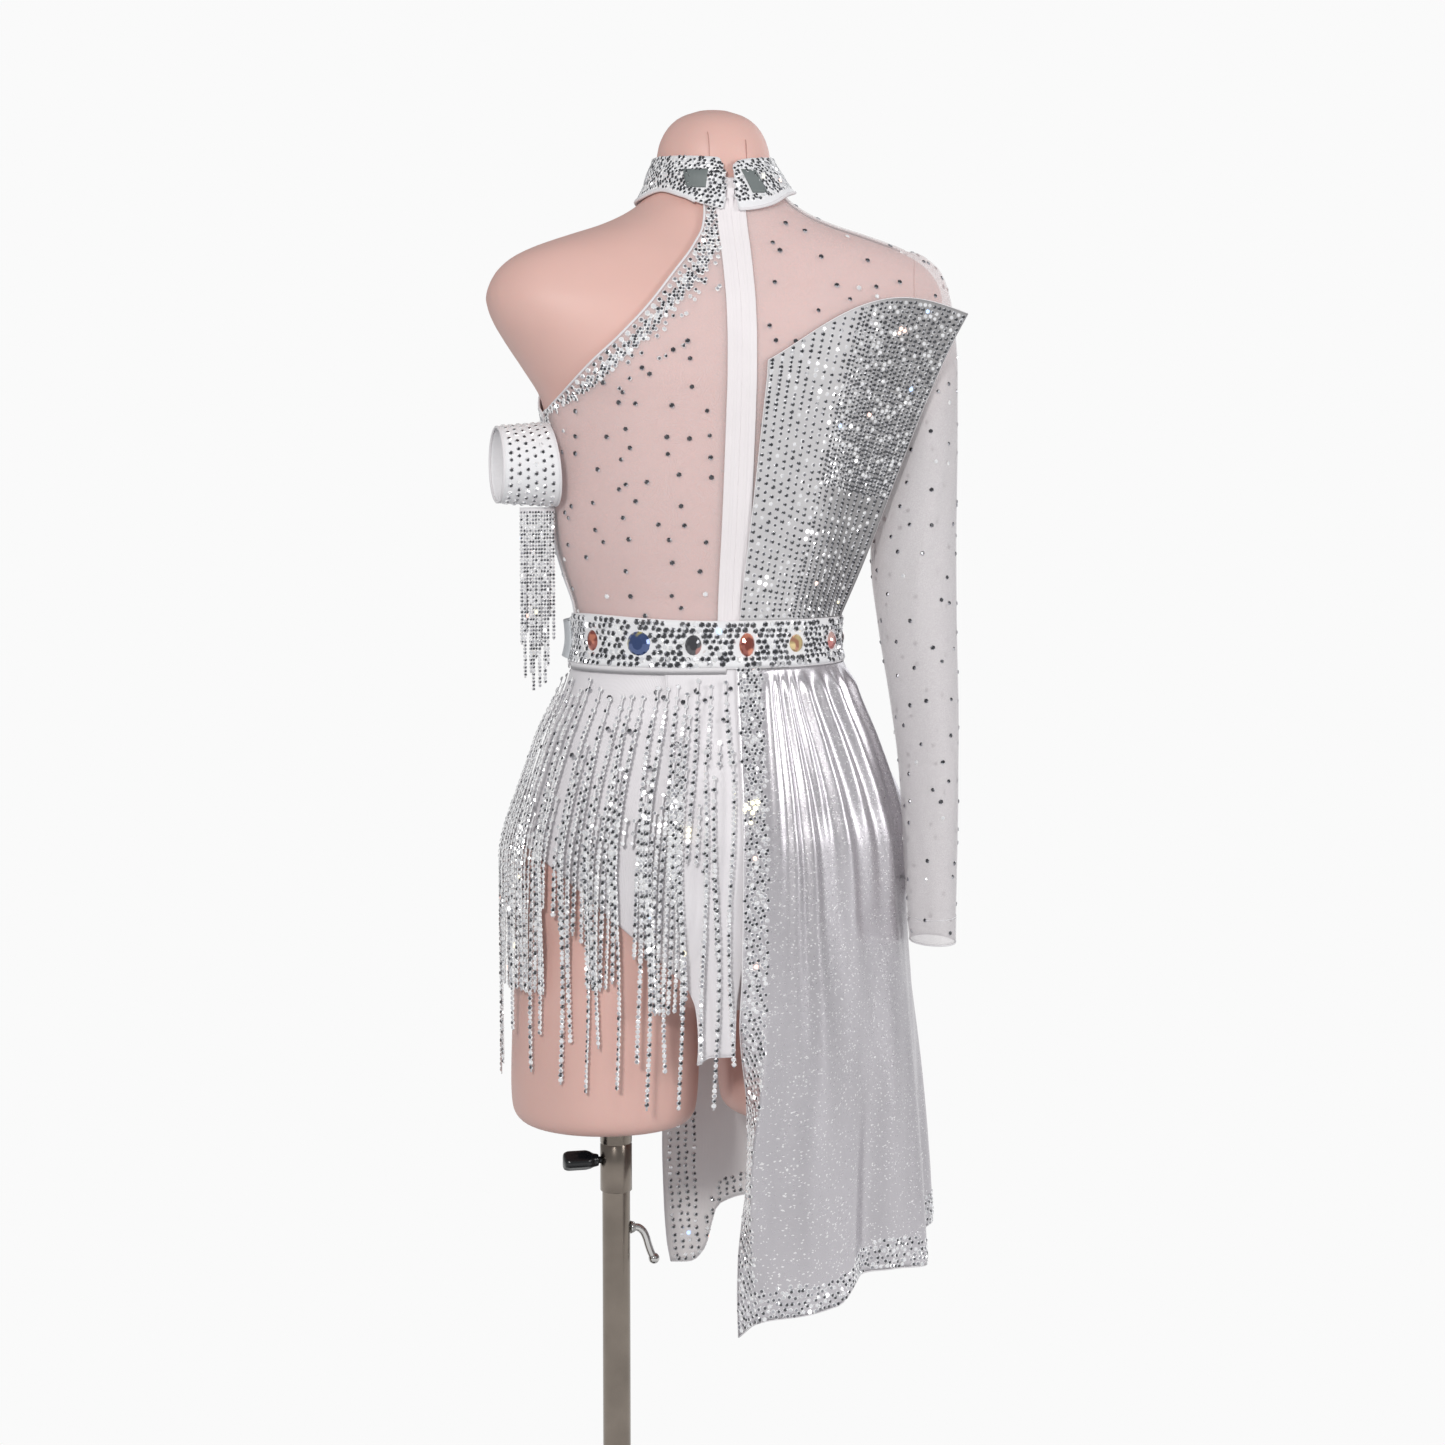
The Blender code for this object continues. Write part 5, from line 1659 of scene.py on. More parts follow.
@dataclass
class Collar:
    """The stoned stand collar, open at the zip, with a grey clasp plate on each side.

    A turn is in degrees from the centre back towards the right side.
    """

    edges: SmoothTable = SmoothTable(("turn", "bottom", "top"), (
        (3.8, 1.396, 1.4335), (10.0, 1.3965, 1.4377), (26.0, 1.3995, 1.4404), (62.0, 1.408, 1.4425),
        (95.0, 1.408, 1.4425), (140.0, 1.401, 1.4425), (180.0, 1.396, 1.4425), (225.0, 1.4005, 1.4425),
        (265.0, 1.4065, 1.4425), (298.0, 1.413, 1.4425), (324.0, 1.4069, 1.4418), (337.0, 1.4015, 1.4412),
        (350.8, 1.3975, 1.4402), (355.4, 1.3965, 1.4262),
    ))
    snug: float = 0.004
    snug_from: float = 1.4245
    snug_to: float = 1.4425
    flare: float = 0.005
    flare_turn: float = 90.0
    drawn_in: float = 0.0035
    drawn_turn: float = 280.0
    bound: float = 0.945
    plates: dict[str, tuple[float, ...]] = field(default_factory=lambda: {
        "left": (0.032, 0.019, 0.033, 0.016, 1.414, 1.43),
        "right": (-0.0175, -0.03, -0.0085, -0.0205, 1.41, 1.43),
    })
    cut: Cut = Cut(0.36, 0.045, Held.STRETCHED, 0.0118)

    def off(self, turn: float, z: float, lift: float = 0.0) -> Vector:
        """A point of the band's inner face, snug at the top and flared over the right shoulder.

        Args:
            turn: The turn from the centre back.
            z: The height.
            lift: How far above the inner face.

        Returns:
            The point.
        """
        bottom, top = self.edges.read("bottom", turn), self.edges.read("top", turn)
        up = min(1.0, max(0.0, (z - bottom) / (top - bottom)))
        out = COLLAR_OUT - self.snug * blend(self.snug_from, self.snug_to, z)
        flared = self.flare * bell(turn - self.flare_turn, 45.0)
        drawn = self.drawn_in * bell(turn - self.drawn_turn, 40.0)
        out += (flared - drawn) * (1 - up) ** 1.5
        return FORM.off(pi / 2 + radians(turn), z, out + lift)

    def place(self, across: float, up: float) -> Vector:
        """A point of the band's inner face.

        Args:
            across: The share across.
            up: The share up.

        Returns:
            The point.
        """
        turn = between(self.edges.starts[0], self.edges.starts[-1], across)
        bottom, top = self.edges.read("bottom", turn), self.edges.read("top", turn)
        return self.off(turn, between(bottom, top, up))

    def patch(self) -> Patch:
        """The band round the neck."""
        return Patch(self.place, 180, 16, 0.0018)

    def plate(self, sides: tuple[float, ...]) -> Patch:
        """One clasp plate, a slanted quad: two distances at its foot, two at its head, and two heights.

        Args:
            sides: Its distances to the side and its heights.

        Returns:
            The plate.
        """

        def place(across: float, up: float) -> Vector:
            """A point of the plate's inner face."""
            z = between(sides[4], sides[5], up)
            first, last = (sides[i] + (sides[i + 2] - sides[i]) * up for i in (0, 1))
            turn = math.degrees(FORM.angle_at(between(first, last, across), z)) - 90
            return self.off(turn % 360.0, z, 0.0019)

        return Patch(place, 12, 8, 0.0007)

    def covered(self, point: Vector) -> bool:
        """Whether a clasp plate covers that point of the back.

        Args:
            point: The point.

        Returns:
            Whether one does.
        """
        for first, last, high_first, high_last, low, high in self.plates.values():
            up = (point.z - low) / (high - low)
            left, right = between(first, high_first, up), between(last, high_last, up)
            if point.y > 0 and 0.03 < up < 0.97 and right + 0.0014 < point.x < left - 0.0014:
                return True
        return False

    def build(self, finishes: Finishes) -> None:
        """Builds and dresses the collar.

        Args:
            finishes: The shared finishes.
        """
        patch = self.patch()
        band = hand_over(patch.object("neck_band"), finishes.band, Slot.STONES, ["collar"])
        bed = StoneBed("neck_band_stones", 31, 0.002)

        def keep(across: float, up: float, start: float, end: float) -> bool:
            """Keeps a stone that no clasp plate covers, above the white foot."""
            foot = 0.15 if across < 0.5 else 0.07 if across < self.bound else 0.0
            return foot < up < 0.97 and not self.covered(patch.place(across, up))

        bed.fill(patch, 0.004, keep, 0.3, 1.12, Tone.DULL)
        trims = [
            bed.finished(finishes),
            piping("neck_band_top_binding", patch, Edge.HEAD, 0.0007, finishes, 180),
            piping("neck_band_foot_binding", patch, Edge.FOOT, 0.0015, finishes, 180, 0.0002,
                   share=self.bound),
            piping("neck_band_left_end", patch, Edge.END, 0.0006, finishes, 20),
            piping("neck_band_right_end", patch, Edge.START, 0.0006, finishes, 20),
        ]
        grey = StretchCloth("grey_clasp", (0.18, 0.205, 0.205), roughness=0.4, sheen=0.0).make()
        for word, sides in self.plates.items():
            plate = self.plate(sides).object(f"neck_clasp_{word}")
            trims.append(hand_over(plate, grey, Slot.STONES))
        self.cut.declare(band, ["form_skin"], trims)


@dataclass
class WingPanel:
    """The stoned panel over the right shoulder blade, which stands free at its outer corner."""

    crown: float = 0.028
    pitch: float = 0.0057
    open_rows: int = 9
    open_gap: float = 0.052
    close_rows: int = 22
    close_gap: float = 0.0246
    close_from: float = 0.47
    edges: SmoothTable = SmoothTable(("up", "inner_x", "inner_z", "outer_x", "outer_y", "outer_z"), (
        (0.0, -0.0062, 1.0565, -0.1075, 0.02, 1.0565), (0.25, -0.0106, 1.118, -0.1241, 0.035, 1.1046),
        (0.45, -0.0148, 1.176, -0.1396, 0.05, 1.1561), (0.7, -0.019, 1.234, -0.1611, 0.068, 1.224),
        (0.9, -0.0212, 1.262, -0.184, 0.079, 1.2828), (1.0, -0.0218, 1.2733, -0.199, 0.084, 1.3129),
    ))
    cut: Cut = Cut(0.185, 0.27, Held.HUNG, 0.037)

    def place(self, across: float, up: float) -> Vector:
        """A point of the panel's inner face.

        Args:
            across: The share across.
            up: The share up.

        Returns:
            The point.
        """
        read = self.edges.read
        inner = Vector((read("inner_x", up), 0.0, read("inner_z", up)))
        outer = Vector((read("outer_x", up), read("outer_y", up), read("outer_z", up)))
        inner.y = FORM.back_at(inner.x, inner.z) + WING_OUT
        point = inner.lerp(outer, across)
        point.z += self.crown * up**3 * sin(pi * across**1.15)
        if abs(point.x) < FORM.at("half_width", point.z):
            out = FORM.normal(FORM.angle_at(point.x, point.z), point.z)
            slack = min(WING_OUT / max(out.y, 0.3), 0.016)
            point.y = max(point.y, FORM.back_at(point.x, point.z) + slack)
        return point

    def patch(self) -> Patch:
        """The panel, close over the waist and free of the shoulder."""
        return Patch(self.place, 84, 96, 0.0012)

    def stones(self, patch: Patch) -> StoneBed:
        """Lengthwise rows that fan out towards the shoulder, closer on the outer side.

        Args:
            patch: The panel.

        Returns:
            The stones.
        """
        flashes = flashing((-0.1392, 1.3004, 0.3), (-0.0792, 1.2529, 0.5), (-0.0636, 1.1283, 0.9),
                           (-0.0294, 1.0927, 0.9))
        bed = StoneBed("wing_stones", 41, 0.002, flashes)
        for order in range(self.open_rows):
            across = 0.018 + self.open_gap * order
            bed.row(patch, (across, 0.004), (across, 0.996), self.pitch, 1.12, Tone.DULL)
        for order in range(self.close_rows):
            across = self.close_from + self.close_gap * order
            # Every other outer row takes the darkest tone, partly a pattern of dark columns and partly
            # painted shade on the outer side.
            start, tone = (0.45, Tone.DULL) if order % 2 else (0.004, Tone.SHADE)
            bed.row(patch, (across, start), (across, 0.995), self.pitch * 0.66, 1.02, tone)
        return bed

    def build(self, finishes: Finishes) -> None:
        """Builds and dresses the panel.

        Args:
            finishes: The shared finishes.
        """
        patch = self.patch()
        panel = hand_over(patch.object("wing_cloth"), finishes.silver, Slot.STONES, ["wing_panel"])
        trims = [self.stones(patch).finished(finishes)]
        for word, edge in (("inner", Edge.START), ("top", Edge.HEAD), ("outer", Edge.END)):
            trims.append(piping(f"wing_{word}_binding", patch, edge, 0.0006, finishes))
        self.cut.declare(panel, ["bodice_back_right", "waist_belt"], trims)


@dataclass
class Sleeve:
    """The long sheer right sleeve, sewn to the armhole and hanging straight."""

    sides: int = 84
    rows: int = 150
    hem: float = 0.043
    armhole_gap: float = 0.0006
    ring_steps: int = 12
    seam_from: float = 11.4
    rings: SmoothTable = SmoothTable((
        "along", "inner_x", "inner_z", "outer_x", "outer_z", "half_depth", "y"), (
        (0.0, -0.1644, 0.7765, -0.1985, 0.7775, 0.031, 0.055),
        (0.04, -0.1623, 0.7945, -0.1988, 0.7965, 0.0315, 0.055),
        (0.12, -0.1601, 0.84, -0.2004, 0.842, 0.034, 0.052),
        (0.2, -0.1591, 0.885, -0.2021, 0.886, 0.037, 0.048),
        (0.3, -0.1577, 0.93, -0.2037, 0.933, 0.04, 0.042),
        (0.4, -0.1531, 0.98, -0.2055, 0.986, 0.0435, 0.034),
        (0.5, -0.145, 1.044, -0.2075, 1.06, 0.0465, 0.024), (0.6, -0.14, 1.1, -0.2092, 1.13, 0.0485, 0.017),
        (0.7, -0.1436, 1.15, -0.2108, 1.205, 0.05, 0.013),
        (0.78, -0.1492, 1.183, -0.2102, 1.27, 0.051, 0.012),
        (0.86, -0.152, 1.208, -0.2055, 1.318, 0.0515, 0.012),
        (0.93, -0.1556, 1.224, -0.197, 1.348, 0.0525, 0.012),
        (1.0, -0.1576, 1.2345, -0.183, 1.365, 0.0535, 0.012),
    ))
    creases: tuple[Crease, ...] = (
        Crease(0.2, 0.52, 0.55, 0.03, 0.07, 0.0016), Crease(0.3, 0.6, 0.7, 0.034, 0.08, -0.0014),
        Crease(0.1, 0.74, 0.9, 0.032, 0.09, 0.0018), Crease(0.06, 0.84, 1.1, 0.03, 0.07, -0.0015),
        Crease(0.36, 0.3, 0.5, 0.04, 0.09, 0.0012), Crease(0.14, 0.16, -0.5, 0.036, 0.08, 0.0012),
        Crease(0.66, 0.5, -0.6, 0.04, 0.09, 0.0014), Crease(0.84, 0.76, -0.9, 0.036, 0.09, 0.0015),
        Crease(0.74, 0.26, 0.5, 0.04, 0.1, -0.0012),
    )
    cut: Cut = Cut(0.34, 0.6, Held.HUNG, 0.135)

    def patch(self, bodice: Bodice) -> Patch:
        """The sleeve as rings from the cuff up, the last one on the bodice's armhole.

        Args:
            bodice: The bodice that it is sewn to.

        Returns:
            The sleeve.
        """
        middle = (bodice.armhole_top + bodice.armhole_bottom) / 2
        half = (bodice.armhole_top - bodice.armhole_bottom) / 2
        read = self.rings.read

        def ring(turn: float, along: float) -> Vector:
            """A point of a ring below the armhole."""
            inner = Vector((read("inner_x", along), read("y", along), read("inner_z", along)))
            outer = Vector((read("outer_x", along), read("y", along), read("outer_z", along)))
            depth = Vector((0.0, read("half_depth", along) * sin(turn), 0.0))
            return (inner + outer) / 2 + (inner - outer) / 2 * cos(turn) + depth

        def seam(turn: float) -> Vector:
            """A point of the armhole seam."""
            z = middle - (half - self.armhole_gap) * cos(turn)
            angle = FORM.angle_at(-(bodice.armhole.read("x", z) + self.armhole_gap), z)
            return FORM.off(angle if turn <= pi else 2 * pi - angle, z, BODICE_OUT)

        def place(across: float, up: float) -> Vector:
            """A point of the sleeve's inner face."""
            turn, step = 2 * pi * across, up * (self.ring_steps + 1)
            along = min(step / self.ring_steps, 1.0)
            point = ring(turn, along)
            if step > self.seam_from:
                point = point.lerp(seam(turn), blend(self.seam_from, self.ring_steps + 1, step))
            if up < 0.95:
                lift = sum(crease.lift(across, up) for crease in self.creases)
                lift += 0.0004 * (1 - blend(self.hem - 0.003, self.hem, up))
                away = point - (ring(0.0, along) + ring(pi, along)) / 2
                point = point + away.normalized() * lift
            return point

        return Patch(place, self.sides, self.rows, 0.0008)

    def build(self, finishes: Finishes, bodice: Bodice) -> None:
        """Builds and dresses the sleeve.

        Args:
            finishes: The shared finishes.
            bodice: The bodice that it is sewn to.
        """
        patch = self.patch(bodice)
        sleeve = hand_over(patch.object("right_sleeve"), finishes.sleeve, Slot.SHEER, ["sleeve"])
        bed = StoneBed("right_sleeve_stones", 51)

        def keep(across: float, up: float, start: float, end: float) -> bool:
            """Keeps the stones clear of the seam and of the cuff's edge."""
            return 0.012 < up < 0.97

        bed.fill(patch, 0.0275, keep, 0.4, 1.15, Tone.LONE)
        steps = 120
        hem_line = [patch.spot(i / steps, self.hem, 0.0001)[0] for i in range(steps)]
        stitch = hand_over(tube("sleeve_hem_stitch", hem_line, 0.0003, True), finishes.band, Slot.LYCRA)
        trims = [
            bed.finished(finishes),
            stitch,
            piping("sleeve_cuff_edge", patch, Edge.FOOT, 0.0007, finishes, 120, closed=True),
        ]
        self.cut.declare(sleeve, ["bodice_back_right", "bodice_front"], trims)


@dataclass
class Belt:
    """The stoned belt with large coloured stones, and its free end at the left hip."""

    gems: int = 14
    first_gem: float = 0.0352
    gem_depth: float = 0.0034
    pitch: float = 0.0054
    sizes: tuple[Pair, ...] = (
        (0.0062, 0.0095), (0.01, 0.011), (0.007, 0.009), (0.007, 0.0105), (0.007, 0.008), (0.0064, 0.0082),
        (0.007, 0.009), (0.0085, 0.01), (0.007, 0.01), (0.007, 0.0085), (0.0064, 0.009), (0.008, 0.01),
        (0.007, 0.0095),
    )
    looks: tuple[int, ...] = (2, 0, 1, 2, 3, 4, 1, 0, 2, 3, 4, 1, 0)
    bulge: float = 0.0055
    tab_angles: Pair = (-34, 30)
    tab_out: float = 0.0105
    cut: Cut = Cut(0.72, 0.04, Held.STRETCHED, 0.0285)

    def place(self, across: float, up: float) -> Vector:
        """A point of the band's inner face.

        Args:
            across: The share across.
            up: The share up.

        Returns:
            The point.
        """
        top = BELT_TOP + self.bulge * bell(2 * pi * across - 0.35, 0.7)
        return FORM.off(2 * pi * across, between(BELT_BOTTOM, top, up), BELT_OUT)

    def patch(self) -> Patch:
        """The band round the waist, as a closed ring."""
        return Patch(self.place, 200, 12, BELT_WALL)

    def gem_places(self, patch: Patch) -> list[float]:
        """The shares across at which the large stones lie, equal lengths apart.

        Args:
            patch: The band.

        Returns:
            The shares.
        """
        run = lengths(patch.line((0.0, 0.5), (1.0, 0.5), 720))
        wanted = [self.first_gem + order * run[-1] / self.gems for order in range(self.gems - 1)]
        return [bisect_right(run, along) / 720 for along in wanted]

    def gem(self, name: str, patch: Patch, across: float, half: Pair) -> Object:
        """One oval stone with a ring of facets below its table.

        Args:
            name: Its name.
            patch: The band.
            across: Where it lies.
            half: Half its width and half its height.

        Returns:
            The stone.
        """
        point, facing = patch.spot(across, 0.5, SEATED)
        up = Vector((0.0, 0.0, 1.0))
        side = up.cross(facing).normalized()
        up = facing.cross(side)
        frame_of = Matrix((side, up, facing)).transposed().to_4x4()
        frame_of.translation = point
        bm = bmesh.new()
        lower, upper = 0.62, 0.38
        for wide, narrow, low, share in ((1.0, 0.8, 0.0, lower), (0.8, 0.46, lower, upper)):
            made = bmesh.ops.create_cone(bm, cap_ends=low > 0, segments=16, radius1=wide, radius2=narrow,
                                         depth=share)["verts"]
            bmesh.ops.translate(bm, vec=(0.0, 0.0, low + share / 2), verts=made)
        bmesh.ops.remove_doubles(bm, verts=bm.verts, dist=0.001)
        bmesh.ops.scale(bm, vec=(*half, self.gem_depth), verts=bm.verts)
        bmesh.ops.transform(bm, matrix=frame_of, verts=bm.verts)
        return object_of(name, bm, smooth=False)

    def on_tab(self, across: float, up: float) -> Vector:
        """A point of the tab's inner face.

        Args:
            across: The share across.
            up: The share up.

        Returns:
            The point.
        """
        angle = radians(self.tab_angles[0] + self.tab_angles[1] * across)
        out = BELT_OUT + BELT_WALL + 0.0004 + self.tab_out * (1 - across) ** 0.7
        return FORM.off(angle, BELT_BOTTOM + 0.002 + (BELT_TOP - BELT_BOTTOM - 0.004) * up, out)

    def tab(self) -> Patch:
        """The belt's free end, which stands off the left hip."""
        return Patch(self.on_tab, 24, 14, 0.0012)

    def build(self, finishes: Finishes) -> None:
        """Builds and dresses the belt, its stones and its tab.

        Args:
            finishes: The shared finishes.
        """
        patch = self.patch()
        band = hand_over(patch.object("waist_belt"), finishes.band, Slot.STONES, ["belt"])
        places = self.gem_places(patch)
        length = patch.size()[0]
        bed = StoneBed("waist_belt_stones", 61, 0.0029)

        def keep(across: float, up: float, start: float, end: float) -> bool:
            """Keeps a stone that is clear of the large ones and of the bindings."""
            rise = (up - 0.5) * (BELT_TOP - BELT_BOTTOM)
            for at, (wide, tall) in zip(places, self.sizes):
                aside = (across - at) * length
                if (aside / (wide + 0.0018)) ** 2 + (rise / (tall + 0.0018)) ** 2 < 1:
                    return False
            return 0.05 < up < 0.95

        bed.fill(patch, self.pitch, keep, 0.16, 1.04, Tone.SHADE)
        looks = [
            LargeCrystal("large_crystal_blue", (0.03, 0.07, 0.22), (0.62, 0.55, 0.2), 0.6).make(),
            LargeCrystal("large_crystal_smoke", (0.06, 0.06, 0.07), (0.45, 0.2, 0.18), 0.62).make(),
            LargeCrystal("large_crystal_red", (0.3, 0.06, 0.04), (0.75, 0.25, 0.15), 0.52).make(),
            LargeCrystal("large_crystal_gold", (0.8, 0.62, 0.3), (0.55, 0.25, 0.15), 0.55).make(),
            LargeCrystal("large_crystal_rose", (0.55, 0.18, 0.17), (0.85, 0.55, 0.5), 0.5).make(),
        ]
        trims = [bed.finished(finishes)]
        for order, at in enumerate(places):
            gem = self.gem(f"belt_crystal_{order + 1}", patch, at, self.sizes[order])
            trims.append(hand_over(gem, looks[self.looks[order]], Slot.STONES))
        trims.append(piping("belt_top_binding", patch, Edge.HEAD, 0.0011, finishes, 200, closed=True))
        trims.append(piping("belt_foot_binding", patch, Edge.FOOT, 0.0011, finishes, 200, closed=True))
        self.cut.declare(band, ["form_skin", "hip_briefs"], trims)
        tab_patch = self.tab()
        tab = hand_over(tab_patch.object("belt_free_end"), finishes.tab, Slot.LYCRA, ["belt_tab"])
        Cut(0.057, 0.036, Held.HUNG, 0.00205).declare(tab, ["waist_belt"], [])


@dataclass
class HalfSkirt:
    """The gathered satin skirt over the right hip, with a handkerchief point at each end.

    Its first columns are the stoned band that folds in along the back edge; the rest run round the hip, whose
    shares are counted from the centre back.
    """

    band_share: float = 2 / 44
    band_width: float = 0.022
    fold_hip: float = 0.03
    drapes: int = 5
    drape_depth: float = 0.0085
    drape_start: float = 0.86
    drape_full: float = 0.48
    flap_out: float = 0.014
    flap_low: float = 0.852
    flap_high: float = 0.936
    ripples: int = 13
    ripple_depth: float = 0.0026
    columns: int = 220
    rows: int = 112
    border: float = 0.02
    hem_border: float = 0.024
    hang: SmoothTable = SmoothTable(("z", "half_width", "back", "front"), (
        (0.43, 0.1915, 0.106, -0.142), (0.519, 0.188, 0.104, -0.14), (0.583, 0.1855, 0.1025, -0.1385),
        (0.665, 0.1825, 0.101, -0.1365), (0.7466, 0.1775, 0.099, -0.1345), (0.8, 0.173, 0.0975, -0.1325),
        (0.86, 0.166, 0.0945, -0.129), (0.95, 0.14, 0.075, -0.115),
    ))
    band: SmoothTable = SmoothTable(("z", "fold_x", "turn"), (
        (0.44, -0.012, 55.0), (0.48, -0.0103, 58.0), (0.509, -0.0092, 64.0), (0.545, -0.006, 84.0),
        (0.59, -0.0061, 96.0), (0.61, -0.0077, 94.0), (0.64, -0.0121, 81.0), (0.657, -0.0147, 72.0),
        (0.7, -0.0186, 38.0), (0.735, -0.0202, 8.0), (0.76, -0.021, 0.0), (0.86, -0.0232, 0.0),
        (1.016, -0.0245, 0.0),
    ))
    front: SmoothTable = SmoothTable(("z", "x"), (
        (0.4546, 0.0026), (0.4755, 0.0063), (0.513, 0.0091), (0.572, 0.0109), (0.65, 0.008), (0.75, 0.0),
        (0.85, -0.0035), (1.016, -0.0035),
    ))
    hem: SmoothTable = SmoothTable(("hip", "z"), (
        (0.0, 0.449), (0.03, 0.465), (0.065, 0.47), (0.122, 0.476), (0.158, 0.492), (0.212, 0.4965),
        (0.317, 0.494), (0.377, 0.4985), (0.45, 0.513), (0.5, 0.517), (0.62, 0.522), (0.75, 0.521),
        (0.88, 0.513), (0.932, 0.5035), (0.954, 0.4645), (0.977, 0.4534), (1.0, 0.4546),
    ))
    folds: tuple[tuple[float, float, float, float, float], ...] = (
        (0.046, 0.0036, 0.007, 0.3, 0.01), (0.068, 0.0056, 0.007, 0.42, 0.022),
        (0.098, 0.0062, 0.008, 0.36, 0.034), (0.128, 0.0046, 0.007, 0.16, 0.06),
        (0.16, 0.0078, 0.011, 0.29, 0.1), (0.212, 0.0066, 0.012, 0.2, 0.15),
        (0.262, 0.0082, 0.015, 0.3, 0.16), (0.318, 0.005, 0.012, 0.15, 0.14),
        (0.375, 0.0074, 0.015, 0.26, 0.12), (0.436, 0.0056, 0.013, 0.18, 0.06),
        (0.5, 0.0058, 0.014, 0.16, 0.0), (0.57, 0.0048, 0.013, 0.16, -0.06),
        (0.64, 0.006, 0.014, 0.22, -0.1), (0.705, 0.005, 0.012, 0.16, -0.14),
        (0.765, 0.0062, 0.013, 0.23, -0.14), (0.825, 0.0048, 0.011, 0.16, -0.1),
        (0.88, 0.006, 0.012, 0.25, -0.05), (0.935, 0.0046, 0.01, 0.2, -0.02),
    )
    cut: Cut = Cut(0.74, 0.6, Held.GATHERED, 0.27)
    drawn: dict[float, Pair] = field(default_factory=dict)

    def gathers(self, hip: float, z: float) -> float:
        """How far the uneven gathers stand out there: each fold is a place, height, width, reach and lean.

        Args:
            hip: The share round the hip.
            z: The height.

        Returns:
            The distance.
        """
        drop = SKIRT_TOP - z
        total = 0.0
        for at, height, width, reach, lean in self.folds:
            fade = blend(0.001, 0.022, drop) * (1 - blend(reach * 0.35, reach * 1.15, drop))
            if fade > 0:
                total += height * fade * bell(hip - at - lean * drop, width * (1 + drop * 3.0))
        return total

    def hung(self, hip: float, z: float) -> Vector:
        """The inner face before its edges are drawn to where they hang.

        Args:
            hip: The share round the hip.
            z: The height.

        Returns:
            The point.
        """
        angle = pi / 2 + pi * hip
        edge = bell(hip, 0.07) + bell(1 - hip, 0.07)
        out = SKIRT_OUT + 0.0018 * bell(hip, 0.08)
        half_width, back = FORM.at("half_width", z) + out, FORM.at("back", z) + out
        front = FORM.at("front", z) - out
        if z < 0.95:
            half_width = max(half_width, self.hang.read("half_width", z))
            back = max(back, self.hang.read("back", z))
            front = min(front, self.hang.read("front", z))
        x, y = rounded(angle, half_width, (back - front) / 2, FORM.at("square", max(z, 0.86)))
        fall = blend(self.drape_start, self.drape_full, z)
        lift = self.drape_depth * fall * (1 - cos(2 * pi * self.drapes * hip)) * (1 - 0.6 * edge)
        rise = max(0.0, min((self.flap_high - z) / 0.051, (z - self.flap_low) / 0.033))
        lift += self.flap_out * bell(hip - 0.5, 0.03) * rise
        ripple = sin(2 * pi * (self.ripples * hip + 0.5 * sin(5 * z)))
        lift += self.ripple_depth * fall * ripple * (1 - edge)
        lift += self.gathers(hip, z) * (1 - 0.5 * edge)
        outward = Vector((x / half_width, y / ((back - front) / 2), 0.0)).normalized()
        return Vector((x, y + (back + front) / 2, z)) + outward * lift

    def face(self, hip: float, z: float) -> Vector:
        """A point of the inner face, once the back fold and the front edge hang where they do.

        Args:
            hip: The share round the hip.
            z: The height.

        Returns:
            The point.
        """
        if z not in self.drawn:
            self.drawn[z] = (self.band.read("fold_x", z) - self.hung(self.fold_hip, z).x,
                             self.front.read("x", z) - self.hung(1.0, z).x)
        point, (back, front) = self.hung(hip, z), self.drawn[z]
        point.x += back * bell(hip - self.fold_hip, 0.08) + front * bell(1 - hip, 0.08)
        return point

    def place(self, across: float, up: float) -> Vector:
        """A point of the skirt's inner face.

        Args:
            across: The share across.
            up: The share up.

        Returns:
            The point.
        """
        banded = min(1.0, across / self.band_share)
        wide = max(0.0, across - self.band_share) / (1 - self.band_share)
        hip = self.fold_hip + (1 - self.fold_hip) * wide
        low = self.hem.read("z", hip if banded == 1.0 else self.fold_hip * banded)
        z = low + (SKIRT_TOP - low) * (1 - (1 - up) ** 1.15)
        turn = radians(self.band.read("turn", z))
        inward = Vector((cos(turn), -sin(turn), 0.0))
        return self.face(hip, z) + inward * self.band_width * (1 - banded)

    def patch(self) -> Patch:
        """The skirt from its hem up to the belt."""
        return Patch(self.place, self.columns, self.rows, 0.0008)

    def stones(self, patch: Patch) -> list[StoneBed]:
        """The stones of the folded band, the front border and the hem, and inside along the front edge.

        Args:
            patch: The skirt.

        Returns:
            One bed outside and one inside.
        """
        outer = StoneBed("half_skirt_stones", 71, 0.0023, flashing((-0.0084, 0.9005, 0.5)))

        def on_edges(across: float, up: float, start: float, end: float) -> bool:
            """Keeps a stone of the band, of the front border or of the hem's."""
            if across < self.band_share:
                return start > 0.0012
            if end < self.border:
                return end > 0.0015
            if up > 0.2:
                return False
            hip = self.fold_hip + (1 - self.fold_hip) * (across - self.band_share) / (1 - self.band_share)
            above = patch.place(across, up).z - self.hem.read("z", hip)
            return 0.0015 < above < self.hem_border + 0.003 * sin(31 * hip)

        outer.fill(patch, 0.0046, on_edges, 0.22)
        inner = StoneBed("half_skirt_inner_stones", 72, 0.0023)
        at_edge, at_hem, deep = 100, 56, 4
        places = [(0.992 - 0.0098 * i, step / at_edge) for i in range(deep) for step in range(at_edge)]
        places += [(0.95 - 0.009 * step, 0.008 + 0.0085 * i) for i in range(deep) for step in range(at_hem)]
        for across, up in places:
            stray = inner.dice.uniform(-0.0012, 0.0012), inner.dice.uniform(-0.0015, 0.0015)
            point, facing = patch.spot(across + stray[0], min(max(up + stray[1], 0.004), 0.996))
            inner.put(point - facing * (patch.wall + 0.0002), -facing, tone=Tone.RING)
        return [outer, inner]

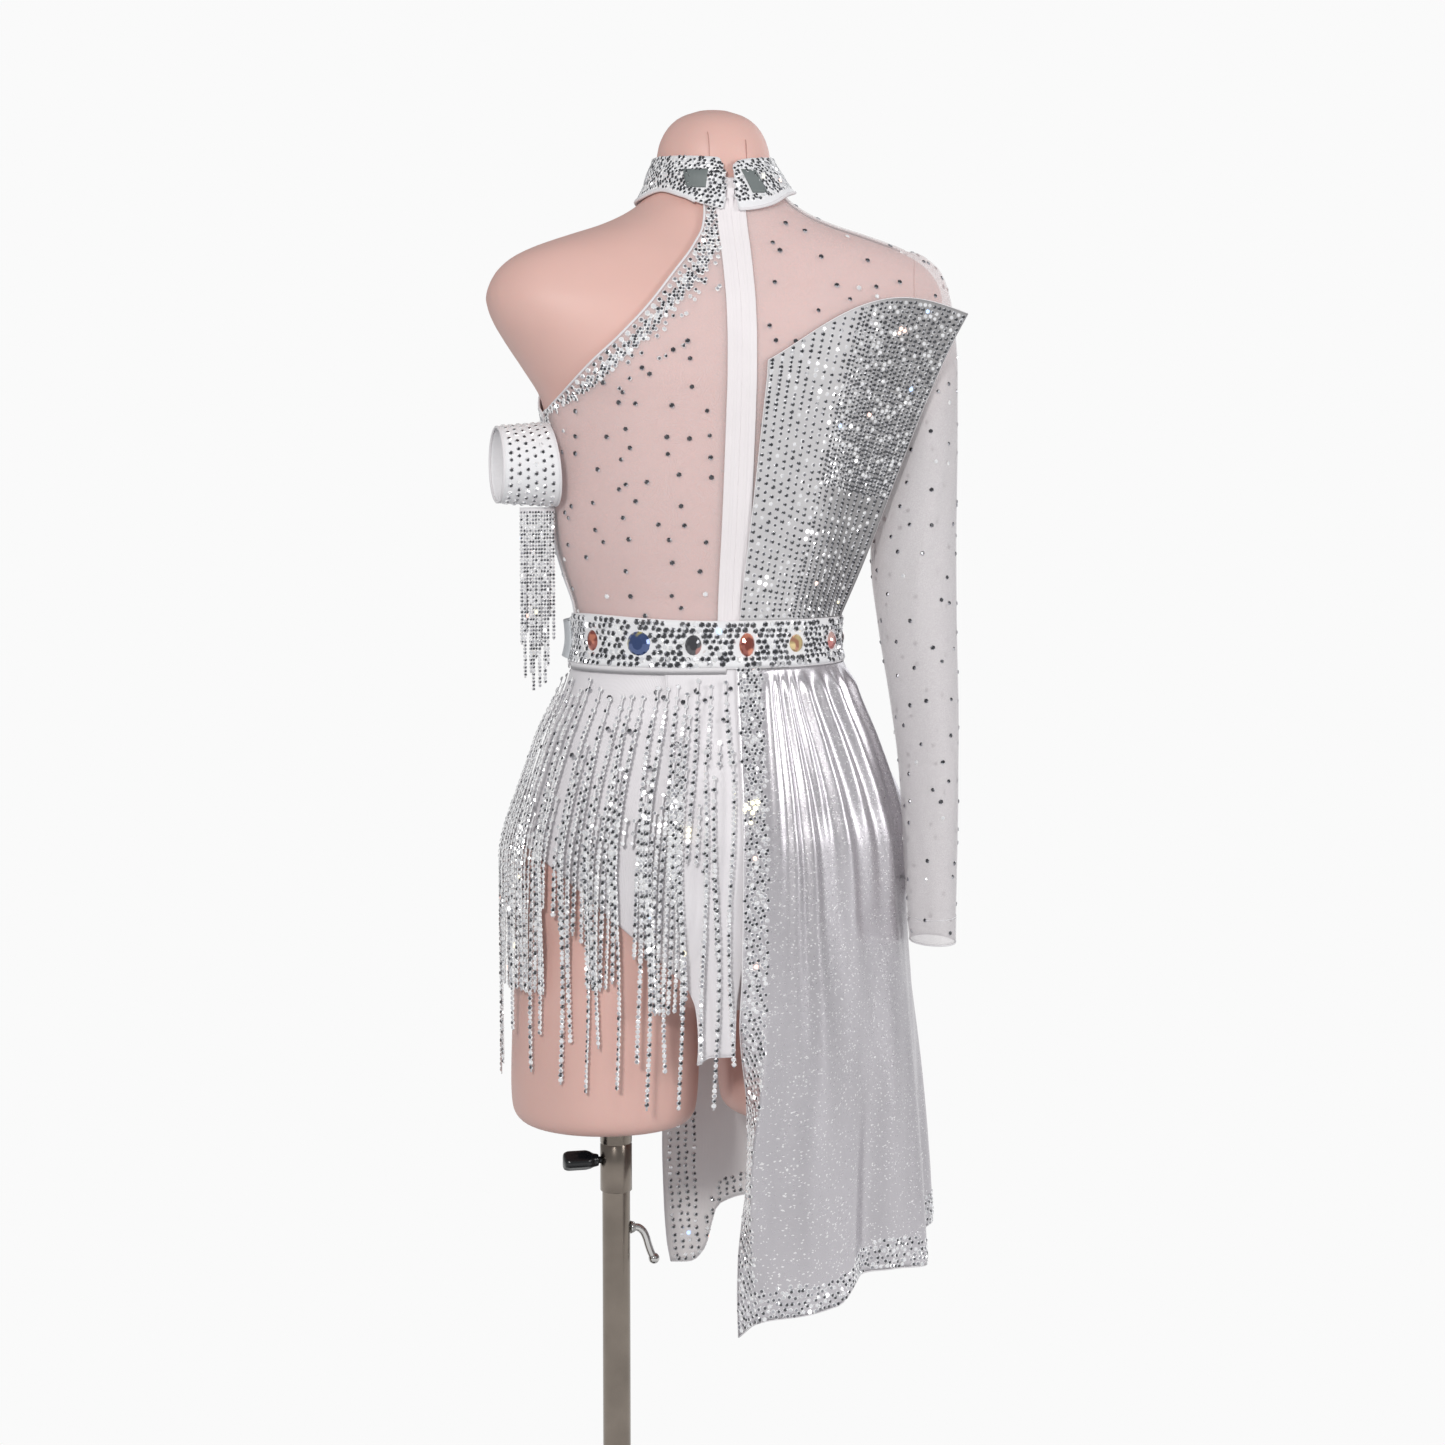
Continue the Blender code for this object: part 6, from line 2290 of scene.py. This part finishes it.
    def build(self, finishes: Finishes) -> None:
        """Builds and dresses the skirt.

        Args:
            finishes: The shared finishes.
        """
        patch = self.patch()
        skirt = hand_over(patch.object("half_skirt"), finishes.satin, Slot.SATIN, ["skirt"])
        skirt.data.materials.append(finishes.lining)
        skirt.modifiers["Wall"].material_offset = 1
        trims = [bed.finished(finishes) for bed in self.stones(patch)]
        for word, edge in (("back", Edge.START), ("front", Edge.END), ("hem", Edge.FOOT)):
            trims.append(piping(f"skirt_{word}_binding", patch, edge, 0.0006, finishes, 160))
        self.cut.declare(skirt, ["waist_belt"], trims)


@dataclass
class TailPanel:
    """The plain white tail under the fringe, beside the centre back."""

    tip: float = 0.007
    lines: SmoothTable = SmoothTable(("z", "left", "right", "back"), (
        (0.692, 0.0325, 0.0055, 0.0925), (0.734, 0.0368, 0.004, 0.0922), (0.7552, 0.0445, 0.001, 0.092),
        (0.785, 0.0482, -0.004, 0.0918), (0.826, 0.0503, -0.006, 0.0915), (0.87, 0.052, -0.006, 0.089),
        (1.0158, 0.056, -0.006, 0.05),
    ))
    cut: Cut = Cut(0.064, 0.335, Held.HUNG, 0.019)

    def place(self, across: float, up: float) -> Vector:
        """A point of the tail's inner face.

        Args:
            across: The share across.
            up: The share up.

        Returns:
            The point.
        """
        low, high = self.lines.starts[0], self.lines.starts[-1]
        z = between(low, high, up)
        left, right = self.lines.read("left", z), self.lines.read("right", z)
        x = between(left, right, across) + 0.0035 * bell(across, 0.2) * (1 - up) ** 24
        on_hip = FORM.off(FORM.angle_at(x, z), z, TAIL_OUT)
        fold = 0.0012 * bell(across - 0.45, 0.1) * (1 - blend(0.8, 0.9, z))
        back = max(self.lines.read("back", z) - 6 * x * x, on_hip.y) + fold
        return Vector((x, back, z - self.tip * bell(across, 0.16) * (1 - up) ** 12))

    def patch(self) -> Patch:
        """The tail from its foot up to the belt."""
        return Patch(self.place, 30, 90, 0.0009)

    def build(self, finishes: Finishes) -> None:
        """Builds and dresses the tail.

        Args:
            finishes: The shared finishes.
        """
        patch = self.patch()
        tail = hand_over(patch.object("white_tail"), finishes.lycra, Slot.LYCRA, ["tail_panel"])
        trims = [piping(f"tail_{word}_hem", patch, edge, 0.0007, finishes)
                 for word, edge in (("left", Edge.START), ("foot", Edge.FOOT))]
        self.cut.declare(tail, ["waist_belt"], trims)


@dataclass(frozen=True)
class Strand:
    """One string of stones round the hip: its angle, the heights of its ends, its lift and its twist."""

    angle: float
    start: float
    end: float
    lift: float = 0.0
    twist: float = 0.0


@dataclass
class HipFringe:
    """Strings of stones from a narrow strip under the belt, over the left hip.

    The distances to the side are where the strings leave the hip. A bare place has no strings below its
    height, a block is closely stoned down to its own, and each long end is one string's own length. Every
    third string starts high, under the strip, and the others start lower down.
    """

    name: str
    node: str
    first: float
    last: float
    seed: int
    long_ends: tuple[Pair, ...]
    blocks: tuple[Triple, ...]
    bare: tuple[Triple, ...] = ()
    pitch: float = 0.0042
    spacing: float = 0.005
    strip: float = 0.005
    stone: float = 0.0023
    tape_width: float = 0.0016
    high_top: float = 0.997
    low_top: float = 0.91
    long_top: float = 0.96
    open_share: float = 0.16
    open_width: float = 1.6
    twist: float = 0.7
    usual_ends: tuple[float, ...] = (0.8, 0.775, 0.79, 0.76, 0.745, 0.812)

    def hang_point(self, angle: float) -> Vector:
        """Where a string leaves the hip and hangs straight."""
        return FORM.off(angle, HANG_FROM, FRINGE_OUT + 0.0034)

    def ends(self, x: float, dice: random.Random) -> Pair:
        """How far an ordinary string falls there, and how wide a space it takes.

        Args:
            x: Its distance to the side.
            dice: The fringe's own seeded dice.

        Returns:
            The height of its end, and its share of the usual spacing.
        """
        for low, high, end in self.bare:
            if low < x < high:
                return end + dice.uniform(0.0, 0.012), 1.0
        for low, high, end in self.blocks:
            if low < x < high:
                return end + dice.uniform(-0.0025, 0.0015), 0.74
        return dice.choice(self.usual_ends) + dice.uniform(-0.006, 0.006), 1.0

    def strands(self) -> list[Strand]:
        """Places the strings at even lengths round the hip, with the long ones between them.

        Returns:
            The strings.
        """
        dice = random.Random(self.seed)
        steps = 480
        angles = [radians(self.first + (self.last - self.first) * i / steps) for i in range(steps + 1)]
        places = [self.hang_point(angle) for angle in angles]
        run = lengths(places)
        made, along, order = [], 0.0015, 0
        while along < run[-1]:
            angle = angles[min(bisect_right(run, along), steps)]
            end, share = self.ends(self.hang_point(angle).x, dice)
            high = order % 3 == 0
            if high:
                start = self.high_top + dice.uniform(-0.01, 0.009)
            else:
                start = self.low_top + dice.uniform(-0.045, 0.05)
            lift, twist = 0.0006 * (order % 2), dice.uniform(-self.twist, self.twist)
            made.append(Strand(angle, max(start, end + 0.02), end, lift, twist))
            wide = self.open_width if share == 1.0 and dice.random() < self.open_share else 1.0
            along += self.spacing * share * wide * dice.uniform(0.92, 1.08)
            order += 1
        for x, end in self.long_ends:
            near = min(range(steps + 1), key=lambda i: abs(places[i].x - x))
            start = self.long_top + dice.uniform(-0.05, 0.03)
            made.append(Strand(angles[near], start, end, 0.0014, dice.uniform(-self.twist, self.twist)))
        return made

    def point(self, strand: Strand, z: float) -> tuple[Vector, Vector]:
        """A point on a string and the direction that its stones face.

        Args:
            strand: The string.
            z: The height.

        Returns:
            The point and the direction.
        """
        level = max(z, HANG_FROM)
        out = FRINGE_OUT + 0.0009 + strand.lift + 0.0025 * (1 - blend(0.95, 1.0, level))
        out += 0.005 * bell(strand.angle, 0.4) * (1 - blend(0.85, 0.93, level))
        sway = 0.0016 * sin(37 * strand.angle + 22 * z) * blend(1.0, 0.93, z)
        angle = strand.angle + sway / 0.12
        facing = FORM.normal(angle, level)
        point = FORM.off(angle, level, out)
        if z < HANG_FROM:
            flat = Vector((facing.x, facing.y, 0.0)).normalized()
            flat = Matrix.Rotation(strand.twist, 3, "Z") @ flat
            facing = facing.lerp(flat, blend(HANG_FROM, HANG_FROM - 0.05, z))
            point.z = z
        return point + FORM_SHIFT, facing

    def tapes(self, strands: Sequence[Strand]) -> Object:
        """The narrow tapes under the stones, with the strip that they hang from.

        Args:
            strands: The strings.

        Returns:
            All of them as one mesh.
        """
        bm = bmesh.new()
        for strand in strands:
            top, foot = strand.start + 0.002, strand.end - 0.001
            made = bmesh.ops.create_grid(bm, x_segments=1, y_segments=26, size=0.5)["verts"]
            for vertex in made:
                point, facing = self.point(strand, between(foot, top, vertex.co.y + 0.5))
                aside = Vector((0.0, 0.0, 1.0)).cross(facing).normalized()
                vertex.co = point + aside * (self.tape_width * vertex.co.x) - facing * 0.0006
        bmesh.ops.solidify(bm, geom=bm.faces[:], thickness=-TAPE_WALL)
        made = bmesh.ops.create_grid(bm, x_segments=120, y_segments=1, size=0.5)
        for vertex in made["verts"]:
            angle = radians(between(self.first, self.last, vertex.co.x + 0.5))
            down = 0.5 - vertex.co.y
            vertex.co = FORM.off(angle, SKIRT_TOP - self.strip * down, FRINGE_OUT - 0.002 * down) + FORM_SHIFT
        strip_faces = list({face for vertex in made["verts"] for face in vertex.link_faces})
        bmesh.ops.solidify(bm, geom=strip_faces, thickness=-STRIP_WALL)
        bmesh.ops.recalc_face_normals(bm, faces=bm.faces)
        return object_of(f"{self.name}_tapes", bm)

    def build(self, finishes: Finishes) -> list[Object]:
        """Builds and dresses the fringe.

        Args:
            finishes: The shared finishes.

        Returns:
            Its pieces.
        """
        strands = self.strands()
        tapes = hand_over(self.tapes(strands), finishes.piping, Slot.STONES, [self.node])
        flashes = flashing((0.0165, 0.9546, 0.9), (0.045, 0.8838, 0.5))
        bed = StoneBed(f"{self.name}_stones", self.seed + 1, self.stone, flashes)
        for order, strand in enumerate(strands):
            # Stones along a string alternate a light and a darker tone, partly painted reflection.
            z, tones = strand.start, [Tone.LIGHT, Tone.DARK if order % 2 else Tone.MIXED]
            while z > strand.end:
                bed.put(*self.point(strand, z), tone=tones[0])
                tones.reverse()
                loose = 1.0 + 1.3 * blend(strand.start - 0.03, strand.start, z)
                z -= self.pitch * loose * bed.dice.uniform(0.94, 1.06)
        for strand in strands[::2]:
            single = Strand(strand.angle + 0.02, 0.0, 0.0, -0.001)
            if strand.start < 0.985:
                bed.put(*self.point(single, bed.dice.uniform(max(strand.start, 0.93), 1.005)), tone=Tone.LONE)
        return [tapes, bed.finished(finishes)]


@dataclass
class Armband:
    """The stoned loop pinned at the left side, with its own short fringe."""

    y: float = 0.01
    z: float = 1.187
    outer_x: float = 0.189
    inner_radius: float = 0.0335
    outer_radius: float = 0.0305
    wall: float = 0.0016
    fringe_from: float = 0.17
    string_pitch: float = 0.0031
    string_width: float = 0.0014
    sway: float = 0.002
    stone_rows: int = 6
    stones_round: int = 29
    ends: tuple[float, ...] = (
        1.036, 1.008, 1.046, 1.012, 0.998, 1.024, 1.001, 1.034, 1.003, 1.018, 1.06, 1.04,
    )
    cut: Cut = Cut(0.205, 0.046, Held.HUNG, 0.0088)

    def beside_bodice(self, z: float) -> float:
        """How far to the left the loop must be at that height to just clear the bodice."""
        return FORM.at("half_width", z) + BODICE_OUT + 0.0018

    def place(self, across: float, up: float) -> Vector:
        """A point of the loop's inner face.

        Args:
            across: The share across.
            up: The share up.

        Returns:
            The point.
        """
        turn = 2 * pi * across
        radius = between(self.inner_radius, self.outer_radius, up)
        y, z = self.y + radius * cos(turn), self.z + radius * sin(turn)
        start = self.beside_bodice(z)
        return Vector((between(start, self.outer_x, up), y, z))

    def patch(self) -> Patch:
        """The loop, from the bodice to its free end."""
        return Patch(self.place, 96, 16, self.wall)

    def fringe(self, finishes: Finishes) -> list[Object]:
        """The strings that hang from the loop, stoned on both sides.

        Args:
            finishes: The shared finishes.

        Returns:
            The strings' tapes and stones.
        """
        low = self.z - self.inner_radius - 0.0024
        first, last = self.beside_bodice(low) + 0.0015, self.fringe_from
        bed = StoneBed("armband_fringe_stones", 92, 0.0016)
        bm = bmesh.new()
        for order, end in enumerate(self.ends):
            x = last + (first - last) * (order + 0.5) / len(self.ends)
            swing = self.sway * sin(2.4 * order)
            made = bmesh.ops.create_grid(bm, x_segments=1, y_segments=16, size=0.5)["verts"]
            for vertex in made:
                share = 0.5 - vertex.co.y
                y, z = self.y + swing * share, low - (low - end) * share
                vertex.co = Vector((x + self.string_width * vertex.co.x, y, z)) + FORM_SHIFT
            z = low - 0.004
            while z > end:
                sway = swing * (low - z) / (low - end)
                for side in (1, -1):
                    point = Vector((x, self.y + sway + side * 0.0004, z)) + FORM_SHIFT
                    bed.put(point, Vector((0.12 * sin(z * 900), side, 0.0)).normalized())
                z -= self.string_pitch
        bmesh.ops.solidify(bm, geom=bm.faces[:], thickness=-TAPE_WALL)
        strip = bmesh.ops.create_cube(bm, size=1.0)["verts"]
        bmesh.ops.scale(bm, vec=(last - first, 0.0016, 0.005), verts=strip)
        centre = Vector(((first + last) / 2, self.y, low - 0.0025)) + FORM_SHIFT
        bmesh.ops.translate(bm, vec=centre, verts=strip)
        bmesh.ops.recalc_face_normals(bm, faces=bm.faces)
        tapes = object_of("armband_fringe_tapes", bm)
        hand_over(tapes, finishes.piping, Slot.STONES, ["armband_fringe"])
        return [tapes, bed.finished(finishes)]

    def build(self, finishes: Finishes) -> None:
        """Builds and dresses the loop and its fringe.

        Args:
            finishes: The shared finishes.
        """
        patch = self.patch()
        loop = hand_over(patch.object("arm_loop"), finishes.band, Slot.STONES, ["armband"])
        bed = StoneBed("arm_loop_stones", 91, 0.0024)
        for row in range(self.stone_rows):
            up = 0.13 + 0.74 * row / (self.stone_rows - 1)
            for order in range(self.stones_round):
                across = (order + 0.5 * (row % 2) + bed.dice.uniform(-0.12, 0.12)) / self.stones_round
                bed.put(*patch.spot(across % 1.0, up, SEATED), tone=Tone.RING)
        trims = [bed.finished(finishes), *self.fringe(finishes)]
        for word, edge in (("free", Edge.HEAD), ("sewn", Edge.FOOT)):
            trims.append(piping(f"arm_loop_{word}_binding", patch, edge, 0.0012, finishes, 96, closed=True))
        self.cut.declare(loop, ["bodice_front", "bodice_back_left"], trims)


@dataclass
class PoleStand:
    """The pole with its hook and base, and the clamp that carries the form."""

    base_radius: float = 0.175
    base_thickness: float = 0.008
    hub_radius: float = 0.024
    hub_top: float = 0.038
    knob_z: float = 0.5895
    hook_z: float = 0.5285
    hook_radius: float = 0.0033
    hook_ball: float = 0.0048
    hook_route: tuple[Pair, ...] = (
        (0.0123, 0.0), (0.0185, -0.0004), (0.0235, -0.004), (0.0265, -0.01), (0.0285, -0.017),
        (0.031, -0.024), (0.0335, -0.029),
    )

    def knob(self) -> Object:
        """The thumb screw with its three-lobed grip.

        Returns:
            The screw.
        """
        reach = SmoothTable(("x", "radius"), (
            (0.0126, 0.003), (0.0155, 0.003), (0.016, 0.005), (0.02, 0.006), (0.0235, 0.0076),
            (0.0275, 0.0081), (0.041, 0.0081), (0.0448, 0.0071), (0.0464, 0.0048), (0.0466, 0.0005),
        ))
        low, high = reach.starts[0], reach.starts[-1]

        def place(turned_by: float, along: float) -> Vector:
            """A point of the screw's skin."""
            turn, x = 2 * pi * turned_by, between(low, high, along)
            radius = reach.read("radius", x) * (1 + 0.14 * blend(0.019, 0.027, x) * cos(3 * turn))
            return Vector((x, radius * cos(turn), self.knob_z + radius * sin(turn)))

        return closed_skin("knob_grip", 72, 60, place)

    def hook(self) -> Object:
        """The bent rod on the pole, with a boss at its root and a ball at its tip.

        Returns:
            The hook.
        """
        route = SmoothTable(("x", "z"), self.hook_route)
        low, high = route.starts[0], route.starts[-1]
        steps = 28
        places = [low + (high - low) * i / steps for i in range(steps + 1)]
        points = [Vector((-x, 0.0, self.hook_z + route.read("z", x))) for x in places]
        rod = tube("hook_rod", points, self.hook_radius, resolution=4)
        bm = bmesh.new()
        bmesh.ops.create_cone(bm, cap_ends=True, segments=40, radius1=0.0058, radius2=0.0043, depth=0.004)
        softened(bm)
        turn = Matrix.Rotation(-pi / 2, 4, "Y")
        turn.translation = Vector((-(low + 0.002), 0.0, self.hook_z))
        bmesh.ops.transform(bm, matrix=turn, verts=bm.verts)
        ball = bmesh.ops.create_uvsphere(bm, u_segments=32, v_segments=20, radius=self.hook_ball)["verts"]
        bmesh.ops.translate(bm, vec=points[-1], verts=ball)
        return joined("coat_hook", [rod, object_of("hook_ends", bm)])

    def clamp(self) -> Object:
        """The steel tube under the form, with a head that carries it and a pinch line.

        Returns:
            The tube.
        """
        bore, head, under, wide, soft, pinch = 0.0123, 0.0225, CLAMP_TOP - 0.006, CLAMP_RADIUS, 0.0006, 0.0004
        return turned("clamp_tube", (
            (bore, CLAMP_TOP), (head - soft, CLAMP_TOP), (head, CLAMP_TOP - soft), (head, under + soft),
            (head - soft, under), (wide, under), (wide, 0.605), (wide - pinch, 0.6044),
            (wide - pinch, 0.6036), (wide, 0.603), (wide, CLAMP_BOTTOM + 0.0008), (wide - soft, CLAMP_BOTTOM),
            (bore, CLAMP_BOTTOM), (bore, CLAMP_TOP)))

    def build(self, finishes: Finishes) -> None:
        """Builds and dresses the stand, the clamp and the knob.

        Args:
            finishes: The shared finishes.
        """
        foot, bore = self.base_thickness + PLAY, POLE_RADIUS + PLAY
        radius, rim, thick, soft = self.base_radius, 0.0022, self.base_thickness, 0.0008
        rounded_rim = [(radius - rim + rim * sin(t), thick - rim + rim * cos(t))
                       for t in (i * pi / 12 for i in range(7))]
        underside = (radius, soft), (radius - soft, 0.0), (0.0, 0.0)
        plate = turned("base_disc", [(0.0, thick), *rounded_rim, *underside], 128)
        hand_over(plate, finishes.powder_black, Slot.PLASTIC, ["base_plate"], Body.STAND)
        top, wide = self.hub_top, self.hub_radius
        hub = turned("hub_collar", (
            (bore, top), (wide - 0.009, top), (wide - 0.0078, top - 0.0012), (wide - 0.006, top - 0.004),
            (wide - 0.0046, foot + 0.012), (wide - 0.002, foot + 0.0045), (wide + 0.005, foot + 0.002),
            (wide + 0.006, foot + 0.0012), (wide + 0.006, foot), (bore, foot), (bore, top)))
        hand_over(hub, finishes.gunmetal, Slot.STEEL, ["base_hub"], Body.STAND)
        pole = turned("pole_tube", (
            (0.0, POLE_TOP), (POLE_RADIUS - 0.0006, POLE_TOP), (POLE_RADIUS, POLE_TOP - 0.0006),
            (POLE_RADIUS, foot), (0.0, foot)))
        hand_over(pole, finishes.gunmetal, Slot.STEEL, ["pole"], Body.STAND)
        hand_over(self.hook(), finishes.chrome, Slot.STEEL, ["pole_hook"], Body.STAND)
        hand_over(self.clamp(), finishes.gunmetal, Slot.STEEL, ["clamp_sleeve"], Body.CLAMP)
        hand_over(self.knob(), finishes.gloss_black, Slot.PLASTIC, ["clamp_knob"], Body.KNOB)


@dataclass(frozen=True)
class Lamp:
    """One soft light: its name, its place, its side in metres, its power in watts and its colour."""

    name: str
    place: Triple
    size: float
    energy: float
    colour: Colour


@dataclass
class Studio:
    """The plain pale floor, the white backdrop, the soft lights and the camera."""

    camera_place: Triple = (0.60296, 2.6051, 1.23)
    bearing: float = 195.0
    tilt: float = 5.6055
    lens: float = 78.6
    floor_radius: float = 6.5
    backdrop_radius: float = 7.0
    ambient: float = 0.42
    aim: Triple = (-0.088, 0.0, 1.05)
    lamps: tuple[Lamp, ...] = (
        Lamp("key_light", (1.3, 2.65, 2.08), 0.35, 44.0, (1.0, 0.985, 0.965)),
        Lamp("fill_light", (-2.2, -1.6, 1.9), 1.8, 14.0, (0.97, 0.98, 1.0)),
        Lamp("side_light", (-1.95, 1.75, 1.65), 0.9, 19.0, (1.0, 0.99, 0.985)),
    )

    def camera(self) -> None:
        """Sets the camera at the photograph's place, looking the way it looked."""
        turn, tilt = radians(self.bearing), radians(self.tilt)
        look = Vector((sin(turn) * cos(tilt), cos(turn) * cos(tilt), -sin(tilt)))
        data = bpy.data.cameras.new("photo_camera")
        data.sensor_width, data.lens, data.clip_end = 36.0, self.lens, 60.0
        camera = bpy.data.objects.new("photo_camera", data)
        camera.location = self.camera_place
        camera.rotation_euler = look.to_track_quat("-Z", "Y").to_euler()
        bpy.context.scene.collection.objects.link(camera)
        bpy.context.scene.camera = camera

    def light(self, lamp: Lamp) -> None:
        """Adds one soft light that faces the dress.

        Args:
            lamp: The light.
        """
        data = bpy.data.lights.new(lamp.name, "AREA")
        data.size, data.energy, data.color = lamp.size, lamp.energy, lamp.colour
        made = bpy.data.objects.new(lamp.name, data)
        made.location = lamp.place
        made.rotation_euler = (Vector(self.aim) - Vector(lamp.place)).to_track_quat("-Z", "Y").to_euler()
        bpy.context.scene.collection.objects.link(made)

    def build(self) -> None:
        """Builds the floor, the backdrop, the lights, the world and the camera."""
        bm = bmesh.new()
        bmesh.ops.create_circle(bm, cap_ends=True, segments=96, radius=self.floor_radius)
        floor = object_of("studio_floor", bm)
        floor.data.materials.append(PaleFloor().make())
        floor.visible_diffuse = False
        bm = bmesh.new()
        bmesh.ops.create_uvsphere(bm, u_segments=48, v_segments=24, radius=self.backdrop_radius)
        dome = object_of("studio_backdrop", bm)
        dome.data.materials.append(WhiteBackdrop().make())
        dome.visible_diffuse = dome.visible_glossy = dome.visible_transmission = False
        dome.visible_volume_scatter = dome.visible_shadow = False
        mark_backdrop(floor, dome)
        world = bpy.data.worlds.new("studio_light")
        world.use_nodes = True
        sky = world.node_tree.nodes["Background"]
        sky.inputs["Color"].default_value = (0.97, 0.98, 1.0, 1.0)
        sky.inputs["Strength"].default_value = self.ambient
        bpy.context.scene.world = world
        for lamp in self.lamps:
            self.light(lamp)
        bpy.context.scene.view_settings.view_transform = "Standard"
        self.camera()


def corners(box: Iterable[Iterable[float]]) -> list[list[float]]:
    """A box's corners as plain lists of numbers."""
    return [[float(value) for value in corner] for corner in box]


def main(cad_box: list[list[float]]) -> None:
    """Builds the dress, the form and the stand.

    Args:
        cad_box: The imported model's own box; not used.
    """
    logging.basicConfig(level=logging.INFO, format="%(name)s %(message)s")
    finishes = Finishes()
    Studio().build()
    form = DressForm()
    skin = form.skin()
    back = HipFringe(
        "back_fringe", "fringe_back", 1.0, 87.5, 81,
        long_ends=((0.1842, 0.6834), (0.1772, 0.6753), (0.173, 0.7084), (0.164, 0.6761), (0.1599, 0.7096),
                   (0.1453, 0.669), (0.1394, 0.706), (0.1271, 0.6636), (0.1185, 0.7017), (0.1042, 0.6673),
                   (0.0863, 0.6909), (0.0798, 0.6501), (0.0647, 0.6817), (0.0534, 0.6511), (0.034, 0.6886),
                   (0.0235, 0.6492), (0.0097, 0.6849)),
        blocks=((0.158, 0.18, 0.745), (0.112, 0.132, 0.752), (0.0517, 0.0826, 0.733), (0.083, 0.092, 0.779)),
        bare=((0.091, 0.104, 0.862), (0.035, 0.0505, 0.848), (0.012, 0.0215, 0.93), (0.0255, 0.032, 0.93)))
    front = HipFringe(
        "front_fringe", "fringe_front", -87.5, -1.0, 85,
        long_ends=((0.018, 0.655), (0.045, 0.682), (0.075, 0.65), (0.102, 0.695), (0.13, 0.66),
                   (0.155, 0.672), (0.176, 0.664)),
        blocks=((0.04, 0.07, 0.74), (0.125, 0.15, 0.748)), bare=((0.082, 0.092, 0.86),))
    fringes = [*back.build(finishes), *front.build(finishes)]
    Briefs().build(finishes, skin, fringes)
    form.build(finishes, skin)
    bodice = Bodice()
    bodice.build(finishes)
    Collar().build(finishes)
    WingPanel().build(finishes)
    Sleeve().build(finishes, bodice)
    Belt().build(finishes)
    HalfSkirt().build(finishes)
    TailPanel().build(finishes)
    Armband().build(finishes)
    PoleStand().build(finishes)
    bpy.context.view_layer.update()
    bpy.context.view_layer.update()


if __name__ == "__main__":
    main(corners(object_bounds()))
